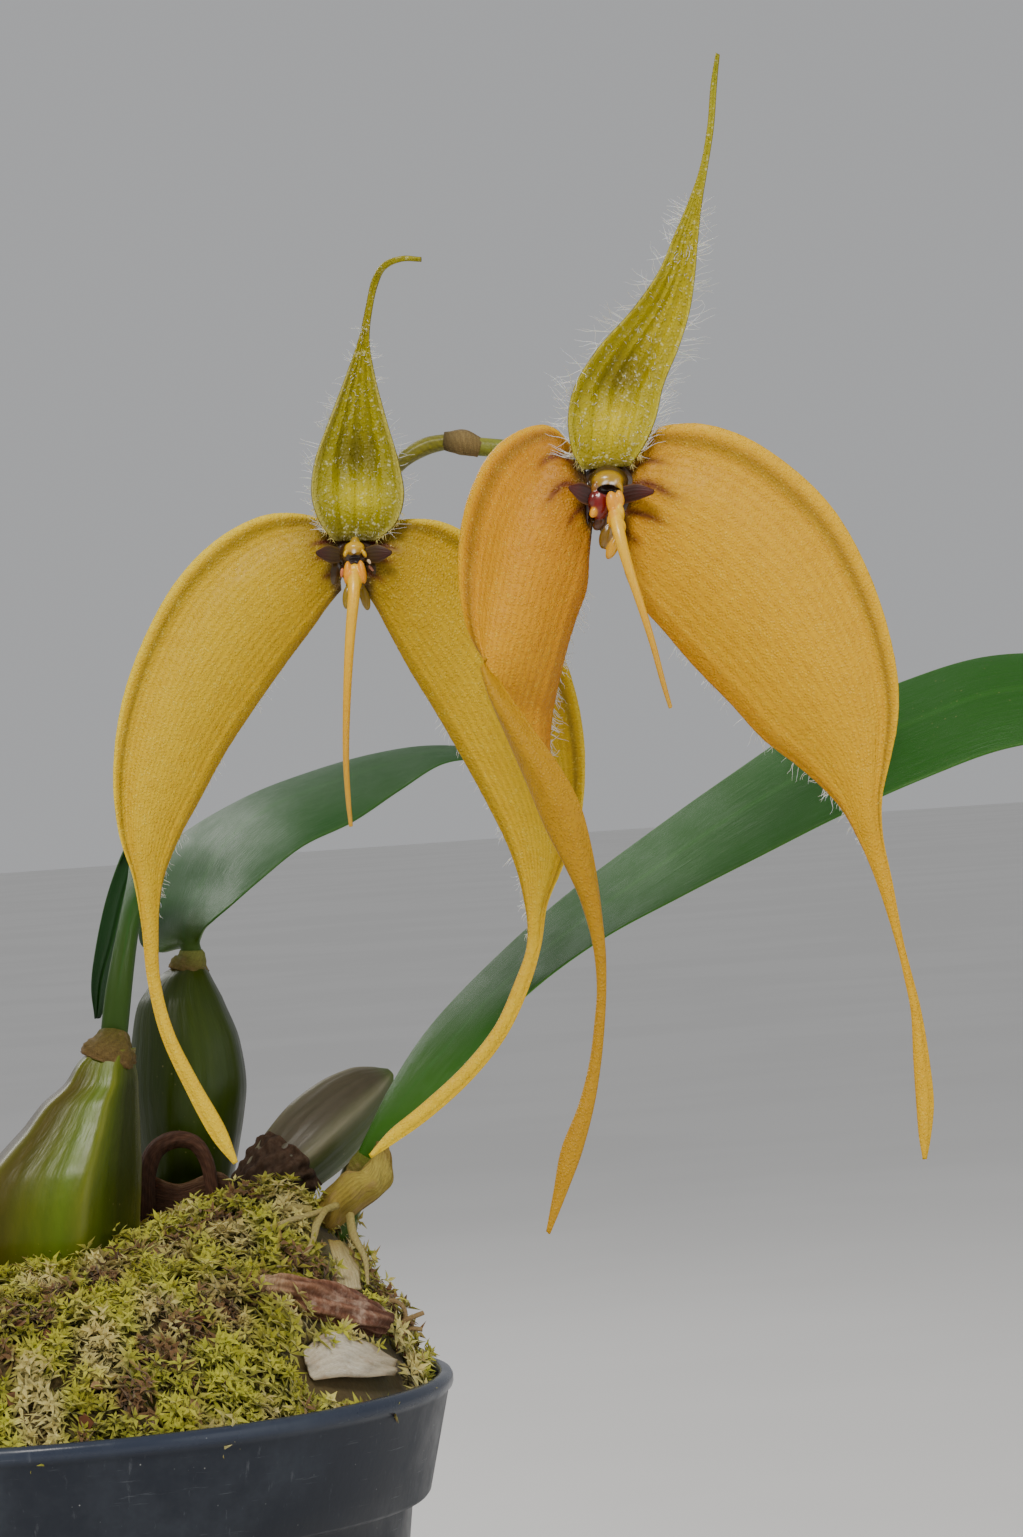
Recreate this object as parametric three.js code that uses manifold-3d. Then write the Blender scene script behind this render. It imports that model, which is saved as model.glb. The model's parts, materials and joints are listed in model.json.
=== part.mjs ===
// A bulbophyllum orchid with two flowers, growing in moss in a plastic nursery pot.
// Units are millimetres and +Z is up. The origin is the centre of the pot's base,
// and the flowers face -Y.

import * as THREE from 'three';
import { mergeVertices } from 'three/addons/utils/BufferGeometryUtils.js';
import Module from 'manifold-3d';

const wasm = await Module();
wasm.setup();

// Driving dimensions of the pot

const POT_HEIGHT = 100;
const POT_RIM_RADIUS = 65;
const POT_BASE_RADIUS = 46;
const POT_WALL = 1.8;
const POT_FLOOR = 3;
const COLLAR_DEPTH = 20;
const COLLAR_TAPER = 4.2;
const COLLAR_STEP = 3;
const BEAD_HEIGHT = 3;
const BEAD_OVERHANG = 0.8;
const FOOT_CHAMFER = 1.5;
const RIM_ROUND = 0.8;
const RIM_WIDTH = 2.6;
const POT_SEGMENTS = 48;
const DRAIN_HOLES = 6;
const DRAIN_RADIUS = 4;
const DRAIN_CIRCLE = 31;
const DRAIN_SIDES = 12;

// Driving dimensions of the moss bed

const GAP = 0.3;
const BED_RADIUS = 61.4;
const BED_EDGE_HEIGHT = 96.2;
const CREST_HEIGHT = 27;
const CREST_SWELL = 13.5;
const CREST_X = 43;
const CREST_Y = 3;
const CREST_SPREAD = 13;
const SHOULDER_POWER = 4.5;
const TUFTS = 120;
const TUFT_HEIGHT = 3.4;
const TUFT_LOWEST = 0.45;
const TUFT_RADIUS = 4.8;
const BED_LIP = 1;
const BED_RINGS = 12;
const BED_SIDES = 44;
const MOSS_SEED = 7;

// Driving dimensions of the plant

const SEPAL_THICKNESS = 0.7;
const PETAL_THICKNESS = 0.6;
const SHEATH_THICKNESS = 0.7;
const LEAF_THICKNESS = 0.8;
const PETIOLE_THICKNESS = 2.6;
const SEPAL_RIM_RISE = 1.3;
const PEDUNCLE_RADIUS = 1.45;
const RHIZOME_RADIUS = 2.8;
const ROOTLET_RADIUS = 0.55;
const LEFT_FLOWER_PLACE = [59.4, -56, 232];
const RIGHT_FLOWER_PLACE = [98.9, -76, 236.7];

// How finely the curved pieces are divided

const BLADE_STEPS_PER_ROW = 1.4;
const BULB_STEPS_PER_SECTION = 1.2;
const BULB_SIDES_PER_RIB = 4;
const STEM_SIDES = 8;
const RHIZOME_SIDES = 6;
const RHIZOME_STEPS = 16;
const LEFT_PEDUNCLE_STEPS = 30;
const RIGHT_PEDUNCLE_STEPS = 26;
const OVARY_STEPS = 10;
const OLD_STALK_STEPS = 14;
const TONGUE_STEPS = 13;
const ROOTLET_SIDES = 5;
const ROOTLET_STEPS_PER_POINT = 2;

// Sepals. Each row is one station across the sepal, from its base to the tip of its tail:
// a point on the outer margin, one on the middle and one on the inner margin,
// measured from the flower's column.

const LEFT_FLOWER_LEFT_SEPAL = [
  [[-2.1, 1.8, 6.1], [-2.1, 0.2, 0.8], [-2.1, 0, -4.5]],
  [[-7.7, 1.4, 7.4], [-6, -0.6, 0.2], [-4.5, 1, -6.9]],
  [[-13.6, 1, 7.1], [-10.2, -1.1, -1.5], [-7.1, 2, -10]],
  [[-20.3, 0, 4.1], [-15.4, -2, -5.2], [-10.8, 2.5, -14.2]],
  [[-26.8, -1, -1.7], [-21.4, -2.6, -11.4], [-16.3, 2.5, -20.9]],
  [[-32.4, -2, -10.5], [-26.9, -3.4, -19.3], [-21.7, 2, -28]],
  [[-36.3, -3, -19.9], [-31.1, -4, -27.6], [-26.3, 1, -35.3]],
  [[-38.2, -4, -29.5], [-34, -4.2, -35.5], [-30.1, 0, -41.5]],
  [[-38.2, -4.5, -38.7], [-35.2, -4.4, -42.6], [-32.4, -1.5, -46.6]],
  [[-36.7, -4.5, -45.9], [-35, -4.3, -48.4], [-33.4, -2.5, -51]],
  [[-36, -4.5, -53], [-34.9, -4.5, -54.3], [-33.8, -3.5, -55.5]],
  [[-35.7, -5, -62.3], [-34.8, -5, -62.3], [-33.9, -4.5, -62.4]],
  [[-34.1, -6, -70.8], [-33.2, -6.3, -70.5], [-32.3, -6, -70.2]],
  [[-30.9, -7, -79.1], [-29.9, -7.4, -78.5], [-29, -7, -78]],
  [[-27.2, -8, -87], [-26.2, -8.4, -86.3], [-25.2, -8, -85.7]],
  [[-24.3, -8.5, -91.1], [-24, -8.6, -91], [-23.7, -8.5, -90.8]],
];
const LEFT_FLOWER_RIGHT_SEPAL = [
  [[2.9, 1.8, 5.4], [2.1, 0.2, 0.3], [1.4, 0, -4.7]],
  [[8.3, 1.4, 5.5], [5.7, -0.6, -1], [3, 1, -7.4]],
  [[13.9, 2, 4.4], [9.4, -0.6, -3.6], [4.8, 2, -11.4]],
  [[19.7, 3, 0.5], [13.7, -0.2, -8.6], [7.6, 3, -17.5]],
  [[25.6, 4, -6.9], [18.4, 0.4, -15.6], [11.1, 3.5, -24.2]],
  [[30, 5, -15.1], [22.4, 1.1, -23.6], [14.9, 4, -32]],
  [[32.4, 5, -24.8], [25.3, 1.5, -32], [18.2, 4, -39.2]],
  [[32.7, 5, -34.1], [26.7, 2, -39.9], [20.8, 3.5, -45.6]],
  [[31.1, 4.5, -43.4], [26.6, 2.4, -47.1], [22.2, 3, -50.8]],
  [[28.3, 4, -49.4], [25.6, 2.5, -52.2], [22.8, 2.5, -55]],
  [[25.9, 3.5, -54.8], [24.5, 2.2, -56.5], [23, 2, -58.3]],
  [[24.7, 2, -61.4], [23.6, 1.5, -61.6], [22.5, 1.5, -62]],
  [[22.2, 0, -68.1], [21.2, -0.3, -67.5], [20.3, 0, -67]],
  [[18.3, -2, -74.8], [17.6, -2.4, -74], [16.9, -2, -73.2]],
  [[12.8, -4, -80.8], [12.2, -4.4, -79.8], [11.6, -4, -78.9]],
  [[5.7, -6, -86.3], [5.2, -6.4, -85.3], [4.6, -6, -84.4]],
  [[0.4, -7.5, -89.5], [0, -7.8, -88.7], [-0.4, -7.5, -87.9]],
  [[-3.4, -8.5, -91.6], [-3.5, -8.6, -91.4], [-3.6, -8.5, -91.2]],
];
const LEFT_FLOWER_DORSAL_SEPAL = [
  [[-2.7, -1, 3.1], [0.5, 0.2, 2.9], [3.8, -1, 2.7]],
  [[-4.7, -2, 6.1], [1.1, 0.4, 5.7], [7.1, -2, 5]],
  [[-5.7, -2, 10.2], [1.5, 1.2, 9.7], [8.7, -2, 8.9]],
  [[-4.9, -1, 15.5], [1.6, 2, 15], [8.3, -1, 14.2]],
  [[-2.5, 0, 21.2], [2.1, 2.2, 21.1], [6.9, 0, 20.6]],
  [[0.6, 0, 27.8], [3, 1.2, 27.8], [5.5, 0, 27.5]],
  [[3.4, -0.5, 34.1], [4.1, 0, 33.9], [4.9, -0.5, 33.7]],
  [[4.8, -1, 38.6], [5.2, -0.7, 38.6], [5.7, -1, 38.5]],
  [[6, -2, 42.7], [6.5, -1.8, 42.5], [6.9, -2, 42.2]],
  [[7.8, -4, 45], [8, -3.9, 44.6], [8.3, -4, 44.1]],
  [[10.9, -6, 45.7], [10.9, -5.9, 45.3], [10.9, -6, 44.9]],
  [[13.8, -7, 45.2], [13.8, -6.9, 44.9], [13.8, -7, 44.6]],
];
const RIGHT_FLOWER_RIGHT_SEPAL = [
  [[2.8, 1.6, 5.5], [2.1, 0.2, 0], [1.5, 0, -5.5]],
  [[7.3, 1, 10.5], [4.6, -0.8, -0.2], [1.9, 1, -10.6]],
  [[13.1, 1, 11], [8.4, -1.5, -2.2], [3.9, 2, -15.1]],
  [[20, 0, 8.8], [13.5, -2.5, -5.5], [7.3, 2.5, -19.6]],
  [[26.9, -1, 3.8], [19, -3.5, -10.8], [11.4, 2.5, -25.1]],
  [[33.1, -2, -3.4], [24.5, -4.4, -17.3], [16.3, 2, -30.9]],
  [[37.7, -3, -13.6], [29.2, -5, -25.3], [21.1, 1.5, -36.9]],
  [[40.1, -4, -24], [32.7, -5.1, -32.5], [25.7, 1, -41]],
  [[40.4, -4, -32.3], [34.6, -4.8, -38.4], [29.1, 0, -44.5]],
  [[38.8, -4, -39.9], [35.2, -4.5, -44], [31.8, -1, -48]],
  [[37.2, -4, -46.3], [35.4, -4.2, -49.2], [33.7, -2, -52.1]],
  [[37.1, -3.5, -51.8], [36.1, -3.7, -53.8], [35.1, -2.5, -55.8]],
  [[38.2, -3.5, -59.4], [37.5, -3.7, -60.7], [36.9, -3, -61.9]],
  [[39.3, -4, -68.9], [39, -4.3, -69.4], [38.7, -4, -70]],
  [[40.2, -4.5, -73.5], [39.7, -4.7, -73.7], [39.2, -4.5, -73.9]],
  [[41.1, -5, -78.8], [40.4, -5.3, -78.7], [39.8, -5, -78.7]],
  [[41.7, -6, -86.3], [40.6, -6.5, -86.2], [39.6, -6, -86.1]],
  [[41.8, -7, -92.9], [40.6, -7.5, -92.8], [39.5, -7, -92.8]],
  [[40.9, -8, -98], [40.2, -8.3, -98], [39.5, -8, -97.9]],
  [[40.2, -8.5, -100.8], [40, -8.6, -100.8], [39.9, -8.5, -100.8]],
];
const RIGHT_FLOWER_LEFT_SEPAL = [
  [[-3.2, 1.6, 6.8], [-2.9, -0.5, 2.2], [-2.6, 0, -2.6]],
  [[-8.2, 4, 12.5], [-6.2, -1.5, 3.1], [-3.4, 1, -7.2]],
  [[-14.4, 6, 10.5], [-10.1, -2.5, -0.9], [-4.2, 1.5, -12.4]],
  [[-19.1, 6.5, 4.3], [-13.2, -3.5, -7], [-6, 2, -16.5]],
  [[-21.7, 5, -4.7], [-15.5, -4.5, -14.3], [-7.9, 2.5, -21.5]],
  [[-21.6, 0, -14.6], [-17.8, -5, -21.2], [-9.6, 3, -27.1]],
  [[-18.5, -6, -24], [-18.9, -4.5, -27.7], [-10.7, 3.5, -31.3]],
  [[-13.8, -8.5, -32.8], [-17.2, -5, -34.2], [-11.3, 3, -35.8]],
  [[-9.8, -9, -39.5], [-14.7, -6, -41.2], [-11.2, 1, -41.6]],
  [[-7.4, -8.5, -44.6], [-12.3, -7, -47.7], [-10.5, -2, -47.6]],
  [[-6.1, -7.5, -50.7], [-9.6, -7.5, -53.2], [-9.8, -4.5, -53]],
  [[-5.4, -6.5, -57.5], [-7.2, -7, -59.2], [-8.3, -5.5, -58.8]],
  [[-5.2, -6, -65], [-6, -6.5, -65.7], [-7, -6, -65.3]],
  [[-5.5, -6, -71.7], [-6.1, -6.4, -72.1], [-6.8, -6, -72.1]],
  [[-6.2, -6.5, -77.6], [-6.8, -7, -77.7], [-7.6, -6.5, -77.7]],
  [[-7.2, -7, -83.5], [-7.8, -7.6, -83.3], [-8.7, -7, -83.1]],
  [[-8.7, -8, -90.1], [-9.6, -8.7, -89.7], [-10.8, -8, -89.3]],
  [[-10.8, -9, -96.6], [-12.2, -9.7, -96], [-13.8, -9, -95.5]],
  [[-13.7, -10, -102.4], [-14.4, -10.4, -102], [-15.4, -10, -101.6]],
  [[-16.5, -11, -107.8], [-16.7, -11.1, -107.6], [-16.9, -11, -107.4]],
];
const RIGHT_FLOWER_DORSAL_SEPAL = [
  [[-3.5, -1, 5.5], [0.1, -0.2, 5.6], [3.6, -1, 5.6]],
  [[-4.9, -2, 8.3], [0.5, 0, 8.4], [5.9, -2, 8.3]],
  [[-5.3, -2.5, 13.1], [1.4, 1, 12.8], [8, -1, 12.2]],
  [[-4.1, -2.5, 17.8], [2.8, 1.7, 17.8], [9.6, -0.5, 17.3]],
  [[-0.3, -2, 23.3], [6.1, 2, 23.3], [12.3, 0, 22.9]],
  [[5.6, -1.5, 29.1], [10, 1.7, 28.9], [14.3, 0, 28.3]],
  [[9.9, -1.5, 34.4], [12.7, 0.4, 34], [15.4, -0.5, 33.5]],
  [[12.6, -1.5, 39.6], [14.4, -0.5, 39.3], [16.2, -1, 38.8]],
  [[15.4, -2, 45.1], [16.3, -1.6, 44.9], [17.2, -2, 44.6]],
  [[17.2, -2.5, 49.4], [17.7, -2.3, 49.2], [18.2, -2.5, 48.9]],
  [[18.8, -3, 55.7], [19.2, -2.8, 55.5], [19.6, -3, 55.3]],
  [[19.7, -3, 61.6], [20.1, -2.8, 61.6], [20.5, -3, 61.6]],
  [[20.7, -4.5, 66.2], [20.9, -4.4, 66], [21.1, -4.5, 65.8]],
];

// The small petals beside each column, in the same way

const LEFT_FLOWER_PETALS = [
  [
    [[-2, -1.9, 1.9], [-2, -2, 0.8], [-2, -1.9, -0.3]],
    [[-3.5, -2.8, 2.4], [-3.5, -3, 1], [-3.5, -2.8, -0.3]],
    [[-5.4, -4, 1.6], [-5.4, -4.1, 1.3], [-5.4, -4, 1]],
  ],
  [
    [[2.2, -1.9, 1.7], [2.2, -2, 0.6], [2.2, -1.9, -0.5]],
    [[4, -2.8, 2], [3.9, -3, 0.6], [3.8, -2.8, -0.8]],
    [[6.2, -4, 0.8], [6.1, -4.1, 0.5], [6, -4, 0.2]],
  ],
];
const RIGHT_FLOWER_PETALS = [
  [
    [[-2.3, -2.4, 2.6], [-2.3, -2.5, 1.3], [-2.3, -2.4, -0.1]],
    [[-3.8, -3.3, 3.5], [-4, -3.5, 2], [-4.1, -3.3, 0.5]],
    [[-5.8, -4.4, 3.1], [-5.8, -4.5, 2.8], [-5.8, -4.4, 2.5]],
  ],
  [
    [[2.4, -2.4, 2.6], [2.4, -2.5, 1.3], [2.4, -2.4, -0.1]],
    [[4.6, -3.4, 2.7], [4.5, -3.6, 1.5], [4.4, -3.4, 0.3]],
    [[6.9, -4.6, 1.6], [6.8, -4.7, 1.3], [6.7, -4.6, 1]],
  ],
];

// Lips: the hanging tongue from the callus to its tip, measured from the column

const LEFT_LIP_PATH = [
  [0.1, -4.3, -2.2], [0, -6, -5.1], [-1.1, -7, -12.5], [-2.2, -7, -21.6],
  [-3, -6, -30.7], [-3.1, -5.5, -36.9], [-3, -5, -41],
];
const RIGHT_LIP_PATH = [
  [0.8, -4.8, -1.4], [1.2, -7, -4.9], [2.1, -8, -9.5], [3.6, -8.5, -15.6],
  [5, -8.5, -21.6], [6.2, -8, -27.7], [7, -7.5, -31.2],
];
const LIP_RADII = [1.1, 0.95, 0.78, 0.62, 0.5, 0.42, 0.32];

// Leaves, from the foot of the stalk to the tip, as rows across the blade

const LEAF_BACK = [
  [[23.1, 27, 169.2], [24.9, 27, 169.1], [26.8, 27, 169]],
  [[23.4, 27, 171.4], [25, 26.4, 171.4], [26.5, 27, 171.4]],
  [[19.3, 31, 171], [24.5, 27, 174.6], [27.5, 22, 174.4]],
  [[15.8, 36, 172.6], [25.6, 27.5, 178.3], [29.6, 18, 176.2]],
  [[16.4, 40, 179.9], [27.7, 28, 182], [33, 16, 178.6]],
  [[21.1, 43, 188.6], [31.3, 29, 187.8], [37.7, 15.5, 182.1]],
  [[34.1, 45, 196], [39, 31, 193.7], [45.6, 17, 187.6]],
  [[46.5, 47, 200], [49.4, 33, 197.3], [54.1, 20, 191.1]],
  [[58, 47, 202.4], [59.9, 36, 200], [62.4, 25, 195.9]],
  [[67.7, 46, 203.1], [69.5, 39, 201.7], [69.9, 31, 199.8]],
  [[76.4, 45, 201.8], [76.7, 41, 200.9], [76.3, 37, 200]],
  [[82.2, 44, 198.8], [82.2, 43, 198.4], [81.9, 42, 198.1]],
];
const LEAF_RIGHT = [
  [[50.3, 2, 133.5], [52.3, 1.6, 133.4], [54.4, 2, 133.3]],
  [[53.3, 1.5, 138.9], [55.3, 0.7, 138.4], [57.2, 1.5, 137.9]],
  [[58.1, 4, 147], [60.7, 1, 145], [63.4, -1, 142.1]],
  [[64.7, 8, 155.7], [67.7, 3, 152.4], [70, 0, 149.1]],
  [[75.2, 13, 165.4], [78, 6, 162.3], [80.3, 1, 159.7]],
  [[88.2, 16, 175.5], [91.2, 8, 171.4], [93.7, 0, 168.6]],
  [[102.4, 17, 184.7], [105.5, 8, 180.2], [107.9, -1, 175.1]],
  [[117.2, 17, 193.8], [119.5, 8, 188.3], [121, -2, 180.7]],
  [[132.7, 17, 202.5], [134.7, 8, 195.6], [135.4, -3, 186.8]],
  [[147.9, 16, 208], [149.2, 7, 201.2], [149.5, -4, 192]],
  [[162.3, 14, 211.3], [162.8, 5, 205.1], [162.5, -5, 195.8]],
  [[176.2, 11, 210.6], [176.1, 2, 205], [175.3, -8, 196.8]],
  [[189.6, 6, 206.8], [189.1, -2, 202.3], [187.6, -10, 195.8]],
  [[202.2, -1, 199.1], [201.5, -6, 196.2], [199.5, -12, 191.7]],
  [[212.1, -8, 190.1], [211.2, -11, 188.6], [209.6, -14, 186.2]],
  [[217.5, -14, 182.8], [217, -14.5, 182.3], [216.5, -15, 181.8]],
];
const LEAF_LEFT = [
  [[11.3, -9, 158], [13.5, -9, 157.8], [15.7, -9, 157.6]],
  [[13.2, -8, 167.4], [15.2, -9, 167.4], [17, -8, 167.2]],
  [[15.6, -4, 177.8], [17.3, -5, 177.7], [18.9, -4, 177.6]],
  [[16.9, 2, 184.2], [19.2, 0, 185.4], [21.3, -2, 185.3]],
  [[16.9, 12, 189.7], [20.6, 9, 190.8], [24.1, 5, 190.3]],
  [[15.1, 22, 189], [19.2, 19, 190.8], [23.1, 14, 188.9]],
  [[11.2, 30, 181.8], [14.6, 27, 182.5], [17.8, 22, 181.5]],
  [[8.1, 36, 172.9], [11.5, 33, 173.9], [14.6, 28, 173.5]],
  [[6.3, 41, 165.3], [8.4, 39, 166.3], [11.2, 35, 166.6]],
  [[6.4, 44, 160], [6.9, 43.5, 160], [7.5, 43, 160.1]],
];

// Pseudobulbs: sections from the base up, each [x, y, z, radius]

const BULB_FRONT = [
  [0, -10, 118.5, 10], [0.1, -10, 122.6, 13.4], [0.4, -10, 127.5, 14.4], [1.3, -10, 133.2, 14.2],
  [2.8, -10, 137.6, 13.2], [5.1, -10, 141.9, 11.1], [6.9, -10, 145.1, 9.5], [8.8, -10, 149, 7.8],
  [10.8, -10, 151.8, 6], [11.9, -10, 155, 4.7], [13.2, -10, 157, 3.8],
];
const BULB_BACK = [
  [21, 27, 117.5, 4.4], [21.2, 27, 121.5, 6], [21.4, 27, 128, 7.4], [22.1, 27, 135.4, 8.6],
  [22.7, 27, 142.2, 9.6], [23.1, 27, 148.2, 10.1], [23.2, 27, 155.9, 9.2], [22.8, 27, 162.7, 7.2],
  [23.6, 27, 167, 4.4], [24.4, 27, 168.4, 2.8],
];
const BULB_OLD = [
  [31.6, 4.4, 127.4, 2.2], [33.6, 5, 129.8, 3.2], [36.1, 6, 132.1, 4.7], [39.9, 8, 135.2, 6], [44.7, 10.5, 139.1, 6.7],
  [49.8, 13, 142.9, 6.2], [53.8, 14.5, 145.8, 4.7], [56.4, 15.5, 147.6, 2.5], [57.7, 16, 148.6, 0.8],
];
const BULB_NEW = [
  [45.9, 2, 118.8, 1.8], [46.5, 2, 122, 2.4], [48.2, 2, 126, 2.6], [50, 2, 129.3, 2.5],
  [51.5, 2, 132, 2.1],
];

// Stems: points along their middles

const RHIZOME_PATH = [
  [-8, -18, 112], [0, -10, 115.2], [8, 3, 115.4], [14, 16, 115], [19.5, 24.6, 114.2],
  [25, 26, 115.2], [30, 20.5, 117.8], [33, 12, 120.2], [36.5, 5.5, 121], [42, 2.6, 118.6],
  [47.5, 2.4, 115.4], [52, 5, 112.8],
];
const LEFT_PEDUNCLE_PATH = [
  [45.6, 15, 112], [47.4, 17, 126], [53.9, 20, 139.7], [61.6, 22, 147.3], [71.7, 23, 158.1],
  [85.3, 23, 169.1], [102.1, 23, 179.2], [116.2, 22, 186.3], [129, 22, 194], [137, 21.5, 206],
  [139.5, 8, 211.5], [137.5, -8, 216], [131, -26, 224.5], [119, -40, 234.5], [106.5, -44, 243.4],
  [95.8, -44, 246.8], [84.9, -43, 248.2], [79.6, -43, 249],
];
const RIGHT_PEDUNCLE_PATH = [
  [46.5, 20.5, 108], [49, 24, 124], [55.7, 28, 139.9], [62.4, 29, 147.5], [72.6, 30, 158.6],
  [86.2, 30, 169.8], [103.2, 29, 180.3], [117.4, 28, 188.3], [127, 28, 195.5], [131, 23, 205],
  [130.5, 8, 210.5], [128.5, -12, 216], [124, -32, 226], [120.2, -41.2, 230.4], [117.6, -45.5, 231.6],
];
const LEFT_OVARY_PATH = [
  [75.2, -43, 250.1], [71.6, -43, 249.5], [67.5, -44, 247.2], [63.8, -46.5, 242],
  [60.8, -50, 236.5], [59.6, -54.2, 233],
];
const RIGHT_OVARY_PATH = [
  [114.2, -50.4, 232.9], [109, -57, 234.7], [103.9, -64, 236.2], [100.3, -70, 237],
  [99.1, -74.2, 237],
];
const BRACT_RADII = [1.6, 2, 1.5];
const LEFT_BRACT_PATH = [[79.2, -43, 249.1], [77.4, -43, 249.8], [75.6, -43, 250.1]];
const RIGHT_BRACT_PATH = [[117.3, -46, 231.7], [115.9, -48, 232.3], [114.5, -50, 232.8]];
const OLD_STALK_PATH = [
  [15.7, 9, 118.5], [15.4, 10, 124.6], [15.4, 11, 130.4], [16, 12, 135.3], [17.8, 12.5, 138.7],
  [20.9, 13, 140], [24.1, 13, 139.2], [25.9, 13, 136.2], [26.6, 12.5, 131.2], [26.9, 12, 123],
];

// Dry sheaths and litter on the moss

const PAPERY_BRACT = [
  [[43.8, -3, 127], [45.7, -6.5, 125.5], [47.4, -2, 124.3]],
  [[46.1, -2, 131], [48.4, -6.5, 128.9], [50.3, 0, 126.2]],
  [[49.4, -2, 133.6], [51.7, -6, 131.4], [54.6, -1, 128.9]],
  [[52.4, -3, 133.6], [54.4, -5, 133], [56.9, -2, 131]],
  [[54, -3, 135.8], [55.6, -4, 135.8], [57.4, -2.5, 134.4]],
  [[55, -3, 138.2], [55.9, -3.5, 138.5], [56.6, -3, 138]],
];
const HANGING_SHEATH = [
  [[45, -5.2, 122.7], [46.6, -7.2, 123.2], [48.3, -4.4, 122.4]],
  [[45.3, -8, 120.6], [47.6, -10, 120.6], [49.8, -6.5, 120.6]],
  [[45.8, -11.4, 118], [48.4, -12.8, 118.2], [51, -9.6, 118]],
  [[46.6, -14.2, 115.4], [49, -15.2, 115.6], [51.4, -12.4, 115.2]],
];
const DEAD_LEAF_SCRAP = [
  [[42.2, -34, 108.4], [42.6, -36.2, 106.4], [43.6, -37.6, 103.9]],
  [[46, -29.4, 110.4], [46.8, -32.6, 107.6], [47.6, -34.4, 103.8]],
  [[50.6, -25, 108.6], [51.2, -27.8, 105.8], [51.8, -29.4, 102.9]],
  [[56, -17.4, 104.4], [56.2, -19.4, 103.2], [56.2, -21, 102]],
];
const BASAL_SHEATH = [
  [[12.9, 22, 122], [13.6, 21, 127], [14.6, 20.4, 133]],
  [[15.6, 16.8, 121.4], [15.4, 15.6, 127.4], [15.6, 15.4, 134.6]],
  [[20.6, 14.8, 121.4], [20.6, 13.9, 127.4], [20.8, 14.6, 132.4]],
  [[26.4, 16.8, 121.4], [27, 15.8, 127], [27.4, 15.6, 134]],
  [[29.4, 21.6, 121.4], [30.6, 20.6, 126], [31, 19.8, 130.6]],
];
const BARK_CHIP = [
  [35.4, -27.6, 118.4, 1.6], [37.6, -26.8, 117.6, 2.7], [42.6, -23.8, 115.6, 3.1],
  [47.4, -20.4, 113.4, 3], [51.8, -17, 111.3, 2.9], [54.6, -14.6, 109.8, 2.2],
];
const ROOTLETS = [
  [[54.8, -7, 104.4], [54.6, -7.4, 108.6], [54.4, -7.6, 111.2], [56, -7.4, 112.6], [57.8, -7, 111.2],
    [58, -6.6, 108]],
  [[56.4, -7, 106], [57.6, -7.2, 108.9], [59.2, -7, 109.6], [61, -6.6, 110.2]],
  [[56.6, -6.6, 105.6], [58.2, -6.2, 107.6], [60.6, -6, 107.4]],
];

// Helpers

const vector = ([x, y, z]) => new THREE.Vector3(x, y, z);

const railThrough = (points) => new THREE.CatmullRomCurve3(points.map(vector), false, 'centripetal');

const smoothstep = (low, high, value) => THREE.MathUtils.smoothstep(value, low, high);

function seededRandom(seed) {
  let state = seed >>> 0;
  return () => {
    state = (state + 0x6d2b79f5) >>> 0;
    let mixed = Math.imul(state ^ (state >>> 15), 1 | state);
    mixed = (mixed + Math.imul(mixed ^ (mixed >>> 7), 61 | mixed)) ^ mixed;
    return ((mixed ^ (mixed >>> 14)) >>> 0) / 4294967296;
  };
}

function closedGeometry(positions, triangles) {
  const a = new THREE.Vector3();
  const b = new THREE.Vector3();
  const c = new THREE.Vector3();
  let volume = 0;
  for (const [i, j, k] of triangles) {
    a.copy(positions[i]);
    b.copy(positions[j]);
    c.copy(positions[k]);
    volume += a.dot(b.cross(c));
  }
  const outward = volume > 0 ? triangles : triangles.map(([i, j, k]) => [i, k, j]);
  const geometry = new THREE.BufferGeometry();
  const flat = positions.flatMap((point) => [point.x, point.y, point.z]);
  geometry.setAttribute('position', new THREE.Float32BufferAttribute(flat, 3));
  geometry.setIndex(outward.flat());
  return geometry;
}

// Joins rings of equal size one after another and closes both ends with a fan.
function ringsGeometry(rings) {
  const size = rings[0].length;
  const positions = rings.flat();
  const triangles = [];
  for (let i = 0; i < rings.length - 1; i += 1) {
    for (let j = 0; j < size; j += 1) {
      const next = (j + 1) % size;
      const low = i * size;
      const high = low + size;
      triangles.push([low + j, low + next, high + next]);
      triangles.push([low + j, high + next, high + j]);
    }
  }
  for (const [ring, turn] of [[0, 1], [rings.length - 1, -1]]) {
    const middle = new THREE.Vector3();
    rings[ring].forEach((point) => middle.addScaledVector(point, 1 / size));
    const centre = positions.push(middle) - 1;
    for (let j = 0; j < size; j += 1) {
      const here = ring * size + j;
      const next = ring * size + ((j + 1) % size);
      triangles.push(turn > 0 ? [centre, next, here] : [centre, here, next]);
    }
  }
  return closedGeometry(positions, triangles);
}

// Turns a closed geometry into a solid that can be joined or cut.
function solidFrom(geometry) {
  const bare = geometry.clone();
  bare.deleteAttribute('normal');
  bare.deleteAttribute('uv');
  const merged = mergeVertices(bare, 1e-4);
  const index = merged.index.array;
  const kept = [];
  for (let i = 0; i < index.length; i += 3) {
    const [a, b, c] = index.slice(i, i + 3);
    if (a !== b && b !== c && c !== a) {
      kept.push(a, b, c);
    }
  }
  return new wasm.Manifold(new wasm.Mesh({
    numProp: 3,
    vertProperties: new Float32Array(merged.attributes.position.array),
    triVerts: new Uint32Array(kept),
  }));
}

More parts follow.
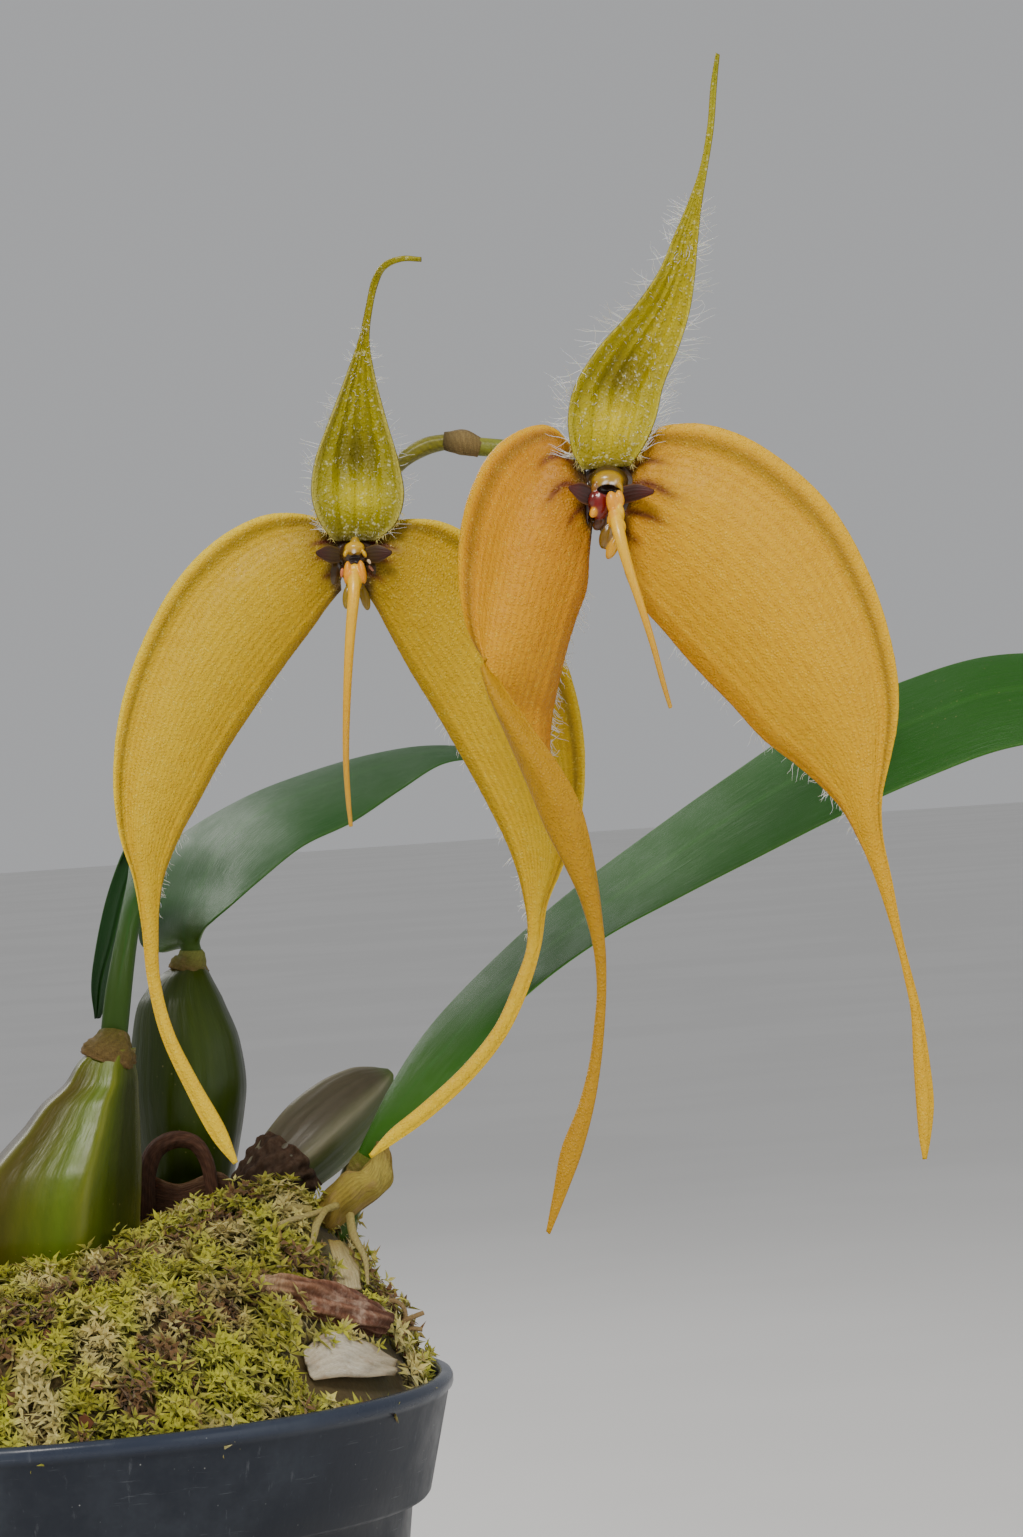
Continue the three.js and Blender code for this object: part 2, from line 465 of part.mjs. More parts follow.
// Gives the largest body of a solid back as a geometry.
function geometryFrom(solid) {
  const bodies = solid.decompose();
  bodies.sort((one, two) => two.volume() - one.volume());
  const mesh = bodies[0].getMesh();
  const geometry = new THREE.BufferGeometry();
  geometry.setAttribute('position', new THREE.BufferAttribute(mesh.vertProperties, 3));
  geometry.setIndex(new THREE.BufferAttribute(mesh.triVerts, 1));
  return geometry;
}

function joined(geometries) {
  const solids = geometries.map(solidFrom);
  return geometryFrom(solids.reduce((whole, solid) => whole.add(solid)));
}

function cutBy(geometry, cutters) {
  const solid = cutters.map(solidFrom).reduce((whole, cutter) => whole.subtract(cutter), solidFrom(geometry));
  return geometryFrom(solid);
}

// Blades: a sheet through three rails with an even thickness

const PLAIN_COLUMNS = [0, 0.25, 0.5, 0.75, 1];
const SEPAL_COLUMNS = [0, 0.07, 0.17, 0.4, 0.65, 0.87, 1];

function acrossRails(outer, middle, inner, v) {
  return new THREE.Vector3()
    .addScaledVector(outer, 2 * v * v - 3 * v + 1)
    .addScaledVector(middle, 4 * v - 4 * v * v)
    .addScaledVector(inner, 2 * v * v - v);
}

// Widens each row of a blade and lengthens its two ends, for the hole that it lies in.
function widenedRows(rows, grow) {
  const wide = rows.map(([outer, middle, inner]) => {
    const out = vector(outer).sub(vector(middle)).setLength(grow);
    const into = vector(inner).sub(vector(middle)).setLength(grow);
    return [vector(outer).add(out), vector(middle), vector(inner).add(into)];
  });
  const last = wide.length - 1;
  for (const [end, beside] of [[0, 1], [last, last - 1]]) {
    const along = wide[end][1].clone().sub(wide[beside][1]).setLength(grow);
    wide[end].forEach((point) => point.add(along));
  }
  return wide.map((row) => row.map((point) => point.toArray()));
}

function bladeGeometry(rows, options) {
  const { steps, columns = PLAIN_COLUMNS, thickness, relief = () => 0, front = 1, grow = 0 } = options;
  const used = grow > 0 ? widenedRows(rows, grow) : rows;
  const rails = [0, 1, 2].map((side) => railThrough(used.map((row) => row[side])));
  const sheet = [];
  for (let i = 0; i <= steps; i += 1) {
    const [outer, middle, inner] = rails.map((rail) => rail.getPoint(i / steps));
    sheet.push(columns.map((v) => acrossRails(outer, middle, inner, v)));
  }
  const lastColumn = columns.length - 1;
  const frontFace = [];
  const backFace = [];
  for (let i = 0; i <= steps; i += 1) {
    for (let j = 0; j <= lastColumn; j += 1) {
      const along = sheet[Math.min(i + 1, steps)][j].clone().sub(sheet[Math.max(i - 1, 0)][j]);
      const across = sheet[i][Math.min(j + 1, lastColumn)].clone().sub(sheet[i][Math.max(j - 1, 0)]);
      const normal = along.cross(across).normalize().multiplyScalar(front);
      const width = sheet[i][0].distanceTo(sheet[i][lastColumn]);
      const lift = relief(i / steps, columns[j], width);
      const half = thickness(i / steps) / 2 + grow;
      frontFace.push(sheet[i][j].clone().addScaledVector(normal, lift + half));
      backFace.push(sheet[i][j].clone().addScaledVector(normal, lift - half));
    }
  }
  const positions = [...frontFace, ...backFace];
  const stride = lastColumn + 1;
  const back = frontFace.length;
  const triangles = [];
  const quad = (a, b, c, d) => triangles.push([a, b, c], [a, c, d]);
  for (let i = 0; i < steps; i += 1) {
    for (let j = 0; j < lastColumn; j += 1) {
      const here = i * stride + j;
      const next = here + stride;
      quad(here, next, next + 1, here + 1);
      triangles.push([back + here, back + next + 1, back + next]);
      triangles.push([back + here, back + here + 1, back + next + 1]);
    }
    const left = i * stride;
    const right = left + lastColumn;
    quad(left, back + left, back + left + stride, left + stride);
    quad(right, right + stride, back + right + stride, back + right);
  }
  for (let j = 0; j < lastColumn; j += 1) {
    const tip = steps * stride + j;
    quad(j, j + 1, back + j + 1, back + j);
    quad(tip, back + tip, back + tip + 1, tip + 1);
  }
  return closedGeometry(positions, triangles);
}

// Stems and pseudobulbs: rings along a path

function pathRings(centres, radii, sides, shape = () => 1, upright = false, alongs = []) {
  const rings = [];
  const axis = new THREE.Vector3();
  const side = new THREE.Vector3(1, 0, 0);
  const other = new THREE.Vector3();
  centres.forEach((centre, i) => {
    const before = centres[Math.max(i - 1, 0)];
    const after = centres[Math.min(i + 1, centres.length - 1)];
    axis.copy(upright ? new THREE.Vector3(0, 0, 1) : after.clone().sub(before).normalize());
    side.addScaledVector(axis, -side.dot(axis)).normalize();
    other.crossVectors(axis, side);
    const ring = [];
    for (let j = 0; j < sides; j += 1) {
      const angle = (j / sides) * Math.PI * 2;
      const radius = radii[i] * shape(angle, alongs[i]);
      ring.push(centre.clone()
        .addScaledVector(side, Math.cos(angle) * radius)
        .addScaledVector(other, Math.sin(angle) * radius));
    }
    rings.push(ring);
  });
  return rings;
}

function stemGeometry(path, { radii, sides, steps, grow = 0, shape }) {
  const middle = railThrough(path);
  const widths = railThrough(radii.map((radius, i) => [radius, i, 0]));
  const centres = [];
  const sizes = [];
  const alongs = [];
  for (let i = 0; i <= steps; i += 1) {
    alongs.push(i / steps);
    centres.push(middle.getPoint(i / steps));
    sizes.push(widths.getPoint(i / steps).x + grow);
  }
  if (grow > 0) {
    const end = centres.length - 1;
    const foot = centres[0].clone().add(centres[0].clone().sub(centres[1]).setLength(grow));
    const top = centres[end].clone().add(centres[end].clone().sub(centres[end - 1]).setLength(grow));
    centres.splice(0, 0, foot);
    centres.push(top);
    sizes.splice(0, 0, sizes[0]);
    sizes.push(sizes[end + 1]);
    alongs.splice(0, 0, 0);
    alongs.push(1);
  }
  return ringsGeometry(pathRings(centres, sizes, sides, shape, false, alongs));
}

// Ridges run up a pseudobulb: sharp along each rib and flat between them.
function bulbGeometry(sections, { ribs, depth, phase, upright, grow = 0 }) {
  const middle = railThrough(sections.map(([x, y, z]) => [x, y, z]));
  const widths = railThrough(sections.map((section, i) => [section[3], i, 0]));
  const steps = Math.round((sections.length - 1) * BULB_STEPS_PER_SECTION);
  const centres = [];
  const sizes = [];
  for (let i = 0; i <= steps; i += 1) {
    centres.push(middle.getPoint(i / steps));
    sizes.push(widths.getPoint(i / steps).x + grow);
  }
  if (grow > 0) {
    centres[0].addScaledVector(centres[1].clone().sub(centres[0]).normalize(), -grow);
  }
  const ridge = (angle) => 1 + depth * (0.5 - Math.abs(Math.sin((ribs * (angle - phase)) / 2)));
  return ringsGeometry(pathRings(centres, sizes, ribs * BULB_SIDES_PER_RIB, ridge, upright));
}

// Pot

const BODY_TOP = POT_HEIGHT - COLLAR_DEPTH;
const COLLAR_FOOT_RADIUS = POT_RIM_RADIUS - BEAD_OVERHANG - COLLAR_TAPER;
const BODY_TOP_RADIUS = COLLAR_FOOT_RADIUS - COLLAR_STEP;
const INNER_WALL = [
  [POT_BASE_RADIUS - POT_WALL, POT_FLOOR],
  [BODY_TOP_RADIUS - POT_WALL, BODY_TOP - POT_WALL],
  [COLLAR_FOOT_RADIUS - POT_WALL, BODY_TOP + POT_WALL],
  [POT_RIM_RADIUS - BEAD_OVERHANG - POT_WALL, POT_HEIGHT - BEAD_HEIGHT],
];

function potGeometry() {
  const profile = [
    [0, 0],
    [POT_BASE_RADIUS - FOOT_CHAMFER, 0],
    [POT_BASE_RADIUS, FOOT_CHAMFER],
    [BODY_TOP_RADIUS, BODY_TOP - RIM_ROUND],
    [COLLAR_FOOT_RADIUS, BODY_TOP],
    [POT_RIM_RADIUS - BEAD_OVERHANG, POT_HEIGHT - BEAD_HEIGHT],
    [POT_RIM_RADIUS, POT_HEIGHT - BEAD_HEIGHT + RIM_ROUND],
    [POT_RIM_RADIUS, POT_HEIGHT - RIM_ROUND],
    [POT_RIM_RADIUS - RIM_ROUND, POT_HEIGHT],
    [POT_RIM_RADIUS - RIM_WIDTH + RIM_ROUND, POT_HEIGHT],
    [POT_RIM_RADIUS - RIM_WIDTH, POT_HEIGHT - RIM_ROUND],
    ...[...INNER_WALL].reverse(),
    [0, POT_FLOOR],
  ].map(([radius, height]) => new THREE.Vector2(radius, height));
  const shell = new THREE.LatheGeometry(profile, POT_SEGMENTS);
  shell.rotateX(Math.PI / 2);
  const holes = [];
  for (let i = 0; i < DRAIN_HOLES; i += 1) {
    const angle = (i / DRAIN_HOLES) * Math.PI * 2;
    const hole = new THREE.CylinderGeometry(DRAIN_RADIUS, DRAIN_RADIUS, POT_FLOOR * 4, DRAIN_SIDES);
    hole.rotateX(Math.PI / 2);
    hole.translate(DRAIN_CIRCLE * Math.cos(angle), DRAIN_CIRCLE * Math.sin(angle), 0);
    holes.push(hole);
  }
  return cutBy(shell, holes);
}

// Moss bed

function mossHeight(x, y, tufts) {
  const reach = Math.min(Math.hypot(x, y) / BED_RADIUS, 1);
  const spread = 2 * CREST_SPREAD * CREST_SPREAD;
  const swell = CREST_SWELL * Math.exp(-((x - CREST_X) ** 2 + (y - CREST_Y) ** 2) / spread);
  let height = BED_EDGE_HEIGHT + (CREST_HEIGHT + swell) * (1 - reach ** SHOULDER_POWER);
  for (const tuft of tufts) {
    const square = (x - tuft.x) ** 2 + (y - tuft.y) ** 2;
    height += tuft.rise * Math.exp(-square / (tuft.radius * tuft.radius)) * (1 - reach ** 8);
  }
  return height;
}

function mossTufts() {
  const random = seededRandom(MOSS_SEED);
  const tufts = [];
  for (let i = 0; i < TUFTS; i += 1) {
    const reach = BED_RADIUS * Math.sqrt(random());
    const angle = random() * Math.PI * 2;
    tufts.push({
      x: reach * Math.cos(angle),
      y: reach * Math.sin(angle),
      rise: TUFT_HEIGHT * (random() - TUFT_LOWEST),
      radius: TUFT_RADIUS * (0.6 + random() * 0.7),
    });
  }
  return tufts;
}

function mossGeometry() {
  const tufts = mossTufts();
  const circle = (radius, heightAt) => {
    const ring = [];
    for (let j = 0; j < BED_SIDES; j += 1) {
      const angle = (j / BED_SIDES) * Math.PI * 2;
      const x = radius * Math.cos(angle);
      const y = radius * Math.sin(angle);
      ring.push(new THREE.Vector3(x, y, heightAt(x, y)));
    }
    return ring;
  };
  const slack = 2 * GAP;
  const rings = INNER_WALL.slice(0, 3).map(([radius, height]) => circle(radius - slack, () => height + slack));
  rings.push(circle(BED_RADIUS, () => BED_EDGE_HEIGHT - BED_LIP));
  for (let i = BED_RINGS; i > 0; i -= 1) {
    const radius = (BED_RADIUS - BED_LIP / 2) * (i / BED_RINGS);
    rings.push(circle(radius, (x, y) => mossHeight(x, y, tufts)));
  }
  return ringsGeometry(rings);
}

// Flowers

const sepalRelief = (u, v, width) => {
  const rise = Math.min(SEPAL_RIM_RISE, width * 0.1) * smoothstep(0, 0.14, u);
  return rise * Math.exp(-((v / 0.09) ** 2)) - rise * 0.35 * Math.exp(-(((v - 0.2) / 0.1) ** 2));
};

const stepsFor = (rows) => Math.round((rows.length - 1) * BLADE_STEPS_PER_ROW);

function lateralSepal(rows, front) {
  return bladeGeometry(rows, {
    steps: stepsFor(rows),
    columns: SEPAL_COLUMNS,
    thickness: () => SEPAL_THICKNESS,
    relief: sepalRelief,
    front,
  });
}

// Five raised veins run up the hooded sepal.
const DORSAL_COLUMNS = [0, 0.1, 0.2, 0.3, 0.4, 0.5, 0.6, 0.7, 0.8, 0.9, 1];

const VEIN_RISE = 0.018;

function dorsalSepal(rows) {
  return bladeGeometry(rows, {
    steps: stepsFor(rows),
    columns: DORSAL_COLUMNS,
    thickness: () => SEPAL_THICKNESS,
    relief: (u, v, width) => width * VEIN_RISE * Math.cos(v * 10 * Math.PI) * smoothstep(0, 0.1, u),
    front: -1,
  });
}

function petal(rows, front) {
  return bladeGeometry(rows, { steps: 5, columns: [0, 0.5, 1], thickness: () => PETAL_THICKNESS, front });
}

function ellipsoid(place, radii) {
  const geometry = new THREE.SphereGeometry(1, 8, 6);
  geometry.scale(...radii);
  geometry.translate(...place);
  return geometry;
}

// The column is a short thick tube with a hood over its mouth and a foot below it.
function columnGeometry(tilt) {
  const tube = stemGeometry([[0, 1.1, 0.4], [0, -0.6, 0.6], [0, -2.2, 1.6], [0, -3, 2.2]], {
    radii: [1.4, 1.5, 1.4, 0.9], sides: STEM_SIDES, steps: 5,
  });
  const hood = ellipsoid([0.2 * tilt, -2, 1.9], [1.55, 1.7, 0.95]);
  const foot = stemGeometry([[0, 0.2, -0.2], [0, -0.6, -2.6], [0.2 * tilt, -1.2, -5], [0.2 * tilt, -1.7, -7]], {
    radii: [1.2, 1.2, 1.15, 0.6], sides: STEM_SIDES, steps: 5,
  });
  return joined([tube, hood, foot]);
}

// The lip is a callus of two lobes with a long tongue that hangs from it.
function lipGeometry(path) {
  const [x, y, z] = path[0];
  const tongue = stemGeometry(path, { radii: LIP_RADII, sides: STEM_SIDES, steps: TONGUE_STEPS });
  const left = ellipsoid([x - 1.15, y + 0.1, z + 0.1], [0.75, 0.95, 1.9]);
  const right = ellipsoid([x + 1.15, y + 0.1, z + 0.1], [0.75, 0.95, 1.9]);
  const callus = ellipsoid([x, y, z + 0.1], [1.2, 0.95, 1.7]);
  return joined([tongue, left, right, callus]);
}

// Materials

const surface = (color, roughness) => new THREE.MeshStandardMaterial({ color, roughness, metalness: 0 });

const materials = {
  pot: surface(0x1f2634, 0.45),
  moss: surface(0x8e9148, 0.95),
  bulbGreen: surface(0x6c7a26, 0.35),
  bulbDark: surface(0x3d4a1c, 0.35),
  bulbOld: surface(0x6b5a44, 0.6),
  rhizome: surface(0x5a4a30, 0.8),
  leaf: surface(0x1f4d15, 0.35),
  dry: surface(0xb8a47a, 0.85),
  brown: surface(0x6e4a34, 0.85),
  bark: surface(0x9a6a4c, 0.9),
  pale: surface(0xe4dcc4, 0.8),
  stalk: surface(0x74801f, 0.5),
  ovary: surface(0x6f6418, 0.55),
  oliveSepal: surface(0x94900f, 0.5),
  goldSepal: surface(0xc79a12, 0.5),
  orangeSepal: surface(0xf0a516, 0.5),
  column: surface(0x6a1f14, 0.4),
  lip: surface(0xe8a81c, 0.45),
  petal: surface(0x5c1a12, 0.6),
};

// Assembly

const orchid = new THREE.Group();

function add(name, geometry, material, parent = orchid) {
  const mesh = new THREE.Mesh(geometry, material);
  mesh.name = name;
  parent.add(mesh);
  return mesh;
}

const even = (radius, count) => new Array(count).fill(radius);

const frontBulb = (grow) => bulbGeometry(BULB_FRONT, { ribs: 5, depth: 0.16, phase: -1.1, upright: true, grow });
const backBulb = (grow) => bulbGeometry(BULB_BACK, { ribs: 5, depth: 0.08, phase: -0.6, upright: true, grow });
const oldBulb = (grow) => bulbGeometry(BULB_OLD, { ribs: 4, depth: 0.12, phase: 0.4, upright: false, grow });
const newBulb = (grow) => bulbGeometry(BULB_NEW, { ribs: 3, depth: 0.05, phase: 0, upright: false, grow });
const rhizome = (grow) => stemGeometry(RHIZOME_PATH, {
  radii: even(RHIZOME_RADIUS, RHIZOME_PATH.length), sides: RHIZOME_SIDES, steps: RHIZOME_STEPS, grow,
});
const peduncle = (path, steps, grow) => stemGeometry(path, {
  radii: even(PEDUNCLE_RADIUS, path.length), sides: STEM_SIDES, steps, grow,
});
const leftPeduncle = (grow) => peduncle(LEFT_PEDUNCLE_PATH, LEFT_PEDUNCLE_STEPS, grow);
const rightPeduncle = (grow) => peduncle(RIGHT_PEDUNCLE_PATH, RIGHT_PEDUNCLE_STEPS, grow);
const oldStalk = (grow) => stemGeometry(OLD_STALK_PATH, {
  radii: [1.5, 1.7, 1.6, 1.5, 1.4, 1.4, 1.3, 1.2, 1.1, 1.1], sides: STEM_SIDES, steps: OLD_STALK_STEPS, grow,
});
const barkChip = (grow) => stemGeometry(BARK_CHIP.map(([x, y, z]) => [x, y, z]), {
  radii: BARK_CHIP.map((section) => section[3]),
  sides: 9,
  steps: 9,
  grow,
  shape: (angle, u) => 1 + 0.16 * Math.sin(3 * angle + 7 * u) + 0.1 * Math.sin(5 * angle + 20 * u),
});
const dryBlade = (rows, steps, grow) => bladeGeometry(rows, { steps, thickness: () => SHEATH_THICKNESS, grow });
const rootletShape = (path, grow) => stemGeometry(path, {
  radii: even(ROOTLET_RADIUS, path.length),
  sides: ROOTLET_SIDES,
  steps: (path.length - 1) * ROOTLET_STEPS_PER_POINT,
  grow,
});

// The litter and the stems' feet each lie in a hole of their own shape in the moss.
const buried = [
  frontBulb(GAP), backBulb(GAP), oldBulb(GAP), newBulb(GAP), rhizome(GAP),
  leftPeduncle(GAP), rightPeduncle(GAP), oldStalk(GAP), barkChip(GAP),
  dryBlade(PAPERY_BRACT, 10, GAP), dryBlade(HANGING_SHEATH, 6, GAP),
  dryBlade(DEAD_LEAF_SCRAP, 6, GAP), dryBlade(BASAL_SHEATH, 8, GAP),
  ...ROOTLETS.map((path) => rootletShape(path, GAP)),
];

add('nursery_pot', potGeometry(), materials.pot);
add('sphagnum_bed', cutBy(mossGeometry(), buried), materials.moss);
add('rhizome', cutBy(rhizome(0), [frontBulb(GAP), backBulb(GAP), oldBulb(GAP), newBulb(GAP)]), materials.rhizome);
add('pseudobulb_front', frontBulb(0), materials.bulbGreen);
add('pseudobulb_back', backBulb(0), materials.bulbDark);
add('pseudobulb_old', oldBulb(0), materials.bulbOld);
add('pseudobulb_new', newBulb(0), materials.bulbGreen);

const leafThickness = (u) => THREE.MathUtils.lerp(PETIOLE_THICKNESS, LEAF_THICKNESS, smoothstep(0.02, 0.3, u));
for (const [name, rows] of [['leaf_left', LEAF_LEFT], ['leaf_back', LEAF_BACK], ['leaf_right', LEAF_RIGHT]]) {
  add(name, bladeGeometry(rows, { steps: stepsFor(rows), thickness: leafThickness }), materials.leaf);
}

add('papery_bract', dryBlade(PAPERY_BRACT, 10, 0), materials.dry);
add('hanging_sheath', dryBlade(HANGING_SHEATH, 6, 0), materials.pale);
add('basal_sheath', dryBlade(BASAL_SHEATH, 8, 0), materials.brown);
add('dead_leaf_scrap', dryBlade(DEAD_LEAF_SCRAP, 6, 0), materials.pale);
add('old_flower_stalk', oldStalk(0), materials.brown);
add('bark_chip', barkChip(0), materials.bark);
add('dry_rootlets', joined(ROOTLETS.map((path) => rootletShape(path, 0))), materials.dry);

add('peduncle_left', leftPeduncle(0), materials.stalk);
add('peduncle_right', rightPeduncle(0), materials.stalk);
for (const [name, path] of [['floral_bract_left', LEFT_BRACT_PATH], ['floral_bract_right', RIGHT_BRACT_PATH]]) {
  add(name, stemGeometry(path, { radii: BRACT_RADII, sides: STEM_SIDES, steps: 4 }), materials.dry);
}
add('ovary_left', stemGeometry(LEFT_OVARY_PATH, {
  radii: [1.15, 1.3, 1.15, 1, 1, 1.1], sides: STEM_SIDES, steps: OVARY_STEPS,
}), materials.ovary);
add('ovary_right', stemGeometry(RIGHT_OVARY_PATH, {
  radii: [1.15, 1.3, 1.15, 1, 1.1], sides: STEM_SIDES, steps: OVARY_STEPS,
}), materials.ovary);

function addFlower(side, parts) {
  const flower = new THREE.Group();
  flower.position.set(...parts.place);
  add(`${side}_flower_dorsal_sepal`, dorsalSepal(parts.dorsal), parts.hoodMaterial, flower);
  add(`${side}_flower_left_sepal`, lateralSepal(parts.left, 1), parts.sepalMaterial, flower);
  add(`${side}_flower_right_sepal`, lateralSepal(parts.right, -1), parts.sepalMaterial, flower);
  add(`${side}_flower_left_petal`, petal(parts.petals[0], 1), materials.petal, flower);
  add(`${side}_flower_right_petal`, petal(parts.petals[1], -1), materials.petal, flower);
  add(`${side}_flower_column`, columnGeometry(parts.tilt), materials.column, flower);
  add(`${side}_flower_lip`, lipGeometry(parts.lip), materials.lip, flower);
  orchid.add(flower);
}

addFlower('left', {
  place: LEFT_FLOWER_PLACE,
  dorsal: LEFT_FLOWER_DORSAL_SEPAL,
  left: LEFT_FLOWER_LEFT_SEPAL,
  right: LEFT_FLOWER_RIGHT_SEPAL,
  petals: LEFT_FLOWER_PETALS,
  lip: LEFT_LIP_PATH,
  tilt: 0,
  hoodMaterial: materials.oliveSepal,
  sepalMaterial: materials.goldSepal,
});
addFlower('right', {
  place: RIGHT_FLOWER_PLACE,
  dorsal: RIGHT_FLOWER_DORSAL_SEPAL,
  left: RIGHT_FLOWER_LEFT_SEPAL,
  right: RIGHT_FLOWER_RIGHT_SEPAL,
  petals: RIGHT_FLOWER_PETALS,
  lip: RIGHT_LIP_PATH,
  tilt: -1,
  hoodMaterial: materials.oliveSepal,
  sepalMaterial: materials.orangeSepal,
});

export default orchid;
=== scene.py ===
# %% [markdown]
# # A potted bulbophyllum orchid
#
# Two large yellow flowers hang on thin stalks over a small plastic pot of moss. The pieces
# below are dressed one by one around a fixed model of the plant. That model says where each
# piece lies, so every cell only makes a finer form in the same place and gives it a finish.
# All places are in metres. The pot's base is at the origin, and the flowers face -Y.

# %% Load the model
import json
import math

import bmesh
import bpy
import numpy as np
from mathutils import Matrix, Vector

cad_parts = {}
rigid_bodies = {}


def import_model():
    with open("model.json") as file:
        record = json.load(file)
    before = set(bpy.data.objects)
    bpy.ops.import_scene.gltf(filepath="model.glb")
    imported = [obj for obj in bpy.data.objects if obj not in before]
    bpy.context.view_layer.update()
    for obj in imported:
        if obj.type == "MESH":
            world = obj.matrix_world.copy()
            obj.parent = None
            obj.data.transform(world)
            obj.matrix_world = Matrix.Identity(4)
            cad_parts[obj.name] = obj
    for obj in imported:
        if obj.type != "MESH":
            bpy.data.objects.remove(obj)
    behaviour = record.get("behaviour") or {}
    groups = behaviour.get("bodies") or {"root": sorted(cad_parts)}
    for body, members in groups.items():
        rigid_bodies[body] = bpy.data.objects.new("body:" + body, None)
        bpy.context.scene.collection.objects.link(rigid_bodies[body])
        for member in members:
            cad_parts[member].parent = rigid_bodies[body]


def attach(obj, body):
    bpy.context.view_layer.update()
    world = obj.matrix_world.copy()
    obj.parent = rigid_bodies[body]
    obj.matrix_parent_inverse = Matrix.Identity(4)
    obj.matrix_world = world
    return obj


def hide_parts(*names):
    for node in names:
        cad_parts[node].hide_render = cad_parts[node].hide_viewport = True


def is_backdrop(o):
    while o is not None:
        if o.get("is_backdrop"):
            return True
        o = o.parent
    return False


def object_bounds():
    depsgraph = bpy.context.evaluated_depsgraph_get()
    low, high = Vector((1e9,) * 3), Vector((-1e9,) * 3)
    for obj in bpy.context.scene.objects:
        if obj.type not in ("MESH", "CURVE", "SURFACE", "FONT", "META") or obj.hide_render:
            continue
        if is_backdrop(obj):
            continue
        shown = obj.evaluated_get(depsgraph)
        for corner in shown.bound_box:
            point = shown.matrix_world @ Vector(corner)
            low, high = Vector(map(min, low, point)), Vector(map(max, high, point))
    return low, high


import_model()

cad_low, cad_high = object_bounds()
print("the model spans", [round(1000 * (b - a)) for a, b in zip(cad_low, cad_high)], "mm")

# %% [markdown]
# ## The camera, the floor and the light
#
# The plant was seen with a long lens from a little under a metre, level with the flowers, and with the camera
# leaning a few degrees. A camera placed at given numbers and left alone gives the same view each time. The
# floor is one pale disc, wide enough to reach the horizon in every view.
# Three soft lamps do what a studio does: one above in front for the shape, one low at the
# side to open the shadows, and one behind to draw a thin edge of light round each petal.

# %% Camera, floor and lamps
CAMERA_PLACE = (0.0816, -0.850, 0.1982)
CAMERA_LEAN = 4
LENS_LENGTH = 120.46
FLOOR_RADIUS = 14


def placed(name, data):
    """Puts a new object with this data in the scene."""
    made = bpy.data.objects.new(name, data)
    bpy.context.scene.collection.objects.link(made)
    return made


camera = placed("camera", bpy.data.cameras.new("camera"))
camera.data.lens = LENS_LENGTH
camera.data.sensor_width = 36
camera.data.clip_start = 0.01
camera.data.clip_end = 100
camera.location = CAMERA_PLACE
camera.rotation_euler = (math.radians(90), math.radians(CAMERA_LEAN), 0)
bpy.context.scene.camera = camera

bpy.ops.mesh.primitive_circle_add(vertices=96, radius=FLOOR_RADIUS, fill_type="NGON")
floor = bpy.context.object
floor.name = "floor"
floor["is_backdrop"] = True


def soft_lamp(name, place, aim, size, power, colour):
    light = bpy.data.lights.new(name, "AREA")
    light.shape = "DISK"
    light.size = size
    light.energy = power
    light.color = colour
    lamp = placed(name, light)
    lamp.location = place
    lamp.rotation_euler = (Vector(aim) - Vector(place)).to_track_quat("-Z", "Y").to_euler()


PLANT_MIDDLE = (0.07, -0.03, 0.19)
soft_lamp("key_lamp", (-0.10, -0.75, 0.95), PLANT_MIDDLE, 0.30, 8.5, (1, 0.96, 0.9))
soft_lamp("side_lamp", (1.0, -0.7, 0.35), PLANT_MIDDLE, 0.9, 2.6, (0.94, 0.97, 1))
soft_lamp("back_lamp", (-0.5, 0.8, 0.75), PLANT_MIDDLE, 0.6, 4.5, (1, 0.98, 0.95))

sky = bpy.data.worlds.new("studio")
sky.use_nodes = True
sky.node_tree.nodes["Background"].inputs["Color"].default_value = (0.84, 0.85, 0.87, 1)
sky.node_tree.nodes["Background"].inputs["Strength"].default_value = 0.5
bpy.context.scene.world = sky
print("camera", round(1000 * Vector(CAMERA_PLACE).length), "mm from the pot's base")

# %% [markdown]
# ## Smooth curves and sheets
#
# Nearly every piece of this plant is a blade or a stalk. A blade can be drawn with three
# lines that run its length: its two margins and the line between them. A stalk needs one
# line and a radius. Blender's own curves could carry both, but a few lines of array code
# give the same smooth rail, at any fineness, with full control of the relief on top.

# %% A smooth rail through a few points
MM = 0.001


def rail(points, at):
    points = np.array(points, float)
    last = len(points) - 1
    padded = np.vstack([2 * points[0] - points[1], points, 2 * points[-1] - points[-2]])
    place = np.asarray(at) * last
    first = np.minimum(place.astype(int), last - 1)
    part = (place - first)[:, None]
    p0, p1, p2, p3 = (padded[first + k] for k in range(4))
    reach = [np.sqrt(np.linalg.norm(b - a, axis=1))[:, None] for a, b in ((p0, p1), (p1, p2), (p2, p3))]
    d1 = np.maximum(reach[1], 1e-2)
    d0, d2 = (np.where(d < 1e-2, d1, d) for d in (reach[0], reach[2]))
    enter = ((p1 - p0) / d0 - (p2 - p0) / (d0 + d1) + (p2 - p1) / d1) * d1
    leave = ((p2 - p1) / d1 - (p3 - p1) / (d1 + d2) + (p3 - p2) / d2) * d1
    return (p1 + enter * part + (3 * (p2 - p1) - 2 * enter - leave) * part**2
            + (2 * (p1 - p2) + enter + leave) * part**3)


def smoothstep(low, high, value):
    part = np.clip((np.asarray(value, float) - low) / (high - low), 0, 1)
    return part * part * (3 - 2 * part)


def bump(value, centre, spread):
    return np.exp(-(((value - centre) / spread) ** 2))


print("a rail through", rail([(0, 0, 0), (1, 0, 0), (2, 1, 0)], [0.5])[0])

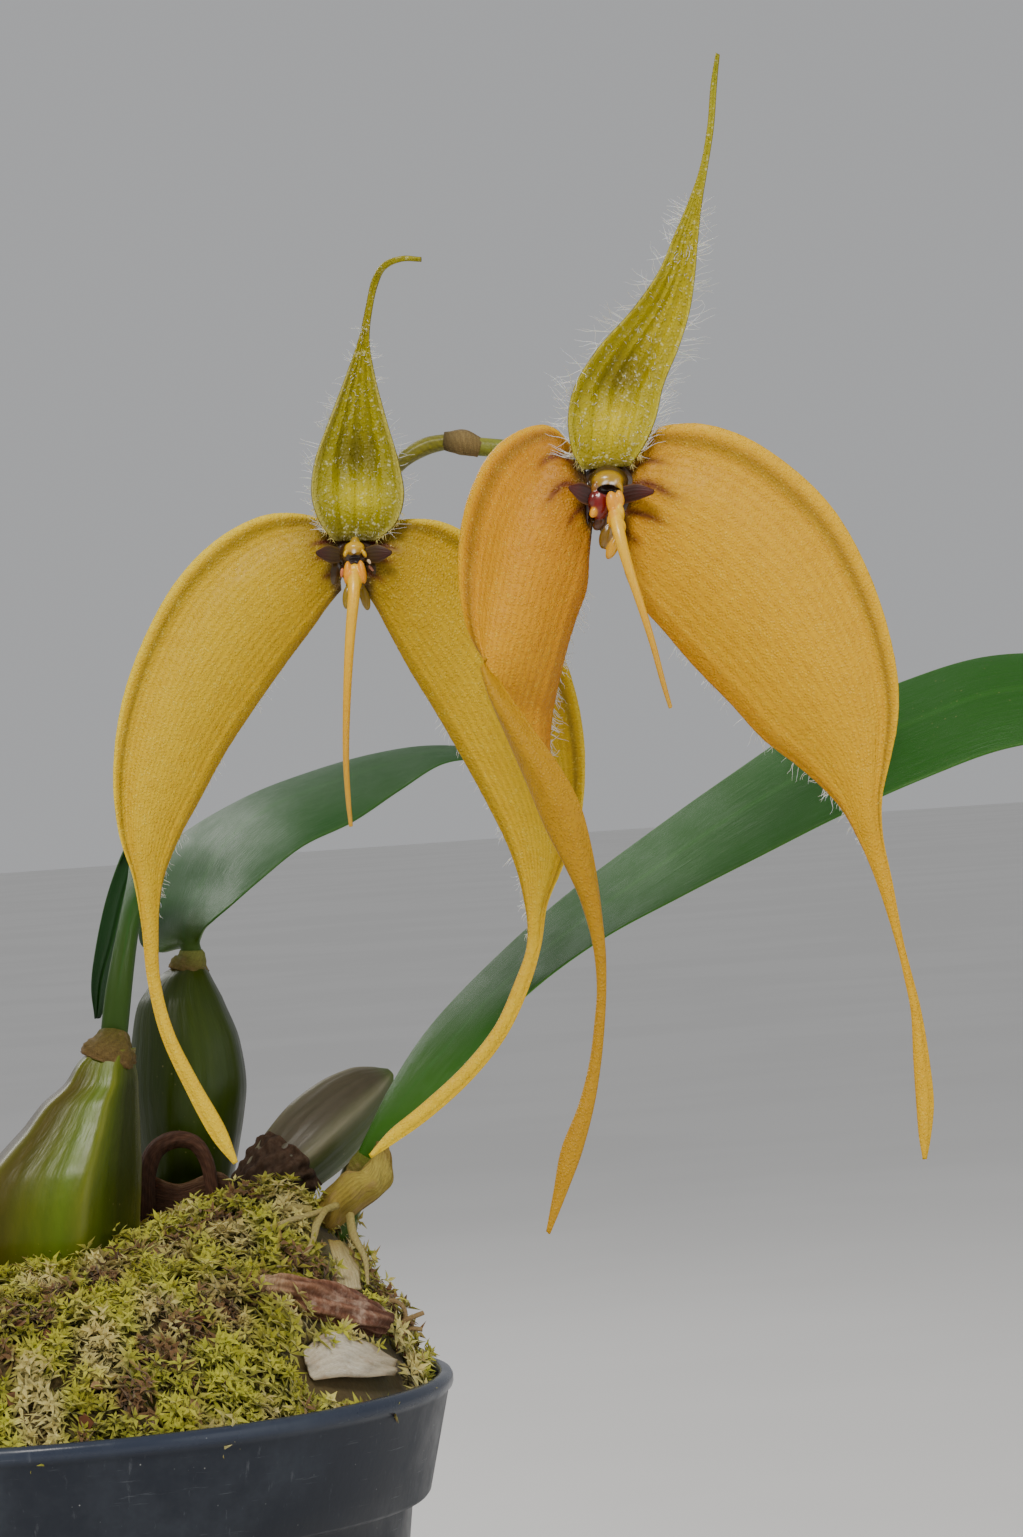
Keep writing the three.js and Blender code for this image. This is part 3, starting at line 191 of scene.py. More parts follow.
# %% [markdown]
# A finished mesh also carries what its material needs: a paint colour for each point, worked
# out by a formula from where the point lies on the piece, and a UV map that runs along and
# across it. The paint is an attribute, so it needs no picture, and it follows the form
# exactly. Solids made by hand can come out with their faces turned inwards. The sign of the
# volume tells, so that it's checked once here for every piece.

# %% Turn arrays into a piece
def paint_points(mesh, colours):
    full = np.ones((len(mesh.vertices), 4))
    full[:, :3] = colours
    mesh.attributes.new("paint", "FLOAT_COLOR", "POINT").data.foreach_set("color", full.ravel())


def points_of(mesh):
    places = np.empty(3 * len(mesh.vertices))
    mesh.vertices.foreach_get("co", places)
    return places.reshape(-1, 3)


def piece_from(name, points, faces, paint=None, uv=None, side=None):
    points = np.asarray(points, float) * MM
    volume = sum(
        np.einsum("ij,ij->", points[group[:, 0]], np.cross(points[group[:, k]], points[group[:, k + 1]]))
        for group in faces for k in range(1, group.shape[1] - 1)
    )
    if volume < 0:
        faces = [group[:, ::-1] for group in faces]
    mesh = bpy.data.meshes.new(name)
    mesh.from_pydata(points.tolist(), [], [face for group in faces for face in group.tolist()])
    mesh.shade_smooth()
    corner = np.empty(len(mesh.loops), int)
    mesh.loops.foreach_get("vertex_index", corner)
    if uv is not None:
        mesh.uv_layers.new(name="UVMap").data.foreach_set("uv", uv[corner].ravel())
    if paint is not None:
        paint_points(mesh, paint)
    if side is not None:
        mesh.attributes.new("side", "FLOAT", "POINT").data.foreach_set("value", side)
    return placed(name, mesh)


def triangles_of(piece):
    piece.data.calc_loop_triangles()
    return len(piece.data.loop_triangles)


added_triangles = 0


def hand_over(piece, material, slot, *nodes):
    """Gives a finished piece its material and the nodes that it stands for, which it hides. The slot is not
    used.
    """
    global added_triangles
    piece.data.materials.clear()
    piece.data.materials.append(material)
    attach(piece, "root")
    if nodes:
        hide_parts(*nodes)
    count = triangles_of(piece)
    added_triangles += count
    print(f"{piece.name}: {count} triangles, stands for {', '.join(nodes) or 'no node'}")
    return piece


def blend_colours(start, end, share):
    share = np.asarray(share, float)[..., None]
    return np.asarray(start, float) * (1 - share) + np.asarray(end, float) * share


print("helpers ready")

# %% [markdown]
# ### A blade with two faces
#
# A petal is a thin body, not a sheet of paper. Both faces are laid out on the same grid, half
# a thickness to either side of the middle sheet, and joined round the edge. It could also be
# a plane with a Solidify modifier. Building both faces by hand keeps control of the edge,
# which thins towards each margin as a real blade does, and of the relief, which the front
# face can carry more strongly than the back.

# %% The blade helper
def across_steps(count, crowding=0.55):
    even = np.linspace(0, 1, count)
    return (1 - crowding) * even + crowding * (0.5 - 0.5 * np.cos(np.pi * even))


def sheet_point(outer, middle, inner, s):
    """A curve through both margins and the middle line, at a share s of the way across."""
    return outer * (2 * s * s - 3 * s + 1) + middle * (4 * s - 4 * s * s) + inner * (2 * s * s - s)


def blade(name, rows, along, across, thickness, lift, paint, front=1, origin=(0, 0, 0), thin=0.4,
          relief=None, warp=0.0):
    steps = np.linspace(0, 1, along)
    u = (1 - warp) * steps + warp * steps**2
    v = across_steps(across)
    outer, middle, inner = (rail([row[k] for row in rows], u)[:, None, :] for k in range(3))
    sheet = sheet_point(outer, middle, inner, v[None, :, None]) + np.array(origin)
    normal = np.cross(np.gradient(sheet, axis=0), np.gradient(sheet, v, axis=1))
    normal *= front / np.maximum(np.linalg.norm(normal, axis=2, keepdims=True), 1e-9)
    width = np.linalg.norm(outer - inner, axis=2)
    grid_u = np.repeat(u[:, None], across, axis=1)
    grid_v = np.repeat(v[None, :], along, axis=0)
    raised = lift(grid_u, grid_v, width) if lift else np.zeros_like(grid_u)
    fine = relief(grid_u, grid_v, width) if relief else 0
    thick = thickness(grid_u) if callable(thickness) else thickness
    half = thick / 2 * (thin + (1 - thin) * (1 - np.abs(2 * grid_v - 1) ** 4))
    front_face = sheet + normal * (raised + half + fine)[..., None]
    back_face = sheet + normal * (raised - half)[..., None]
    i, j = np.meshgrid(np.arange(along - 1), np.arange(across - 1), indexing="ij")
    here = (i * across + j).ravel()
    quads = np.stack([here, here + across, here + across + 1, here + 1], axis=1)
    count = along * across
    low = np.arange(along - 1) * across
    high = low + across - 1
    foot = np.arange(across - 1)
    tip = (along - 1) * across + foot
    walls = [
        np.stack([low, low + count, low + count + across, low + across], axis=1),
        np.stack([high, high + across, high + count + across, high + count], axis=1),
        np.stack([foot, foot + 1, foot + 1 + count, foot + count], axis=1),
        np.stack([tip, tip + count, tip + count + 1, tip + 1], axis=1),
    ]
    faces = [quads, quads[:, ::-1] + count, *walls]
    both = np.concatenate([front_face.reshape(-1, 3), back_face.reshape(-1, 3)])
    flat_u, flat_v = np.tile(grid_u.ravel(), 2), np.tile(grid_v.ravel(), 2)
    side = np.repeat([1.0, 0.0], count)
    wide = np.tile(np.repeat(width, across, axis=1).ravel(), 2)
    uv = np.stack([flat_u * 8, flat_v], axis=1)
    return piece_from(name, both, faces, paint(flat_u, flat_v, side, wide), uv, side)

# %% [markdown]
# ### A stalk
#
# Rings of points along a rail, closed at both ends. A curve with a bevel would do for a plain
# stalk, but a shape formula here can also press grooves into it, swell it at a joint or
# sharpen it into the ribs of a pseudobulb.

# %% The stalk helper
def loft_faces(sides, rings):
    """Faces for rings of points, closed by two more points: one at the foot and one on top."""
    ring = np.arange(sides)
    after = (ring + 1) % sides
    wall = np.stack([ring, after, after + sides, ring + sides], axis=1)
    walls = np.concatenate([wall + k * sides for k in range(rings - 1)])
    foot, top, last = rings * sides, rings * sides + 1, (rings - 1) * sides
    caps = np.concatenate([
        np.stack([np.full(sides, foot), after, ring], axis=1),
        np.stack([np.full(sides, top), ring + last, after + last], axis=1),
    ])
    return [walls, caps]


def stalk(name, path, radii, sides, steps, shape=None, paint=None, upright=False):
    u = np.linspace(0, 1, steps)
    centres = rail(path, u)
    widths = rail([(radius, index, 0) for index, radius in enumerate(radii)], u)[:, 0]
    ahead = np.gradient(centres, axis=0)
    ahead /= np.linalg.norm(ahead, axis=1, keepdims=True)
    if upright:
        ahead[:] = (0, 0, 1)
    side = np.array([1.0, 0, 0])
    angles = np.linspace(0, 2 * np.pi, sides, endpoint=False)
    rings = []
    for centre, axis, width, along in zip(centres, ahead, widths, u):
        side = side - axis * side.dot(axis)
        side = side / np.linalg.norm(side)
        other = np.cross(axis, side)
        radius = width * (shape(angles, along) if shape else np.ones(sides))
        ring = np.outer(np.cos(angles) * radius, side) + np.outer(np.sin(angles) * radius, other)
        rings.append(centre + ring)
    points = np.concatenate([*rings, centres[:1], centres[-1:]])
    flat_u = np.concatenate([np.repeat(u, sides), [0, 1]])
    flat_a = np.concatenate([np.tile(angles, steps), [0, 0]])
    colours = paint(flat_u, flat_a) if paint else None
    uv = np.stack([flat_u * 8, flat_a / (2 * np.pi)], axis=1)
    return piece_from(name, points, loft_faces(sides, steps), colours, uv)


def merge(name, pieces):
    """Joins several closed pieces into one object."""
    whole = bmesh.new()
    for piece in pieces:
        whole.from_mesh(piece.data)
    mesh = bpy.data.meshes.new(name)
    whole.to_mesh(mesh)
    whole.free()
    mesh.shade_smooth()
    for piece in pieces:
        bpy.data.objects.remove(piece)
    return placed(name, mesh)


print("blade and stalk helpers ready")

# %% [markdown]
# ## Finishes
#
# Every finish starts from the paint on the piece, then adds what is too fine for paint:
# mottling, pimples, fibres, dust. A small builder keeps the node trees short. All patterns
# read Object coordinates, in metres, so a scale of 2500 makes grains of 0.4 mm.

# %% A small builder for node trees
def add_node(tree, kind, values=None, **settings):
    """Adds a node, sets its options, and feeds its inputs with values or with other nodes."""
    made = tree.nodes.new(kind)
    for key, value in settings.items():
        setattr(made, key, value)
    for key, value in (values or {}).items():
        if isinstance(value, bpy.types.Node):
            value = value.outputs[0]
        if isinstance(value, bpy.types.NodeSocket):
            tree.links.new(value, made.inputs[key])
        else:
            made.inputs[key].default_value = value
    return made


class Finish:
    def __init__(self, name, roughness=0.5, specular=0.5, coat=0.0, coat_roughness=0.2, sheen=0.0,
                 soft=0.0, soft_radius=(1.0, 0.5, 0.2), soft_scale=0.002):
        self.material = bpy.data.materials.new(name)
        self.material.use_nodes = True
        self.tree = self.material.node_tree
        self.shader = self.tree.nodes["Principled BSDF"]
        for label, value in {
            "Roughness": roughness, "Specular IOR Level": specular, "Coat Weight": coat,
            "Coat Roughness": coat_roughness, "Sheen Weight": sheen, "Subsurface Weight": soft,
            "Subsurface Radius": soft_radius, "Subsurface Scale": soft_scale,
        }.items():
            self.shader.inputs[label].default_value = value
        self.place = self.node("ShaderNodeTexCoord").outputs["Object"]
        self.height = None

    def node(self, kind, values=None, **settings):
        return add_node(self.tree, kind, values, **settings)

    def number(self, label):
        return self.node("ShaderNodeAttribute", attribute_name=label).outputs["Fac"]

    def paint(self):
        return self.node("ShaderNodeAttribute", attribute_name="paint").outputs["Color"]

    def stretched(self, scale, source=None):
        return self.node("ShaderNodeMapping", {"Vector": source or self.place, "Scale": scale}).outputs[0]

    def uv(self, scale):
        return self.stretched(scale, self.node("ShaderNodeUVMap", uv_map="UVMap").outputs["UV"])

    def noise(self, scale, detail=3.0, rough=0.55, source=None):
        values = {"Vector": source or self.place, "Scale": scale, "Detail": detail, "Roughness": rough}
        return self.node("ShaderNodeTexNoise", values).outputs["Fac"]

    def cells(self, scale, feature="F1"):
        values = {"Vector": self.place, "Scale": scale}
        return self.node("ShaderNodeTexVoronoi", values, feature=feature).outputs["Distance"]

    def band(self, value, low, high, bottom=0.0, top=1.0):
        values = {"Value": value, "From Min": low, "From Max": high, "To Min": bottom, "To Max": top}
        return self.node("ShaderNodeMapRange", values, interpolation_type="SMOOTHSTEP").outputs["Result"]

    def times(self, first, second):
        return self.node("ShaderNodeMath", {0: first, 1: second}, operation="MULTIPLY").outputs["Value"]

    def mix(self, share, first, second, blend="MIX"):
        values = {0: share, 6: first, 7: second}
        return self.node("ShaderNodeMix", values, data_type="RGBA", blend_type=blend).outputs[2]

    def raise_by(self, value, distance, strength):
        values = {"Distance": distance, "Strength": strength, "Height": value}
        if self.height is not None:
            values["Normal"] = self.height
        self.height = self.node("ShaderNodeBump", values).outputs["Normal"]

    def done(self, colour, roughness=None):
        for label, value in (("Base Color", colour), ("Roughness", roughness), ("Normal", self.height)):
            if value is not None:
                self.tree.links.new(value, self.shader.inputs[label])
        return self.material


print("finish builder ready")

# %% [markdown]
# ### The skin of the sepals
#
# The big sepals are covered in tiny glassy pimples that sparkle, and fine veins run their length. Modelling a
# hundred thousand pimples would be heavy, so a cell pattern makes them as bumps, and each cell's middle is a
# little shinier and carries a painted highlight: a paler colour that stands for its sparkle. The veins are
# real relief in the mesh. A number called side, 1 in front and 0 behind, keeps most of the painted sparkle in
# front.

# %% Sepal finishes
def sepal_finish(name, glint_colour, glint_strength, grain=2300, soft=0.05):
    skin = Finish(name, roughness=0.42, specular=0.28, soft=soft,
                  soft_radius=(1, 0.7, 0.25), soft_scale=0.001)
    cloud = skin.noise(55, 4, 0.6)
    mottle = skin.noise(420, 3, 0.6)
    cell = skin.cells(grain)
    dot = skin.band(cell, 0.18, 0.6, 1.0, 0.0)
    net = skin.cells(grain * 0.45, "DISTANCE_TO_EDGE")
    colour = skin.paint()
    colour = skin.mix(skin.band(cloud, 0.35, 0.75, 0.0, 0.22), colour, (0.9, 0.9, 0.75, 1), "MULTIPLY")
    colour = skin.mix(skin.band(mottle, 0.4, 0.7, 0.0, 0.3), colour, (0.82, 0.74, 0.55, 1), "MULTIPLY")
    colour = skin.mix(skin.band(net, 0.0, 0.08, 0.25, 0.0), colour, (0.72, 0.6, 0.4, 1), "MULTIPLY")
    # Painted highlight: the middles of some cells take a paler colour for the glint of the glassy pimples.
    fleck = skin.times(dot, skin.band(skin.noise(900, 2, 0.5), 0.5, 0.68, 0.0, glint_strength))
    fleck = skin.times(fleck, skin.band(skin.number("side"), 0.2, 0.8, 0.3, 1.0))
    colour = skin.mix(fleck, colour, glint_colour)
    skin.raise_by(dot, 0.00012, 0.7)
    skin.raise_by(mottle, 0.0003, 0.35)
    return skin.done(colour, skin.band(dot, 0.0, 1.0, 0.5, 0.3))


gold_sepal_skin = sepal_finish("gold_sepal_skin", (0.95, 0.78, 0.12, 1), 0.28)
orange_sepal_skin = sepal_finish("orange_sepal_skin", (1.0, 0.74, 0.08, 1), 0.25)
olive_sepal_skin = sepal_finish("olive_sepal_skin", (0.8, 0.78, 0.4, 1), 0.5, grain=2000, soft=0.04)


def flesh_finish(name, roughness=0.28, coat=0.35, grain=1500, soft=0.1):
    """Waxy flesh with a wet gloss, for columns, lips and drops."""
    flesh = Finish(name, roughness=roughness, coat=coat, coat_roughness=0.12, soft=soft, soft_scale=0.001)
    mottle = flesh.noise(grain, 3, 0.6)
    share = flesh.band(mottle, 0.42, 0.7, 0.0, 0.3)
    colour = flesh.mix(share, flesh.paint(), (0.75, 0.62, 0.5, 1), "MULTIPLY")
    flesh.raise_by(flesh.noise(grain * 1.4, 2, 0.5), 0.00006, 0.5)
    return flesh.done(colour)


column_flesh = flesh_finish("column_flesh")
petal_flesh = flesh_finish("petal_flesh", roughness=0.5, coat=0.0, soft=0.02)
lip_flesh = flesh_finish("lip_flesh", roughness=0.36, coat=0.15, grain=1800, soft=0.15)


def hair_finish(name, colour):
    hair = Finish(name, roughness=0.35, specular=0.7, soft=0.3, soft_scale=0.0004)
    shade = tuple(0.72 * c for c in colour[:3]) + (1,)
    return hair.done(hair.mix(hair.band(hair.noise(260, 2), 0.35, 0.7), colour, shade))


white_hair = hair_finish("white_hair", (0.86, 0.84, 0.78, 1))
straw_hair = hair_finish("straw_hair", (0.8, 0.62, 0.2, 1))
print(len(bpy.data.materials), "materials so far")

# %% [markdown]
# ### Leaves, stalks and pseudobulbs
#
# These share a waxy skin. A thin coat gives the broad soft highlight that healthy leaves
# show, and very fine lines along the blade stand for the parallel veins.

# %% Green finishes
def waxy_finish(name, roughness, coat, specular=0.4, line_scale=(2, 260, 1), cloud_scale=40):
    skin = Finish(name, roughness=roughness, specular=specular, coat=coat, coat_roughness=0.25, soft=0.03)
    lines = skin.noise(1.0, 2, 0.5, skin.uv(line_scale))
    cloud = skin.noise(cloud_scale, 4, 0.6)
    speck = skin.cells(700)
    colour = skin.mix(skin.band(cloud, 0.35, 0.7, 0.0, 0.35), skin.paint(), (0.72, 0.8, 0.6, 1), "MULTIPLY")
    colour = skin.mix(skin.band(lines, 0.42, 0.62, 0.0, 0.22), colour, (0.6, 0.75, 0.5, 1), "MULTIPLY")
    speck_places = skin.band(skin.noise(90, 2), 0.55, 0.66)
    fleck = skin.times(skin.band(speck, 0.05, 0.16, 1.0, 0.0), speck_places)
    colour = skin.mix(skin.times(fleck, 0.35), colour, (0.3, 0.26, 0.1, 1))
    skin.raise_by(lines, 0.0003, 0.35)
    skin.raise_by(skin.noise(500, 3), 0.0002, 0.15)
    rough = skin.band(skin.noise(130, 4, 0.65), 0.35, 0.75, roughness * 0.9, roughness * 1.25)
    return skin.done(colour, rough)


leaf_skin = waxy_finish("leaf_skin", roughness=0.4, coat=0.0, specular=0.25)
bulb_skin = waxy_finish("bulb_skin", roughness=0.36, coat=0.06, specular=0.22, line_scale=(1.5, 60, 1),
                        cloud_scale=90)
old_bulb_skin = waxy_finish("old_bulb_skin", roughness=0.5, coat=0.1, line_scale=(1.5, 40, 1),
                            cloud_scale=120)
stalk_skin = waxy_finish("stalk_skin", roughness=0.4, coat=0.1, line_scale=(20, 10, 1), cloud_scale=200)

# %% [markdown]
# ### Dry sheaths, bark and moss
#
# Dead sheaths are fibrous: long fine fibres run their length, and the tissue between them is
# thin and pale. Stretching a noise along the piece's own UV map draws the fibres, whichever
# way the sheath curls.

# %% Dry finishes
def papery_finish(name, fibre, contrast, roughness, stain):
    paper = Finish(name, roughness=roughness, specular=0.3, soft=0.06)
    fibres = paper.noise(1.0, 4, 0.6, paper.uv(fibre))
    blotch = paper.noise(260, 4, 0.65)
    dots = paper.cells(1500)
    share = paper.band(fibres, 0.35, 0.65, contrast, 0.0)
    colour = paper.mix(share, paper.paint(), (0.5, 0.38, 0.26, 1), "MULTIPLY")
    colour = paper.mix(paper.band(blotch, 0.5, 0.75, 0.0, 0.55), colour, stain)
    colour = paper.mix(paper.band(dots, 0.05, 0.2, 0.2, 0.0), colour, (0.1, 0.06, 0.03, 1))
    paper.raise_by(fibres, 0.0004, 0.6)
    paper.raise_by(paper.noise(800, 3), 0.0003, 0.3)
    return paper.done(colour)


papery_skin = papery_finish("papery_skin", (3, 90, 1), 0.5, 0.8, (0.34, 0.2, 0.1, 1))
fibrous_skin = papery_finish("fibrous_skin", (2, 50, 1), 0.8, 0.85, (0.1, 0.05, 0.03, 1))
bark_skin = papery_finish("bark_skin", (5, 14, 1), 0.75, 0.85, (0.62, 0.46, 0.34, 1))


def moss_finish():
    moss = Finish("moss_skin", roughness=0.75, specular=0.3, sheen=0.2, soft=0.12, soft_scale=0.001)
    cloud = moss.noise(70, 3, 0.6)
    grain = moss.noise(1300, 3, 0.6)
    colour = moss.mix(moss.band(cloud, 0.4, 0.68, 0.0, 0.5), moss.paint(), (0.74, 0.66, 0.5, 1), "MULTIPLY")
    colour = moss.mix(moss.band(grain, 0.4, 0.7, 0.35, 0.0), colour, (0.5, 0.5, 0.3, 1), "MULTIPLY")
    moss.raise_by(grain, 0.0002, 0.5)
    return moss.done(colour)


moss_skin = moss_finish()
print(len(bpy.data.materials), "materials")

# %% [markdown]
# ## The long lateral sepals
#
# Each flower's big yellow "wings" are its two lateral sepals. They spread from the middle,
# droop, and end in a narrow tail. Along the outer margin the blade rolls forward into a rim,
# with a shallow groove inside it. Three rails draw each blade from its base to its tail, and
# one formula of relief serves all four sepals: the rim, fine parallel veins, and a little
# random pebbling. A sculpted mesh could look the same, but a formula can be tuned by eye.

# %% The form of a lateral sepal
LEFT_PLACE = (59.4, -56, 232)
RIGHT_PLACE = (98.9, -76, 236.7)
SEPAL_THICKNESS = 0.7
VEIN_COUNT = 19
VEIN_HEIGHT = 0.05
# The rim tone is a painted shadow in the groove inside the rim; the foot tone is painted shade at the sepal's
# foot, next to the column.
GROOVE_PAINTED_SHADOW, FOOT_PAINTED_SHADE, STREAK_TONE = "4c3a00", "3c2606", "5a1208"
rng = np.random.default_rng(11)


def tone(code):
    """A display colour such as c79a12 as the linear numbers that a shader wants."""
    share = np.array([int(code[k:k + 2], 16) / 255 for k in (0, 2, 4)])
    return np.where(share <= 0.04045, share / 12.92, ((share + 0.055) / 1.055) ** 2.4)


def shades(steps, at):
    """Colours that pass smoothly through (place, tone) steps."""
    places = [place for place, code in steps]
    colours = np.array([tone(code) for place, code in steps])
    return np.stack([np.interp(at, places, colours[:, k]) for k in range(3)], axis=-1)


def layered(colour, *coats):
    """Lays coats of paint over a colour. Each is a tone and the share of it that covers."""
    for code, share in coats:
        colour = blend_colours(colour, tone(code), share)
    return colour


def rim_and_groove(u, v, width):
    rise = np.minimum(1.3, 0.1 * width) * smoothstep(0, 0.14, u)
    return rise * bump(v, 0, 0.09) - 0.35 * rise * bump(v, 0.2, 0.1)


def sepal_veins(u, v, width):
    fade = smoothstep(0.05, 0.16, v) * smoothstep(1.0, 0.93, v) * smoothstep(0.01, 0.1, u)
    narrow = np.clip(width / 12, 0.15, 1)
    sway = 0.25 * np.sin(9 * u + 3 * v)
    veins = VEIN_HEIGHT * np.cos(2 * np.pi * (VEIN_COUNT * v + sway)) * fade * narrow
    pebble = rng.normal(0, 0.022, v.shape) * narrow
    return veins + pebble + 0.25 * bump(v, 0.93, 0.035) * narrow


def lateral_paint(body, base, deep, painted_highlight, back, streaks):
    def paint(u, v, side, wide):
        wave = 0.5 + 0.5 * np.cos(2 * np.pi * (VEIN_COUNT * v + 0.25 * np.sin(9 * u + 3 * v)))
        wide_part = smoothstep(1.5, 6, wide)
        colour = layered(
            shades(body, u),
            (base, 0.75 * smoothstep(0.13, 0.0, u)),
            # Painted highlight down the middle of the blade.
            (painted_highlight, 0.3 * (bump(v, 0.5, 0.3) * smoothstep(0.06, 0.3, u))),
            (deep, 0.3 * (1 - wave) * smoothstep(0.9, 0.5, u)),
            (deep, 0.6 * smoothstep(0.86, 1.0, v)),
            # Painted shadow in the groove just inside the rim.
            (GROOVE_PAINTED_SHADOW, 0.5 * (bump(v, 0.085, 0.03) * wide_part * smoothstep(0.0, 0.08, u))),
            # Painted highlight along the rim's edge.
            (painted_highlight, 0.8 * (smoothstep(0.05, 0.02, v) * wide_part)),
            # Painted shade at the sepal's foot, next to the column.
            (FOOT_PAINTED_SHADE, 0.9 * smoothstep(0.05, 0.012, u) * smoothstep(0.0, 0.2, v)),
        )
        for place_u, place_v, long, narrow, lean, strength in streaks:
            away = (v - place_v - lean * (u - place_u)) / narrow
            mark = np.exp(-(away ** 2)) * np.exp(-(((u - place_u) / long) ** 4)) * strength
            colour = layered(colour, (STREAK_TONE, np.clip(mark, 0, 1) * side))
        return blend_colours(tone(back), colour, side)
    return paint


GOLD_PAINT = dict(
    body=[(0, "b08c00"), (0.15, "cda600"), (0.45, "dcb200"), (0.7, "d8ac00"), (1, "e0bc10")],
    base="86700a", deep="967400", painted_highlight="f2d024", back="b49400",
)
ORANGE_PAINT = dict(
    body=[(0, "d09600"), (0.15, "dea800"), (0.45, "e2ae00"), (0.7, "dea800"), (1, "d4a800")],
    base="b87c00", deep="bc7a00", painted_highlight="ecb800", back="c49400",
)
DEEP_ORANGE_PAINT = dict(
    body=[(0, "c88400"), (0.15, "d89400"), (0.45, "dc9e00"), (0.7, "daa000"), (1, "d4a800")],
    base="a06c00", deep="a86600", painted_highlight="ecb400", back="b88800",
)
LEFT_MARKS = [
    (0.03, 0.30, 0.035, 0.035, 1, 0.9), (0.035, 0.5, 0.03, 0.03, -1, 0.8), (0.03, 0.7, 0.03, 0.04, 0, 0.7),
]
RIGHT_MARKS = [
    (0.065, 0.36, 0.05, 0.03, 0.6, 0.95), (0.05, 0.2, 0.035, 0.022, 0.6, 0.8),
    (0.06, 0.56, 0.05, 0.028, -0.5, 0.9), (0.045, 0.74, 0.03, 0.03, -0.6, 0.7),
]
LEFT_OF_RIGHT_MARKS = [
    (0.05, 0.25, 0.03, 0.03, 0.4, 0.9), (0.06, 0.48, 0.03, 0.03, 0, 0.9), (0.05, 0.7, 0.03, 0.03, 0, 0.8),
]
print("the lateral sepals are painted with", len(RIGHT_MARKS), "maroon marks at most")

# %% Where the four lateral sepals lie
LEFT_FLOWER_LEFT_ROWS = [
    [[-2.1, 1.8, 6.1], [-2.1, 0.2, 0.8], [-2.1, 0, -4.5]],
    [[-7.7, 1.4, 7.4], [-6, -0.6, 0.2], [-4.5, 1, -6.9]],
    [[-13.6, 1, 7.1], [-10.2, -1.1, -1.5], [-7.1, 2, -10]],
    [[-20.3, 0, 4.1], [-15.4, -2, -5.2], [-10.8, 2.5, -14.2]],
    [[-26.8, -1, -1.7], [-21.4, -2.6, -11.4], [-16.3, 2.5, -20.9]],
    [[-32.4, -2, -10.5], [-26.9, -3.4, -19.3], [-21.7, 2, -28]],
    [[-36.3, -3, -19.9], [-31.1, -4, -27.6], [-26.3, 1, -35.3]],
    [[-38.2, -4, -29.5], [-34, -4.2, -35.5], [-30.1, 0, -41.5]],
    [[-38.2, -4.5, -38.7], [-35.2, -4.4, -42.6], [-32.4, -1.5, -46.6]],
    [[-36.7, -4.5, -45.9], [-35, -4.3, -48.4], [-33.4, -2.5, -51]],
    [[-36, -4.5, -53], [-34.9, -4.5, -54.3], [-33.8, -3.5, -55.5]],
    [[-35.7, -5, -62.3], [-34.8, -5, -62.3], [-33.9, -4.5, -62.4]],
    [[-34.1, -6, -70.8], [-33.2, -6.3, -70.5], [-32.3, -6, -70.2]],
    [[-30.9, -7, -79.1], [-29.9, -7.4, -78.5], [-29, -7, -78]],
    [[-27.2, -8, -87], [-26.2, -8.4, -86.3], [-25.2, -8, -85.7]],
    [[-24.3, -8.5, -91.1], [-24, -8.6, -91], [-23.7, -8.5, -90.8]],
]
LEFT_FLOWER_RIGHT_ROWS = [
    [[2.9, 1.8, 5.4], [2.1, 0.2, 0.3], [1.4, 0, -4.7]],
    [[8.3, 1.4, 5.5], [5.7, -0.6, -1], [3, 1, -7.4]],
    [[13.9, 2, 4.4], [9.4, -0.6, -3.6], [4.8, 2, -11.4]],
    [[19.7, 3, 0.5], [13.7, -0.2, -8.6], [7.6, 3, -17.5]],
    [[25.6, 4, -6.9], [18.4, 0.4, -15.6], [11.1, 3.5, -24.2]],
    [[30, 5, -15.1], [22.4, 1.1, -23.6], [14.9, 4, -32]],
    [[32.4, 5, -24.8], [25.3, 1.5, -32], [18.2, 4, -39.2]],
    [[32.7, 5, -34.1], [26.7, 2, -39.9], [20.8, 3.5, -45.6]],
    [[31.1, 4.5, -43.4], [26.6, 2.4, -47.1], [22.2, 3, -50.8]],
    [[28.3, 4, -49.4], [25.6, 2.5, -52.2], [22.8, 2.5, -55]],
    [[25.9, 3.5, -54.8], [24.5, 2.2, -56.5], [23, 2, -58.3]],
    [[24.7, 2, -61.4], [23.6, 1.5, -61.6], [22.5, 1.5, -62]],
    [[22.2, 0, -68.1], [21.2, -0.3, -67.5], [20.3, 0, -67]],
    [[18.3, -2, -74.8], [17.6, -2.4, -74], [16.9, -2, -73.2]],
    [[12.8, -4, -80.8], [12.2, -4.4, -79.8], [11.6, -4, -78.9]],
    [[5.7, -6, -86.3], [5.2, -6.4, -85.3], [4.6, -6, -84.4]],
    [[0.4, -7.5, -89.5], [0, -7.8, -88.7], [-0.4, -7.5, -87.9]],
    [[-3.4, -8.5, -91.6], [-3.5, -8.6, -91.4], [-3.6, -8.5, -91.2]],
]
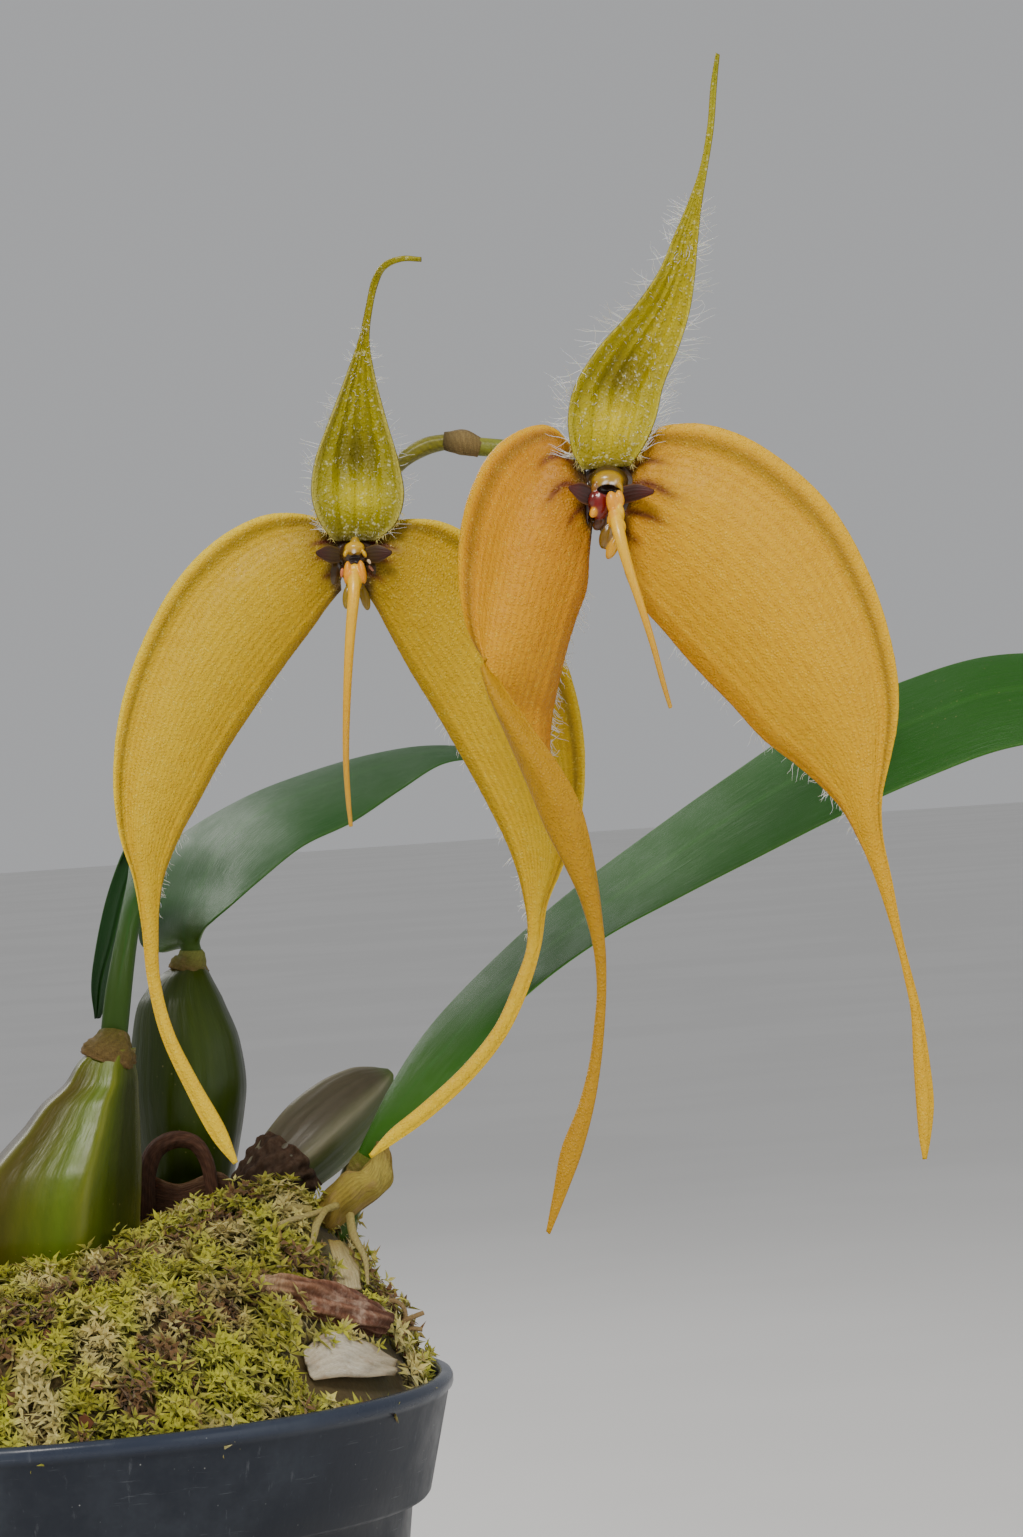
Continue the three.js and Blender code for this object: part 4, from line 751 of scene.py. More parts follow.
RIGHT_FLOWER_LEFT_ROWS = [
    [[-3.2, 1.6, 6.8], [-2.9, -0.5, 2.2], [-2.6, 0, -2.6]],
    [[-8.2, 4, 12.5], [-6.2, -1.5, 3.1], [-3.4, 1, -7.2]],
    [[-14.4, 6, 10.5], [-10.1, -2.5, -0.9], [-4.2, 1.5, -12.4]],
    [[-19.1, 6.5, 4.3], [-13.2, -3.5, -7], [-6, 2, -16.5]],
    [[-21.7, 5, -4.7], [-15.5, -4.5, -14.3], [-7.9, 2.5, -21.5]],
    [[-21.6, 0, -14.6], [-17.8, -5, -21.2], [-9.6, 3, -27.1]],
    [[-18.5, -6, -24], [-18.9, -4.5, -27.7], [-10.7, 3.5, -31.3]],
    [[-13.8, -8.5, -32.8], [-17.2, -5, -34.2], [-11.3, 3, -35.8]],
    [[-9.8, -9, -39.5], [-14.7, -6, -41.2], [-11.2, 1, -41.6]],
    [[-7.4, -8.5, -44.6], [-12.3, -7, -47.7], [-10.5, -2, -47.6]],
    [[-6.1, -7.5, -50.7], [-9.6, -7.5, -53.2], [-9.8, -4.5, -53]],
    [[-5.4, -6.5, -57.5], [-7.2, -7, -59.2], [-8.3, -5.5, -58.8]],
    [[-5.2, -6, -65], [-6, -6.5, -65.7], [-7, -6, -65.3]],
    [[-5.5, -6, -71.7], [-6.1, -6.4, -72.1], [-6.8, -6, -72.1]],
    [[-6.2, -6.5, -77.6], [-6.8, -7, -77.7], [-7.6, -6.5, -77.7]],
    [[-7.2, -7, -83.5], [-7.8, -7.6, -83.3], [-8.7, -7, -83.1]],
    [[-8.7, -8, -90.1], [-9.6, -8.7, -89.7], [-10.8, -8, -89.3]],
    [[-10.8, -9, -96.6], [-12.2, -9.7, -96], [-13.8, -9, -95.5]],
    [[-13.7, -10, -102.4], [-14.4, -10.4, -102], [-15.4, -10, -101.6]],
    [[-16.5, -11, -107.8], [-16.7, -11.1, -107.6], [-16.9, -11, -107.4]],
]
RIGHT_FLOWER_RIGHT_ROWS = [
    [[2.8, 1.6, 5.5], [2.1, 0.2, 0], [1.5, 0, -5.5]],
    [[7.3, 1, 10.5], [4.6, -0.8, -0.2], [1.9, 1, -10.6]],
    [[13.1, 1, 11], [8.4, -1.5, -2.2], [3.9, 2, -15.1]],
    [[20, 0, 8.8], [13.5, -2.5, -5.5], [7.3, 2.5, -19.6]],
    [[26.9, -1, 3.8], [19, -3.5, -10.8], [11.4, 2.5, -25.1]],
    [[33.1, -2, -3.4], [24.5, -4.4, -17.3], [16.3, 2, -30.9]],
    [[37.7, -3, -13.6], [29.2, -5, -25.3], [21.1, 1.5, -36.9]],
    [[40.1, -4, -24], [32.7, -5.1, -32.5], [25.7, 1, -41]],
    [[40.4, -4, -32.3], [34.6, -4.8, -38.4], [29.1, 0, -44.5]],
    [[38.8, -4, -39.9], [35.2, -4.5, -44], [31.8, -1, -48]],
    [[37.2, -4, -46.3], [35.4, -4.2, -49.2], [33.7, -2, -52.1]],
    [[37.1, -3.5, -51.8], [36.1, -3.7, -53.8], [35.1, -2.5, -55.8]],
    [[38.2, -3.5, -59.4], [37.5, -3.7, -60.7], [36.9, -3, -61.9]],
    [[39.3, -4, -68.9], [39, -4.3, -69.4], [38.7, -4, -70]],
    [[40.2, -4.5, -73.5], [39.7, -4.7, -73.7], [39.2, -4.5, -73.9]],
    [[41.1, -5, -78.8], [40.4, -5.3, -78.7], [39.8, -5, -78.7]],
    [[41.7, -6, -86.3], [40.6, -6.5, -86.2], [39.6, -6, -86.1]],
    [[41.8, -7, -92.9], [40.6, -7.5, -92.8], [39.5, -7, -92.8]],
    [[40.9, -8, -98], [40.2, -8.3, -98], [39.5, -8, -97.9]],
    [[40.2, -8.5, -100.8], [40, -8.6, -100.8], [39.9, -8.5, -100.8]],
]
print("rows of points:", len(LEFT_FLOWER_LEFT_ROWS), len(RIGHT_FLOWER_RIGHT_ROWS))

# %% Make the four lateral sepals
SEPAL_ALONG = 200
SEPAL_ACROSS = 70


def lateral_sepal(name, rows, place, front, colours, marks, material, slot):
    piece = blade(
        name + "_blade", rows, SEPAL_ALONG, SEPAL_ACROSS, SEPAL_THICKNESS, rim_and_groove,
        lateral_paint(**colours, streaks=marks), front, place, relief=sepal_veins, warp=0.25,
    )
    return hand_over(piece, material, slot, name)


lateral_sepal("left_flower_left_sepal", LEFT_FLOWER_LEFT_ROWS, LEFT_PLACE, 1, GOLD_PAINT, LEFT_MARKS,
              gold_sepal_skin, "sepal_gold")
lateral_sepal("left_flower_right_sepal", LEFT_FLOWER_RIGHT_ROWS, LEFT_PLACE, -1, GOLD_PAINT, LEFT_MARKS,
              gold_sepal_skin, "sepal_gold")
lateral_sepal("right_flower_left_sepal", RIGHT_FLOWER_LEFT_ROWS, RIGHT_PLACE, 1, DEEP_ORANGE_PAINT,
              LEFT_OF_RIGHT_MARKS, orange_sepal_skin, "sepal_orange")
lateral_sepal("right_flower_right_sepal", RIGHT_FLOWER_RIGHT_ROWS, RIGHT_PLACE, -1, ORANGE_PAINT,
              RIGHT_MARKS, orange_sepal_skin, "sepal_orange")

# %% [markdown]
# ## The hooded dorsal sepals
#
# The third sepal of each flower stands up behind the column and ends in a thin whip. Five ribs run up it, and
# near its foot it swells like a ball before the neck pinches in. The ribs repeat the solid model's, while the
# swelling, the dip above it and the glassy grains along each rib are added here. The paint adds light and
# shade to this form: the yellow swelling carries a painted highlight, the dip above it painted shade, and the
# foot a painted shadow next to the column.

# %% The dorsal sepals
LEFT_DORSAL_ROWS = [
    [[-2.7, -1, 3.1], [0.5, 0.2, 2.9], [3.8, -1, 2.7]],
    [[-4.7, -2, 6.1], [1.1, 0.4, 5.7], [7.1, -2, 5]],
    [[-5.7, -2, 10.2], [1.5, 1.2, 9.7], [8.7, -2, 8.9]],
    [[-4.9, -1, 15.5], [1.6, 2, 15], [8.3, -1, 14.2]],
    [[-2.5, 0, 21.2], [2.1, 2.2, 21.1], [6.9, 0, 20.6]],
    [[0.6, 0, 27.8], [3, 1.2, 27.8], [5.5, 0, 27.5]],
    [[3.4, -0.5, 34.1], [4.1, 0, 33.9], [4.9, -0.5, 33.7]],
    [[4.8, -1, 38.6], [5.2, -0.7, 38.6], [5.7, -1, 38.5]],
    [[6, -2, 42.7], [6.5, -1.8, 42.5], [6.9, -2, 42.2]],
    [[7.8, -4, 45], [8, -3.9, 44.6], [8.3, -4, 44.1]],
    [[10.9, -6, 45.7], [10.9, -5.9, 45.3], [10.9, -6, 44.9]],
    [[13.8, -7, 45.2], [13.8, -6.9, 44.9], [13.8, -7, 44.6]],
]
RIGHT_DORSAL_ROWS = [
    [[-3.5, -1, 5.5], [0.1, -0.2, 5.6], [3.6, -1, 5.6]],
    [[-4.9, -2, 8.3], [0.5, 0, 8.4], [5.9, -2, 8.3]],
    [[-5.3, -2.5, 13.1], [1.4, 1, 12.8], [8, -1, 12.2]],
    [[-4.1, -2.5, 17.8], [2.8, 1.7, 17.8], [9.6, -0.5, 17.3]],
    [[-0.3, -2, 23.3], [6.1, 2, 23.3], [12.3, 0, 22.9]],
    [[5.6, -1.5, 29.1], [10, 1.7, 28.9], [14.3, 0, 28.3]],
    [[9.9, -1.5, 34.4], [12.7, 0.4, 34], [15.4, -0.5, 33.5]],
    [[12.6, -1.5, 39.6], [14.4, -0.5, 39.3], [16.2, -1, 38.8]],
    [[15.4, -2, 45.1], [16.3, -1.6, 44.9], [17.2, -2, 44.6]],
    [[17.2, -2.5, 49.4], [17.7, -2.3, 49.2], [18.2, -2.5, 48.9]],
    [[18.8, -3, 55.7], [19.2, -2.8, 55.5], [19.6, -3, 55.3]],
    [[19.7, -3, 61.6], [20.1, -2.8, 61.6], [20.5, -3, 61.6]],
    [[20.7, -4.5, 66.2], [20.9, -4.4, 66], [21.1, -4.5, 65.8]],
]


# The dorsal foot tone is a painted shadow in the cavity next to the column.
DORSAL_ALONG, DORSAL_ACROSS, DORSAL_FOOT_PAINTED_SHADOW = 160, 54, "30260a"


def rib_lift(u, v, width):
    return width * 0.018 * np.cos(10 * np.pi * v) * smoothstep(0, 0.1, u)


def dorsal_relief(ball):
    def relief(u, v, width):
        narrow = np.clip(width / 8, 0.1, 1)
        swell = 0.07 * width * bump(u, ball, 0.07) * bump(v, 0.5, 0.28)
        dip = -0.045 * width * bump(u, ball + 0.13, 0.06) * bump(v, 0.5, 0.25)
        fine = 0.05 * np.cos(2 * np.pi * 15 * v + 2 * np.sin(12 * u)) * narrow
        return swell + dip + fine + rng.normal(0, 0.03, v.shape) * narrow
    return relief


def dorsal_paint(body, ball, ball_colour_and_highlight, dip_painted_shade, rib_tone, edge_tone, back):
    def paint(u, v, side, wide):
        rib = 0.5 + 0.5 * np.cos(10 * np.pi * v)
        edge = smoothstep(0.12, 0.02, np.minimum(v, 1 - v)) * smoothstep(1.5, 5, wide)
        colour = layered(
            shades(body, u),
            (rib_tone, 0.4 * rib * smoothstep(0.12, 0.3, u)),
            # Painted shade in the dip above the swelling.
            (dip_painted_shade, 0.75 * bump(u, ball + 0.12, 0.07) * bump(v, 0.5, 0.3)),
            # The swelling's own yellow, with a painted highlight where it bulges towards the light.
            (ball_colour_and_highlight, 0.85 * bump(u, ball, 0.06) * bump(v, 0.52, 0.3)),
            (edge_tone, 0.55 * edge),
            # Painted shadow at the foot, next to the column.
            (DORSAL_FOOT_PAINTED_SHADOW, 0.6 * smoothstep(0.05, 0.0, u)),
        )
        return blend_colours(tone(back), colour, side)
    return paint


def dorsal_sepal(name, rows, place, ball, colours):
    piece = blade(
        name + "_blade", rows, DORSAL_ALONG, DORSAL_ACROSS, SEPAL_THICKNESS, rib_lift,
        dorsal_paint(ball=ball, **colours), -1, place, relief=dorsal_relief(ball), warp=0.2,
    )
    return hand_over(piece, olive_sepal_skin, "sepal_olive", name)


dorsal_sepal("left_flower_dorsal_sepal", LEFT_DORSAL_ROWS, LEFT_PLACE, 0.17, dict(
    body=[(0, "6e6400"), (0.2, "8c8400"), (0.4, "8a8200"), (0.6, "867c04"), (1, "8c8614")],
    ball_colour_and_highlight="c8ba00", dip_painted_shade="4a4200", rib_tone="b8ac18", edge_tone="c8be60", back="6f6400"))
dorsal_sepal("right_flower_dorsal_sepal", RIGHT_DORSAL_ROWS, RIGHT_PLACE, 0.15, dict(
    body=[(0, "907e00"), (0.2, "a89a00"), (0.4, "aa9a00"), (0.6, "a09404"), (1, "8c9018")],
    ball_colour_and_highlight="d2bc00", dip_painted_shade="584c00", rib_tone="c4b418", edge_tone="c8bc3c", back="857800"))

# %% [markdown]
# ## Petals
#
# The two petals are tiny in this flower: dark flaps beside the column, with a paler edge.
# They are blades like the sepals, and the stripes and the edge are paint.

# %% The four petals
LEFT_PETAL_ROWS = [
    [
      [[-2, -1.9, 1.9], [-2, -2, 0.8], [-2, -1.9, -0.3]],
      [[-3.5, -2.8, 2.4], [-3.5, -3, 1], [-3.5, -2.8, -0.3]],
      [[-5.4, -4, 1.6], [-5.4, -4.1, 1.3], [-5.4, -4, 1]],
    ],
    [
      [[2.2, -1.9, 1.7], [2.2, -2, 0.6], [2.2, -1.9, -0.5]],
      [[4, -2.8, 2], [3.9, -3, 0.6], [3.8, -2.8, -0.8]],
      [[6.2, -4, 0.8], [6.1, -4.1, 0.5], [6, -4, 0.2]],
    ],
]
RIGHT_PETAL_ROWS = [
    [
      [[-2.3, -2.4, 2.6], [-2.3, -2.5, 1.3], [-2.3, -2.4, -0.1]],
      [[-3.8, -3.3, 3.5], [-4, -3.5, 2], [-4.1, -3.3, 0.5]],
      [[-5.8, -4.4, 3.1], [-5.8, -4.5, 2.8], [-5.8, -4.4, 2.5]],
    ],
    [
      [[2.4, -2.4, 2.6], [2.4, -2.5, 1.3], [2.4, -2.4, -0.1]],
      [[4.6, -3.4, 2.7], [4.5, -3.6, 1.5], [4.4, -3.4, 0.3]],
      [[6.9, -4.6, 1.6], [6.8, -4.7, 1.3], [6.7, -4.6, 1]],
    ],
]
PETAL_THICKNESS, PETAL_STRIPES, PETAL_STRIPE_TONE = 0.6, 5, "2a0c05"


def petal_stripes(v):
    return np.cos(2 * np.pi * PETAL_STRIPES * v)


def petal_paint(base_tone, tip_tone, edge_tone):
    def paint(u, v, side, wide):
        return layered(
            tone(base_tone),
            (tip_tone, smoothstep(0.3, 0.95, u)),
            (PETAL_STRIPE_TONE, 0.4 * (0.5 + 0.5 * petal_stripes(v))),
            (edge_tone, 0.6 * smoothstep(0.1, 0.0, np.minimum(v, 1 - v))),
        )
    return paint


def petal(name, rows, place, front, paint):
    piece = blade(name + "_blade", rows, 60, 26, PETAL_THICKNESS, None, paint, front, place,
                  relief=lambda u, v, width: 0.03 * petal_stripes(v), thin=0.3)
    return hand_over(piece, petal_flesh, "petal_maroon", name)


for side, rows, front in (("left", LEFT_PETAL_ROWS[0], 1), ("right", LEFT_PETAL_ROWS[1], -1)):
    petal(f"left_flower_{side}_petal", rows, LEFT_PLACE, front, petal_paint("3c2a04", "3e1404", "6e5010"))
for side, rows, front in (("left", RIGHT_PETAL_ROWS[0], 1), ("right", RIGHT_PETAL_ROWS[1], -1)):
    petal(f"right_flower_{side}_petal", rows, RIGHT_PLACE, front, petal_paint("341004", "521204", "7c4c10"))

# %% [markdown]
# ## Columns and lips
#
# The middle of the flower is a lump of waxy flesh: a hooded column with a dark mouth, a foot
# that runs down from it, and a lip whose two glossy lobes end in a long tongue. Such a form
# has no seams, so it's built as a heap of overlapping lumps. A voxel Remesh melts them into
# one skin and a Smooth rounds the creases. Every point then takes its paint from the lump it
# lies nearest to. Metaballs would also melt together, but their sizes drift as they do.

# %% A heap of lumps melted into one skin
def lump_mesh(whole, centre, radii, lean):
    made = bmesh.ops.create_uvsphere(whole, u_segments=32, v_segments=20, radius=1)
    turn = Matrix.Rotation(math.radians(lean), 4, "Y")
    shape = Matrix.Translation(centre) @ turn @ Matrix.Diagonal((*radii, 1))
    bmesh.ops.transform(whole, matrix=shape, verts=made["verts"])


def heap(name, lumps):
    whole = bmesh.new()
    for centre, radii, lean, code in lumps:
        lump_mesh(whole, centre, radii, lean)
    mesh = bpy.data.meshes.new(name)
    whole.to_mesh(mesh)
    whole.free()
    return placed(name, mesh)


def plain_mesh(source):
    """The mesh of an object once its modifiers have run. The object itself goes."""
    graph = bpy.context.evaluated_depsgraph_get()
    mesh = bpy.data.meshes.new_from_object(source.evaluated_get(graph), depsgraph=graph)
    bpy.data.objects.remove(source)
    return mesh


def distance_to_lump(points, centre, radii, lean):
    away = points - np.array(centre)
    angle = math.radians(lean)
    x = away[:, 0] * math.cos(angle) - away[:, 2] * math.sin(angle)
    z = away[:, 0] * math.sin(angle) + away[:, 2] * math.cos(angle)
    scaled = np.stack([x, away[:, 1], z], axis=1) / np.array(radii)
    reach = np.linalg.norm(scaled, axis=1)
    return (reach - 1) * np.linalg.norm(away, axis=1) / np.maximum(reach, 1e-6)


VOXEL_SIZE, SMOOTH_ROUNDS, COLOUR_SPREAD = 0.15, 4, 0.22


def melted(name, lumps, hollows, place, tongue=None):
    solid = heap(name, lumps)
    if tongue is not None:
        path, radii = tongue
        stem = stalk(name + "_tongue", path, radii, 24, 140)
        stem.data.transform(Matrix.Scale(1 / MM, 4))
        solid = merge(name, [solid, stem])
    melt = solid.modifiers.new("remesh", "REMESH")
    melt.mode = "VOXEL"
    melt.voxel_size = VOXEL_SIZE
    solid.modifiers.new("smooth", "SMOOTH").iterations = SMOOTH_ROUNDS
    if hollows:
        drill = heap(name + "_hollow", hollows)
        cut = solid.modifiers.new("mouth", "BOOLEAN")
        cut.object = drill
        cut.operation = "DIFFERENCE"
        solid.modifiers.new("soften", "SMOOTH").iterations = 2
    mesh = plain_mesh(solid)
    if hollows:
        bpy.data.objects.remove(drill)
    corners = points_of(mesh)
    colours = np.zeros((len(corners), 3))
    total = np.zeros(len(corners))
    for centre, radii, lean, code in lumps:
        away = np.maximum(distance_to_lump(corners, centre, radii, lean), -0.05)
        weight = np.exp(-away / COLOUR_SPREAD) ** 3 + 1e-9
        colours += weight[:, None] * tone(code)
        total += weight
    colours /= total[:, None]
    # Each hollow's skin takes its near-black tone: the mouth's own dark maroon, deepened with painted shade.
    for centre, radii, lean, code in hollows:
        mouth_maroon_and_shade = smoothstep(0.18, 0.0, np.abs(distance_to_lump(corners, centre, radii, lean)))
        colours = layered(colours, (code, 0.95 * mouth_maroon_and_shade))
    if tongue is not None:
        top, tip, height = path[1][2], path[-1][2], corners[:, 2]
        reach = smoothstep(0, 1, (top - height) / (top - tip))
        stem_tone = shades([(0, "eeb91c"), (0.5, "e0a818"), (1, "cf9c1a")], reach)
        colours = blend_colours(colours, stem_tone, smoothstep(top + 1.6, top - 0.6, height))
    paint_points(mesh, colours)
    mesh.transform(Matrix.Translation(Vector(place) * MM) @ Matrix.Scale(MM, 4))
    mesh.shade_smooth()
    return placed(name, mesh)


LIP_RADII = [1.1, 0.95, 0.78, 0.62, 0.5, 0.42, 0.32]
LEFT_LIP_LINE = [
    [0.1, -4.3, -2.2], [0, -6, -5.1], [-1.1, -7, -12.5], [-2.2, -7, -21.6],
    [-3, -6, -30.7], [-3.1, -5.5, -36.9], [-3, -5, -41],
]
RIGHT_LIP_LINE = [
    [0.8, -4.8, -1.4], [1.2, -7, -4.9], [2.1, -8, -9.5], [3.6, -8.5, -15.6],
    [5, -8.5, -21.6], [6.2, -8, -27.7], [7, -7.5, -31.2],
]
tongue_lengths = [round(line[0][2] - line[-1][2]) for line in (LEFT_LIP_LINE, RIGHT_LIP_LINE)]
print("the tongues are", tongue_lengths, "mm long")

# %% [markdown]
# The left flower's column looks straight at the camera. Its hood is yellow with two small teeth, the mouth
# below it is painted nearly black, its own dark maroon deepened with painted shade, and behind it a brown cup
# joins the bases of all the sepals. The column foot ends in two olive lobes behind the tongue.

# %% The left flower's middle
left_column = melted("left_flower_column_flesh", [
    ((0.2, 0.9, 0.6), (4.3, 1.2, 3.4), 0, "3a2408"),
    ((0.2, 1.5, 0.8), (2.6, 1.9, 2.4), 0, "5c4c14"),
    ((0.3, -0.5, 0.9), (2.2, 1.7, 1.9), 0, "4a3008"),
    ((0.45, -1.9, 1.75), (1.6, 1.4, 1.05), 0, "d0a41c"),
    ((0.6, -1.5, 2.7), (0.75, 1.1, 0.85), 0, "a8861a"),
    ((-1.0, -2.7, 0.95), (0.35, 0.5, 0.6), 15, "dcae20"),
    ((1.95, -2.7, 0.7), (0.35, 0.5, 0.65), -20, "dcae20"),
    ((2.55, -2.6, -0.5), (0.3, 0.35, 0.5), -30, "e6c8a0"),
    ((0.35, -3.0, 1.15), (0.24, 0.3, 0.5), 0, "f6f2ec"),
    ((-2.9, 0.3, -1.6), (1.3, 1.0, 2.6), 12, "4e360a"),
    ((3.2, 0.3, -1.6), (1.2, 1.0, 2.6), -12, "4e360a"),
    ((0.1, -0.5, -1.8), (2.0, 1.2, 2.0), 0, "3c2006"),
    ((-1.75, -1.7, -1.9), (0.32, 0.4, 0.85), 10, "d07a50"),
    ((2.75, -1.4, -1.5), (0.25, 0.3, 0.7), -35, "cf8f6e"),
    ((0.1, -0.8, -4.2), (1.5, 1.1, 1.8), 0, "7c6210"),
    ((-1.25, -1.1, -5.7), (0.72, 0.8, 1.85), 8, "93780f"),
    ((1.5, -1.1, -6.0), (0.75, 0.8, 2.0), -10, "93780f"),
], [((0.4, -3.1, -0.05), (1.45, 1.5, 0.85), 0, "1c0603")], LEFT_PLACE)
hand_over(left_column, column_flesh, "column_maroon", "left_flower_column")

left_lip = melted("left_flower_lip_flesh", [
    ((-0.85, -4.3, -2.1), (0.62, 1.0, 1.85), 6, "ee9d10"),
    ((1.45, -4.3, -2.1), (0.62, 1.0, 1.85), -6, "ee9d10"),
    ((0.3, -4.2, -2.2), (0.95, 0.8, 1.5), 0, "f2bd18"),
    ((0.2, -4.9, -3.9), (1.05, 0.8, 1.3), 0, "f2bd18"),
], [], LEFT_PLACE, (LEFT_LIP_LINE, LIP_RADII))
hand_over(left_lip, lip_flesh, "lip_yellow", "left_flower_lip")

# %% [markdown]
# The right flower is turned a little, so its column shows one glossy maroon cheek with a
# yellow spot, and the callus of the lip lies to its right. The mentum, the pouch below the
# column foot, hangs down as one yellow lobe.

# %% The right flower's middle
right_column = melted("right_flower_column_flesh", [
    ((0.2, 0.4, 1.8), (4.5, 1.4, 5.0), 0, "3a2408"),
    ((0.3, 1.4, 1.2), (2.6, 1.9, 2.6), 0, "5c4c14"),
    ((0.2, -0.6, 3.4), (2.9, 1.8, 2.6), 0, "4a360c"),
    ((0.1, -1.7, 3.5), (2.35, 1.6, 1.6), 0, "b08a14"),
    ((1.9, -2.3, 2.4), (0.5, 0.8, 1.3), -12, "b89016"),
    ((-1.9, -2.3, 2.6), (0.6, 0.9, 1.2), 18, "8a5a10"),
    ((-0.3, -3.1, 3.25), (0.22, 0.3, 0.5), 60, "f4ece6"),
    ((0.7, -3.1, 3.05), (0.2, 0.3, 0.45), 110, "f4ece6"),
    ((1.2, -3.0, 3.15), (0.18, 0.25, 0.4), 20, "f0cfa0"),
    ((-1.3, -2.2, 0.3), (1.6, 1.7, 2.5), 8, "7c1208"),
    ((-2.35, -2.9, 0.9), (0.7, 0.9, 1.2), 15, "6a1810"),
    ((-2.3, -3.1, -1.0), (0.62, 0.7, 0.95), 30, "f2a81a"),
    ((-3.1, -0.9, 0.6), (0.5, 1.0, 3.4), 4, "2c1206"),
    ((-1.6, -1.7, -2.6), (0.9, 0.9, 1.3), 35, "4e2a08"),
    ((0.3, -0.6, -2.6), (1.7, 1.2, 2.2), 0, "5c3a08"),
    ((-0.6, -1.2, -4.6), (1.1, 1.0, 2.1), 20, "7c5c10"),
    ((0.2, -1.5, -6.4), (0.85, 0.9, 2.0), 28, "d9a018"),
    ((1.6, -1.4, -5.0), (0.8, 0.8, 2.3), -12, "6e5210"),
], [((0.15, -3.4, 2.15), (1.75, 1.5, 0.75), 8, "140403")], RIGHT_PLACE)
hand_over(right_column, column_flesh, "column_maroon", "right_flower_column")

right_lip = melted("right_flower_lip_flesh", [
    ((0.55, -4.6, 0.0), (0.95, 1.0, 1.9), -6, "eda014"),
    ((1.75, -4.5, 0.75), (0.6, 0.8, 1.25), -10, "f0a818"),
    ((1.5, -4.9, -1.6), (0.75, 0.8, 1.5), 0, "f6c01c"),
    ((0.55, -5.0, -2.4), (1.0, 0.9, 1.3), 20, "eeaa16"),
    ((1.25, -6.0, -3.6), (1.05, 0.9, 1.3), 0, "f6c01c"),
], [], RIGHT_PLACE, (RIGHT_LIP_LINE, LIP_RADII))
hand_over(right_lip, lip_flesh, "lip_yellow", "right_flower_lip")

# %% [markdown]
# ## Leaves
#
# Each leaf stands on one pseudobulb: a stiff channelled stalk that widens into a long strap with a sunken
# midrib. The stalk is thick and the blade thin, so the thickness falls along its first third. A groove down
# the middle of the front face makes the leaf catch the light in two planes, which is what sells a strap leaf.

# %% The three leaves
LEAF_LEFT_ROWS = [
    [[11.3, -9, 158], [13.5, -9, 157.8], [15.7, -9, 157.6]],
    [[13.2, -8, 167.4], [15.2, -9, 167.4], [17, -8, 167.2]],
    [[15.6, -4, 177.8], [17.3, -5, 177.7], [18.9, -4, 177.6]],
    [[16.9, 2, 184.2], [19.2, 0, 185.4], [21.3, -2, 185.3]],
    [[16.9, 12, 189.7], [20.6, 9, 190.8], [24.1, 5, 190.3]],
    [[15.1, 22, 189], [19.2, 19, 190.8], [23.1, 14, 188.9]],
    [[11.2, 30, 181.8], [14.6, 27, 182.5], [17.8, 22, 181.5]],
    [[8.1, 36, 172.9], [11.5, 33, 173.9], [14.6, 28, 173.5]],
    [[6.3, 41, 165.3], [8.4, 39, 166.3], [11.2, 35, 166.6]],
    [[6.4, 44, 160], [6.9, 43.5, 160], [7.5, 43, 160.1]],
]
LEAF_BACK_ROWS = [
    [[23.1, 27, 169.2], [24.9, 27, 169.1], [26.8, 27, 169]],
    [[23.4, 27, 171.4], [25, 26.4, 171.4], [26.5, 27, 171.4]],
    [[19.3, 31, 171], [24.5, 27, 174.6], [27.5, 22, 174.4]],
    [[15.8, 36, 172.6], [25.6, 27.5, 178.3], [29.6, 18, 176.2]],
    [[16.4, 40, 179.9], [27.7, 28, 182], [33, 16, 178.6]],
    [[21.1, 43, 188.6], [31.3, 29, 187.8], [37.7, 15.5, 182.1]],
    [[34.1, 45, 196], [39, 31, 193.7], [45.6, 17, 187.6]],
    [[46.5, 47, 200], [49.4, 33, 197.3], [54.1, 20, 191.1]],
    [[58, 47, 202.4], [59.9, 36, 200], [62.4, 25, 195.9]],
    [[67.7, 46, 203.1], [69.5, 39, 201.7], [69.9, 31, 199.8]],
    [[76.4, 45, 201.8], [76.7, 41, 200.9], [76.3, 37, 200]],
    [[82.2, 44, 198.8], [82.2, 43, 198.4], [81.9, 42, 198.1]],
]
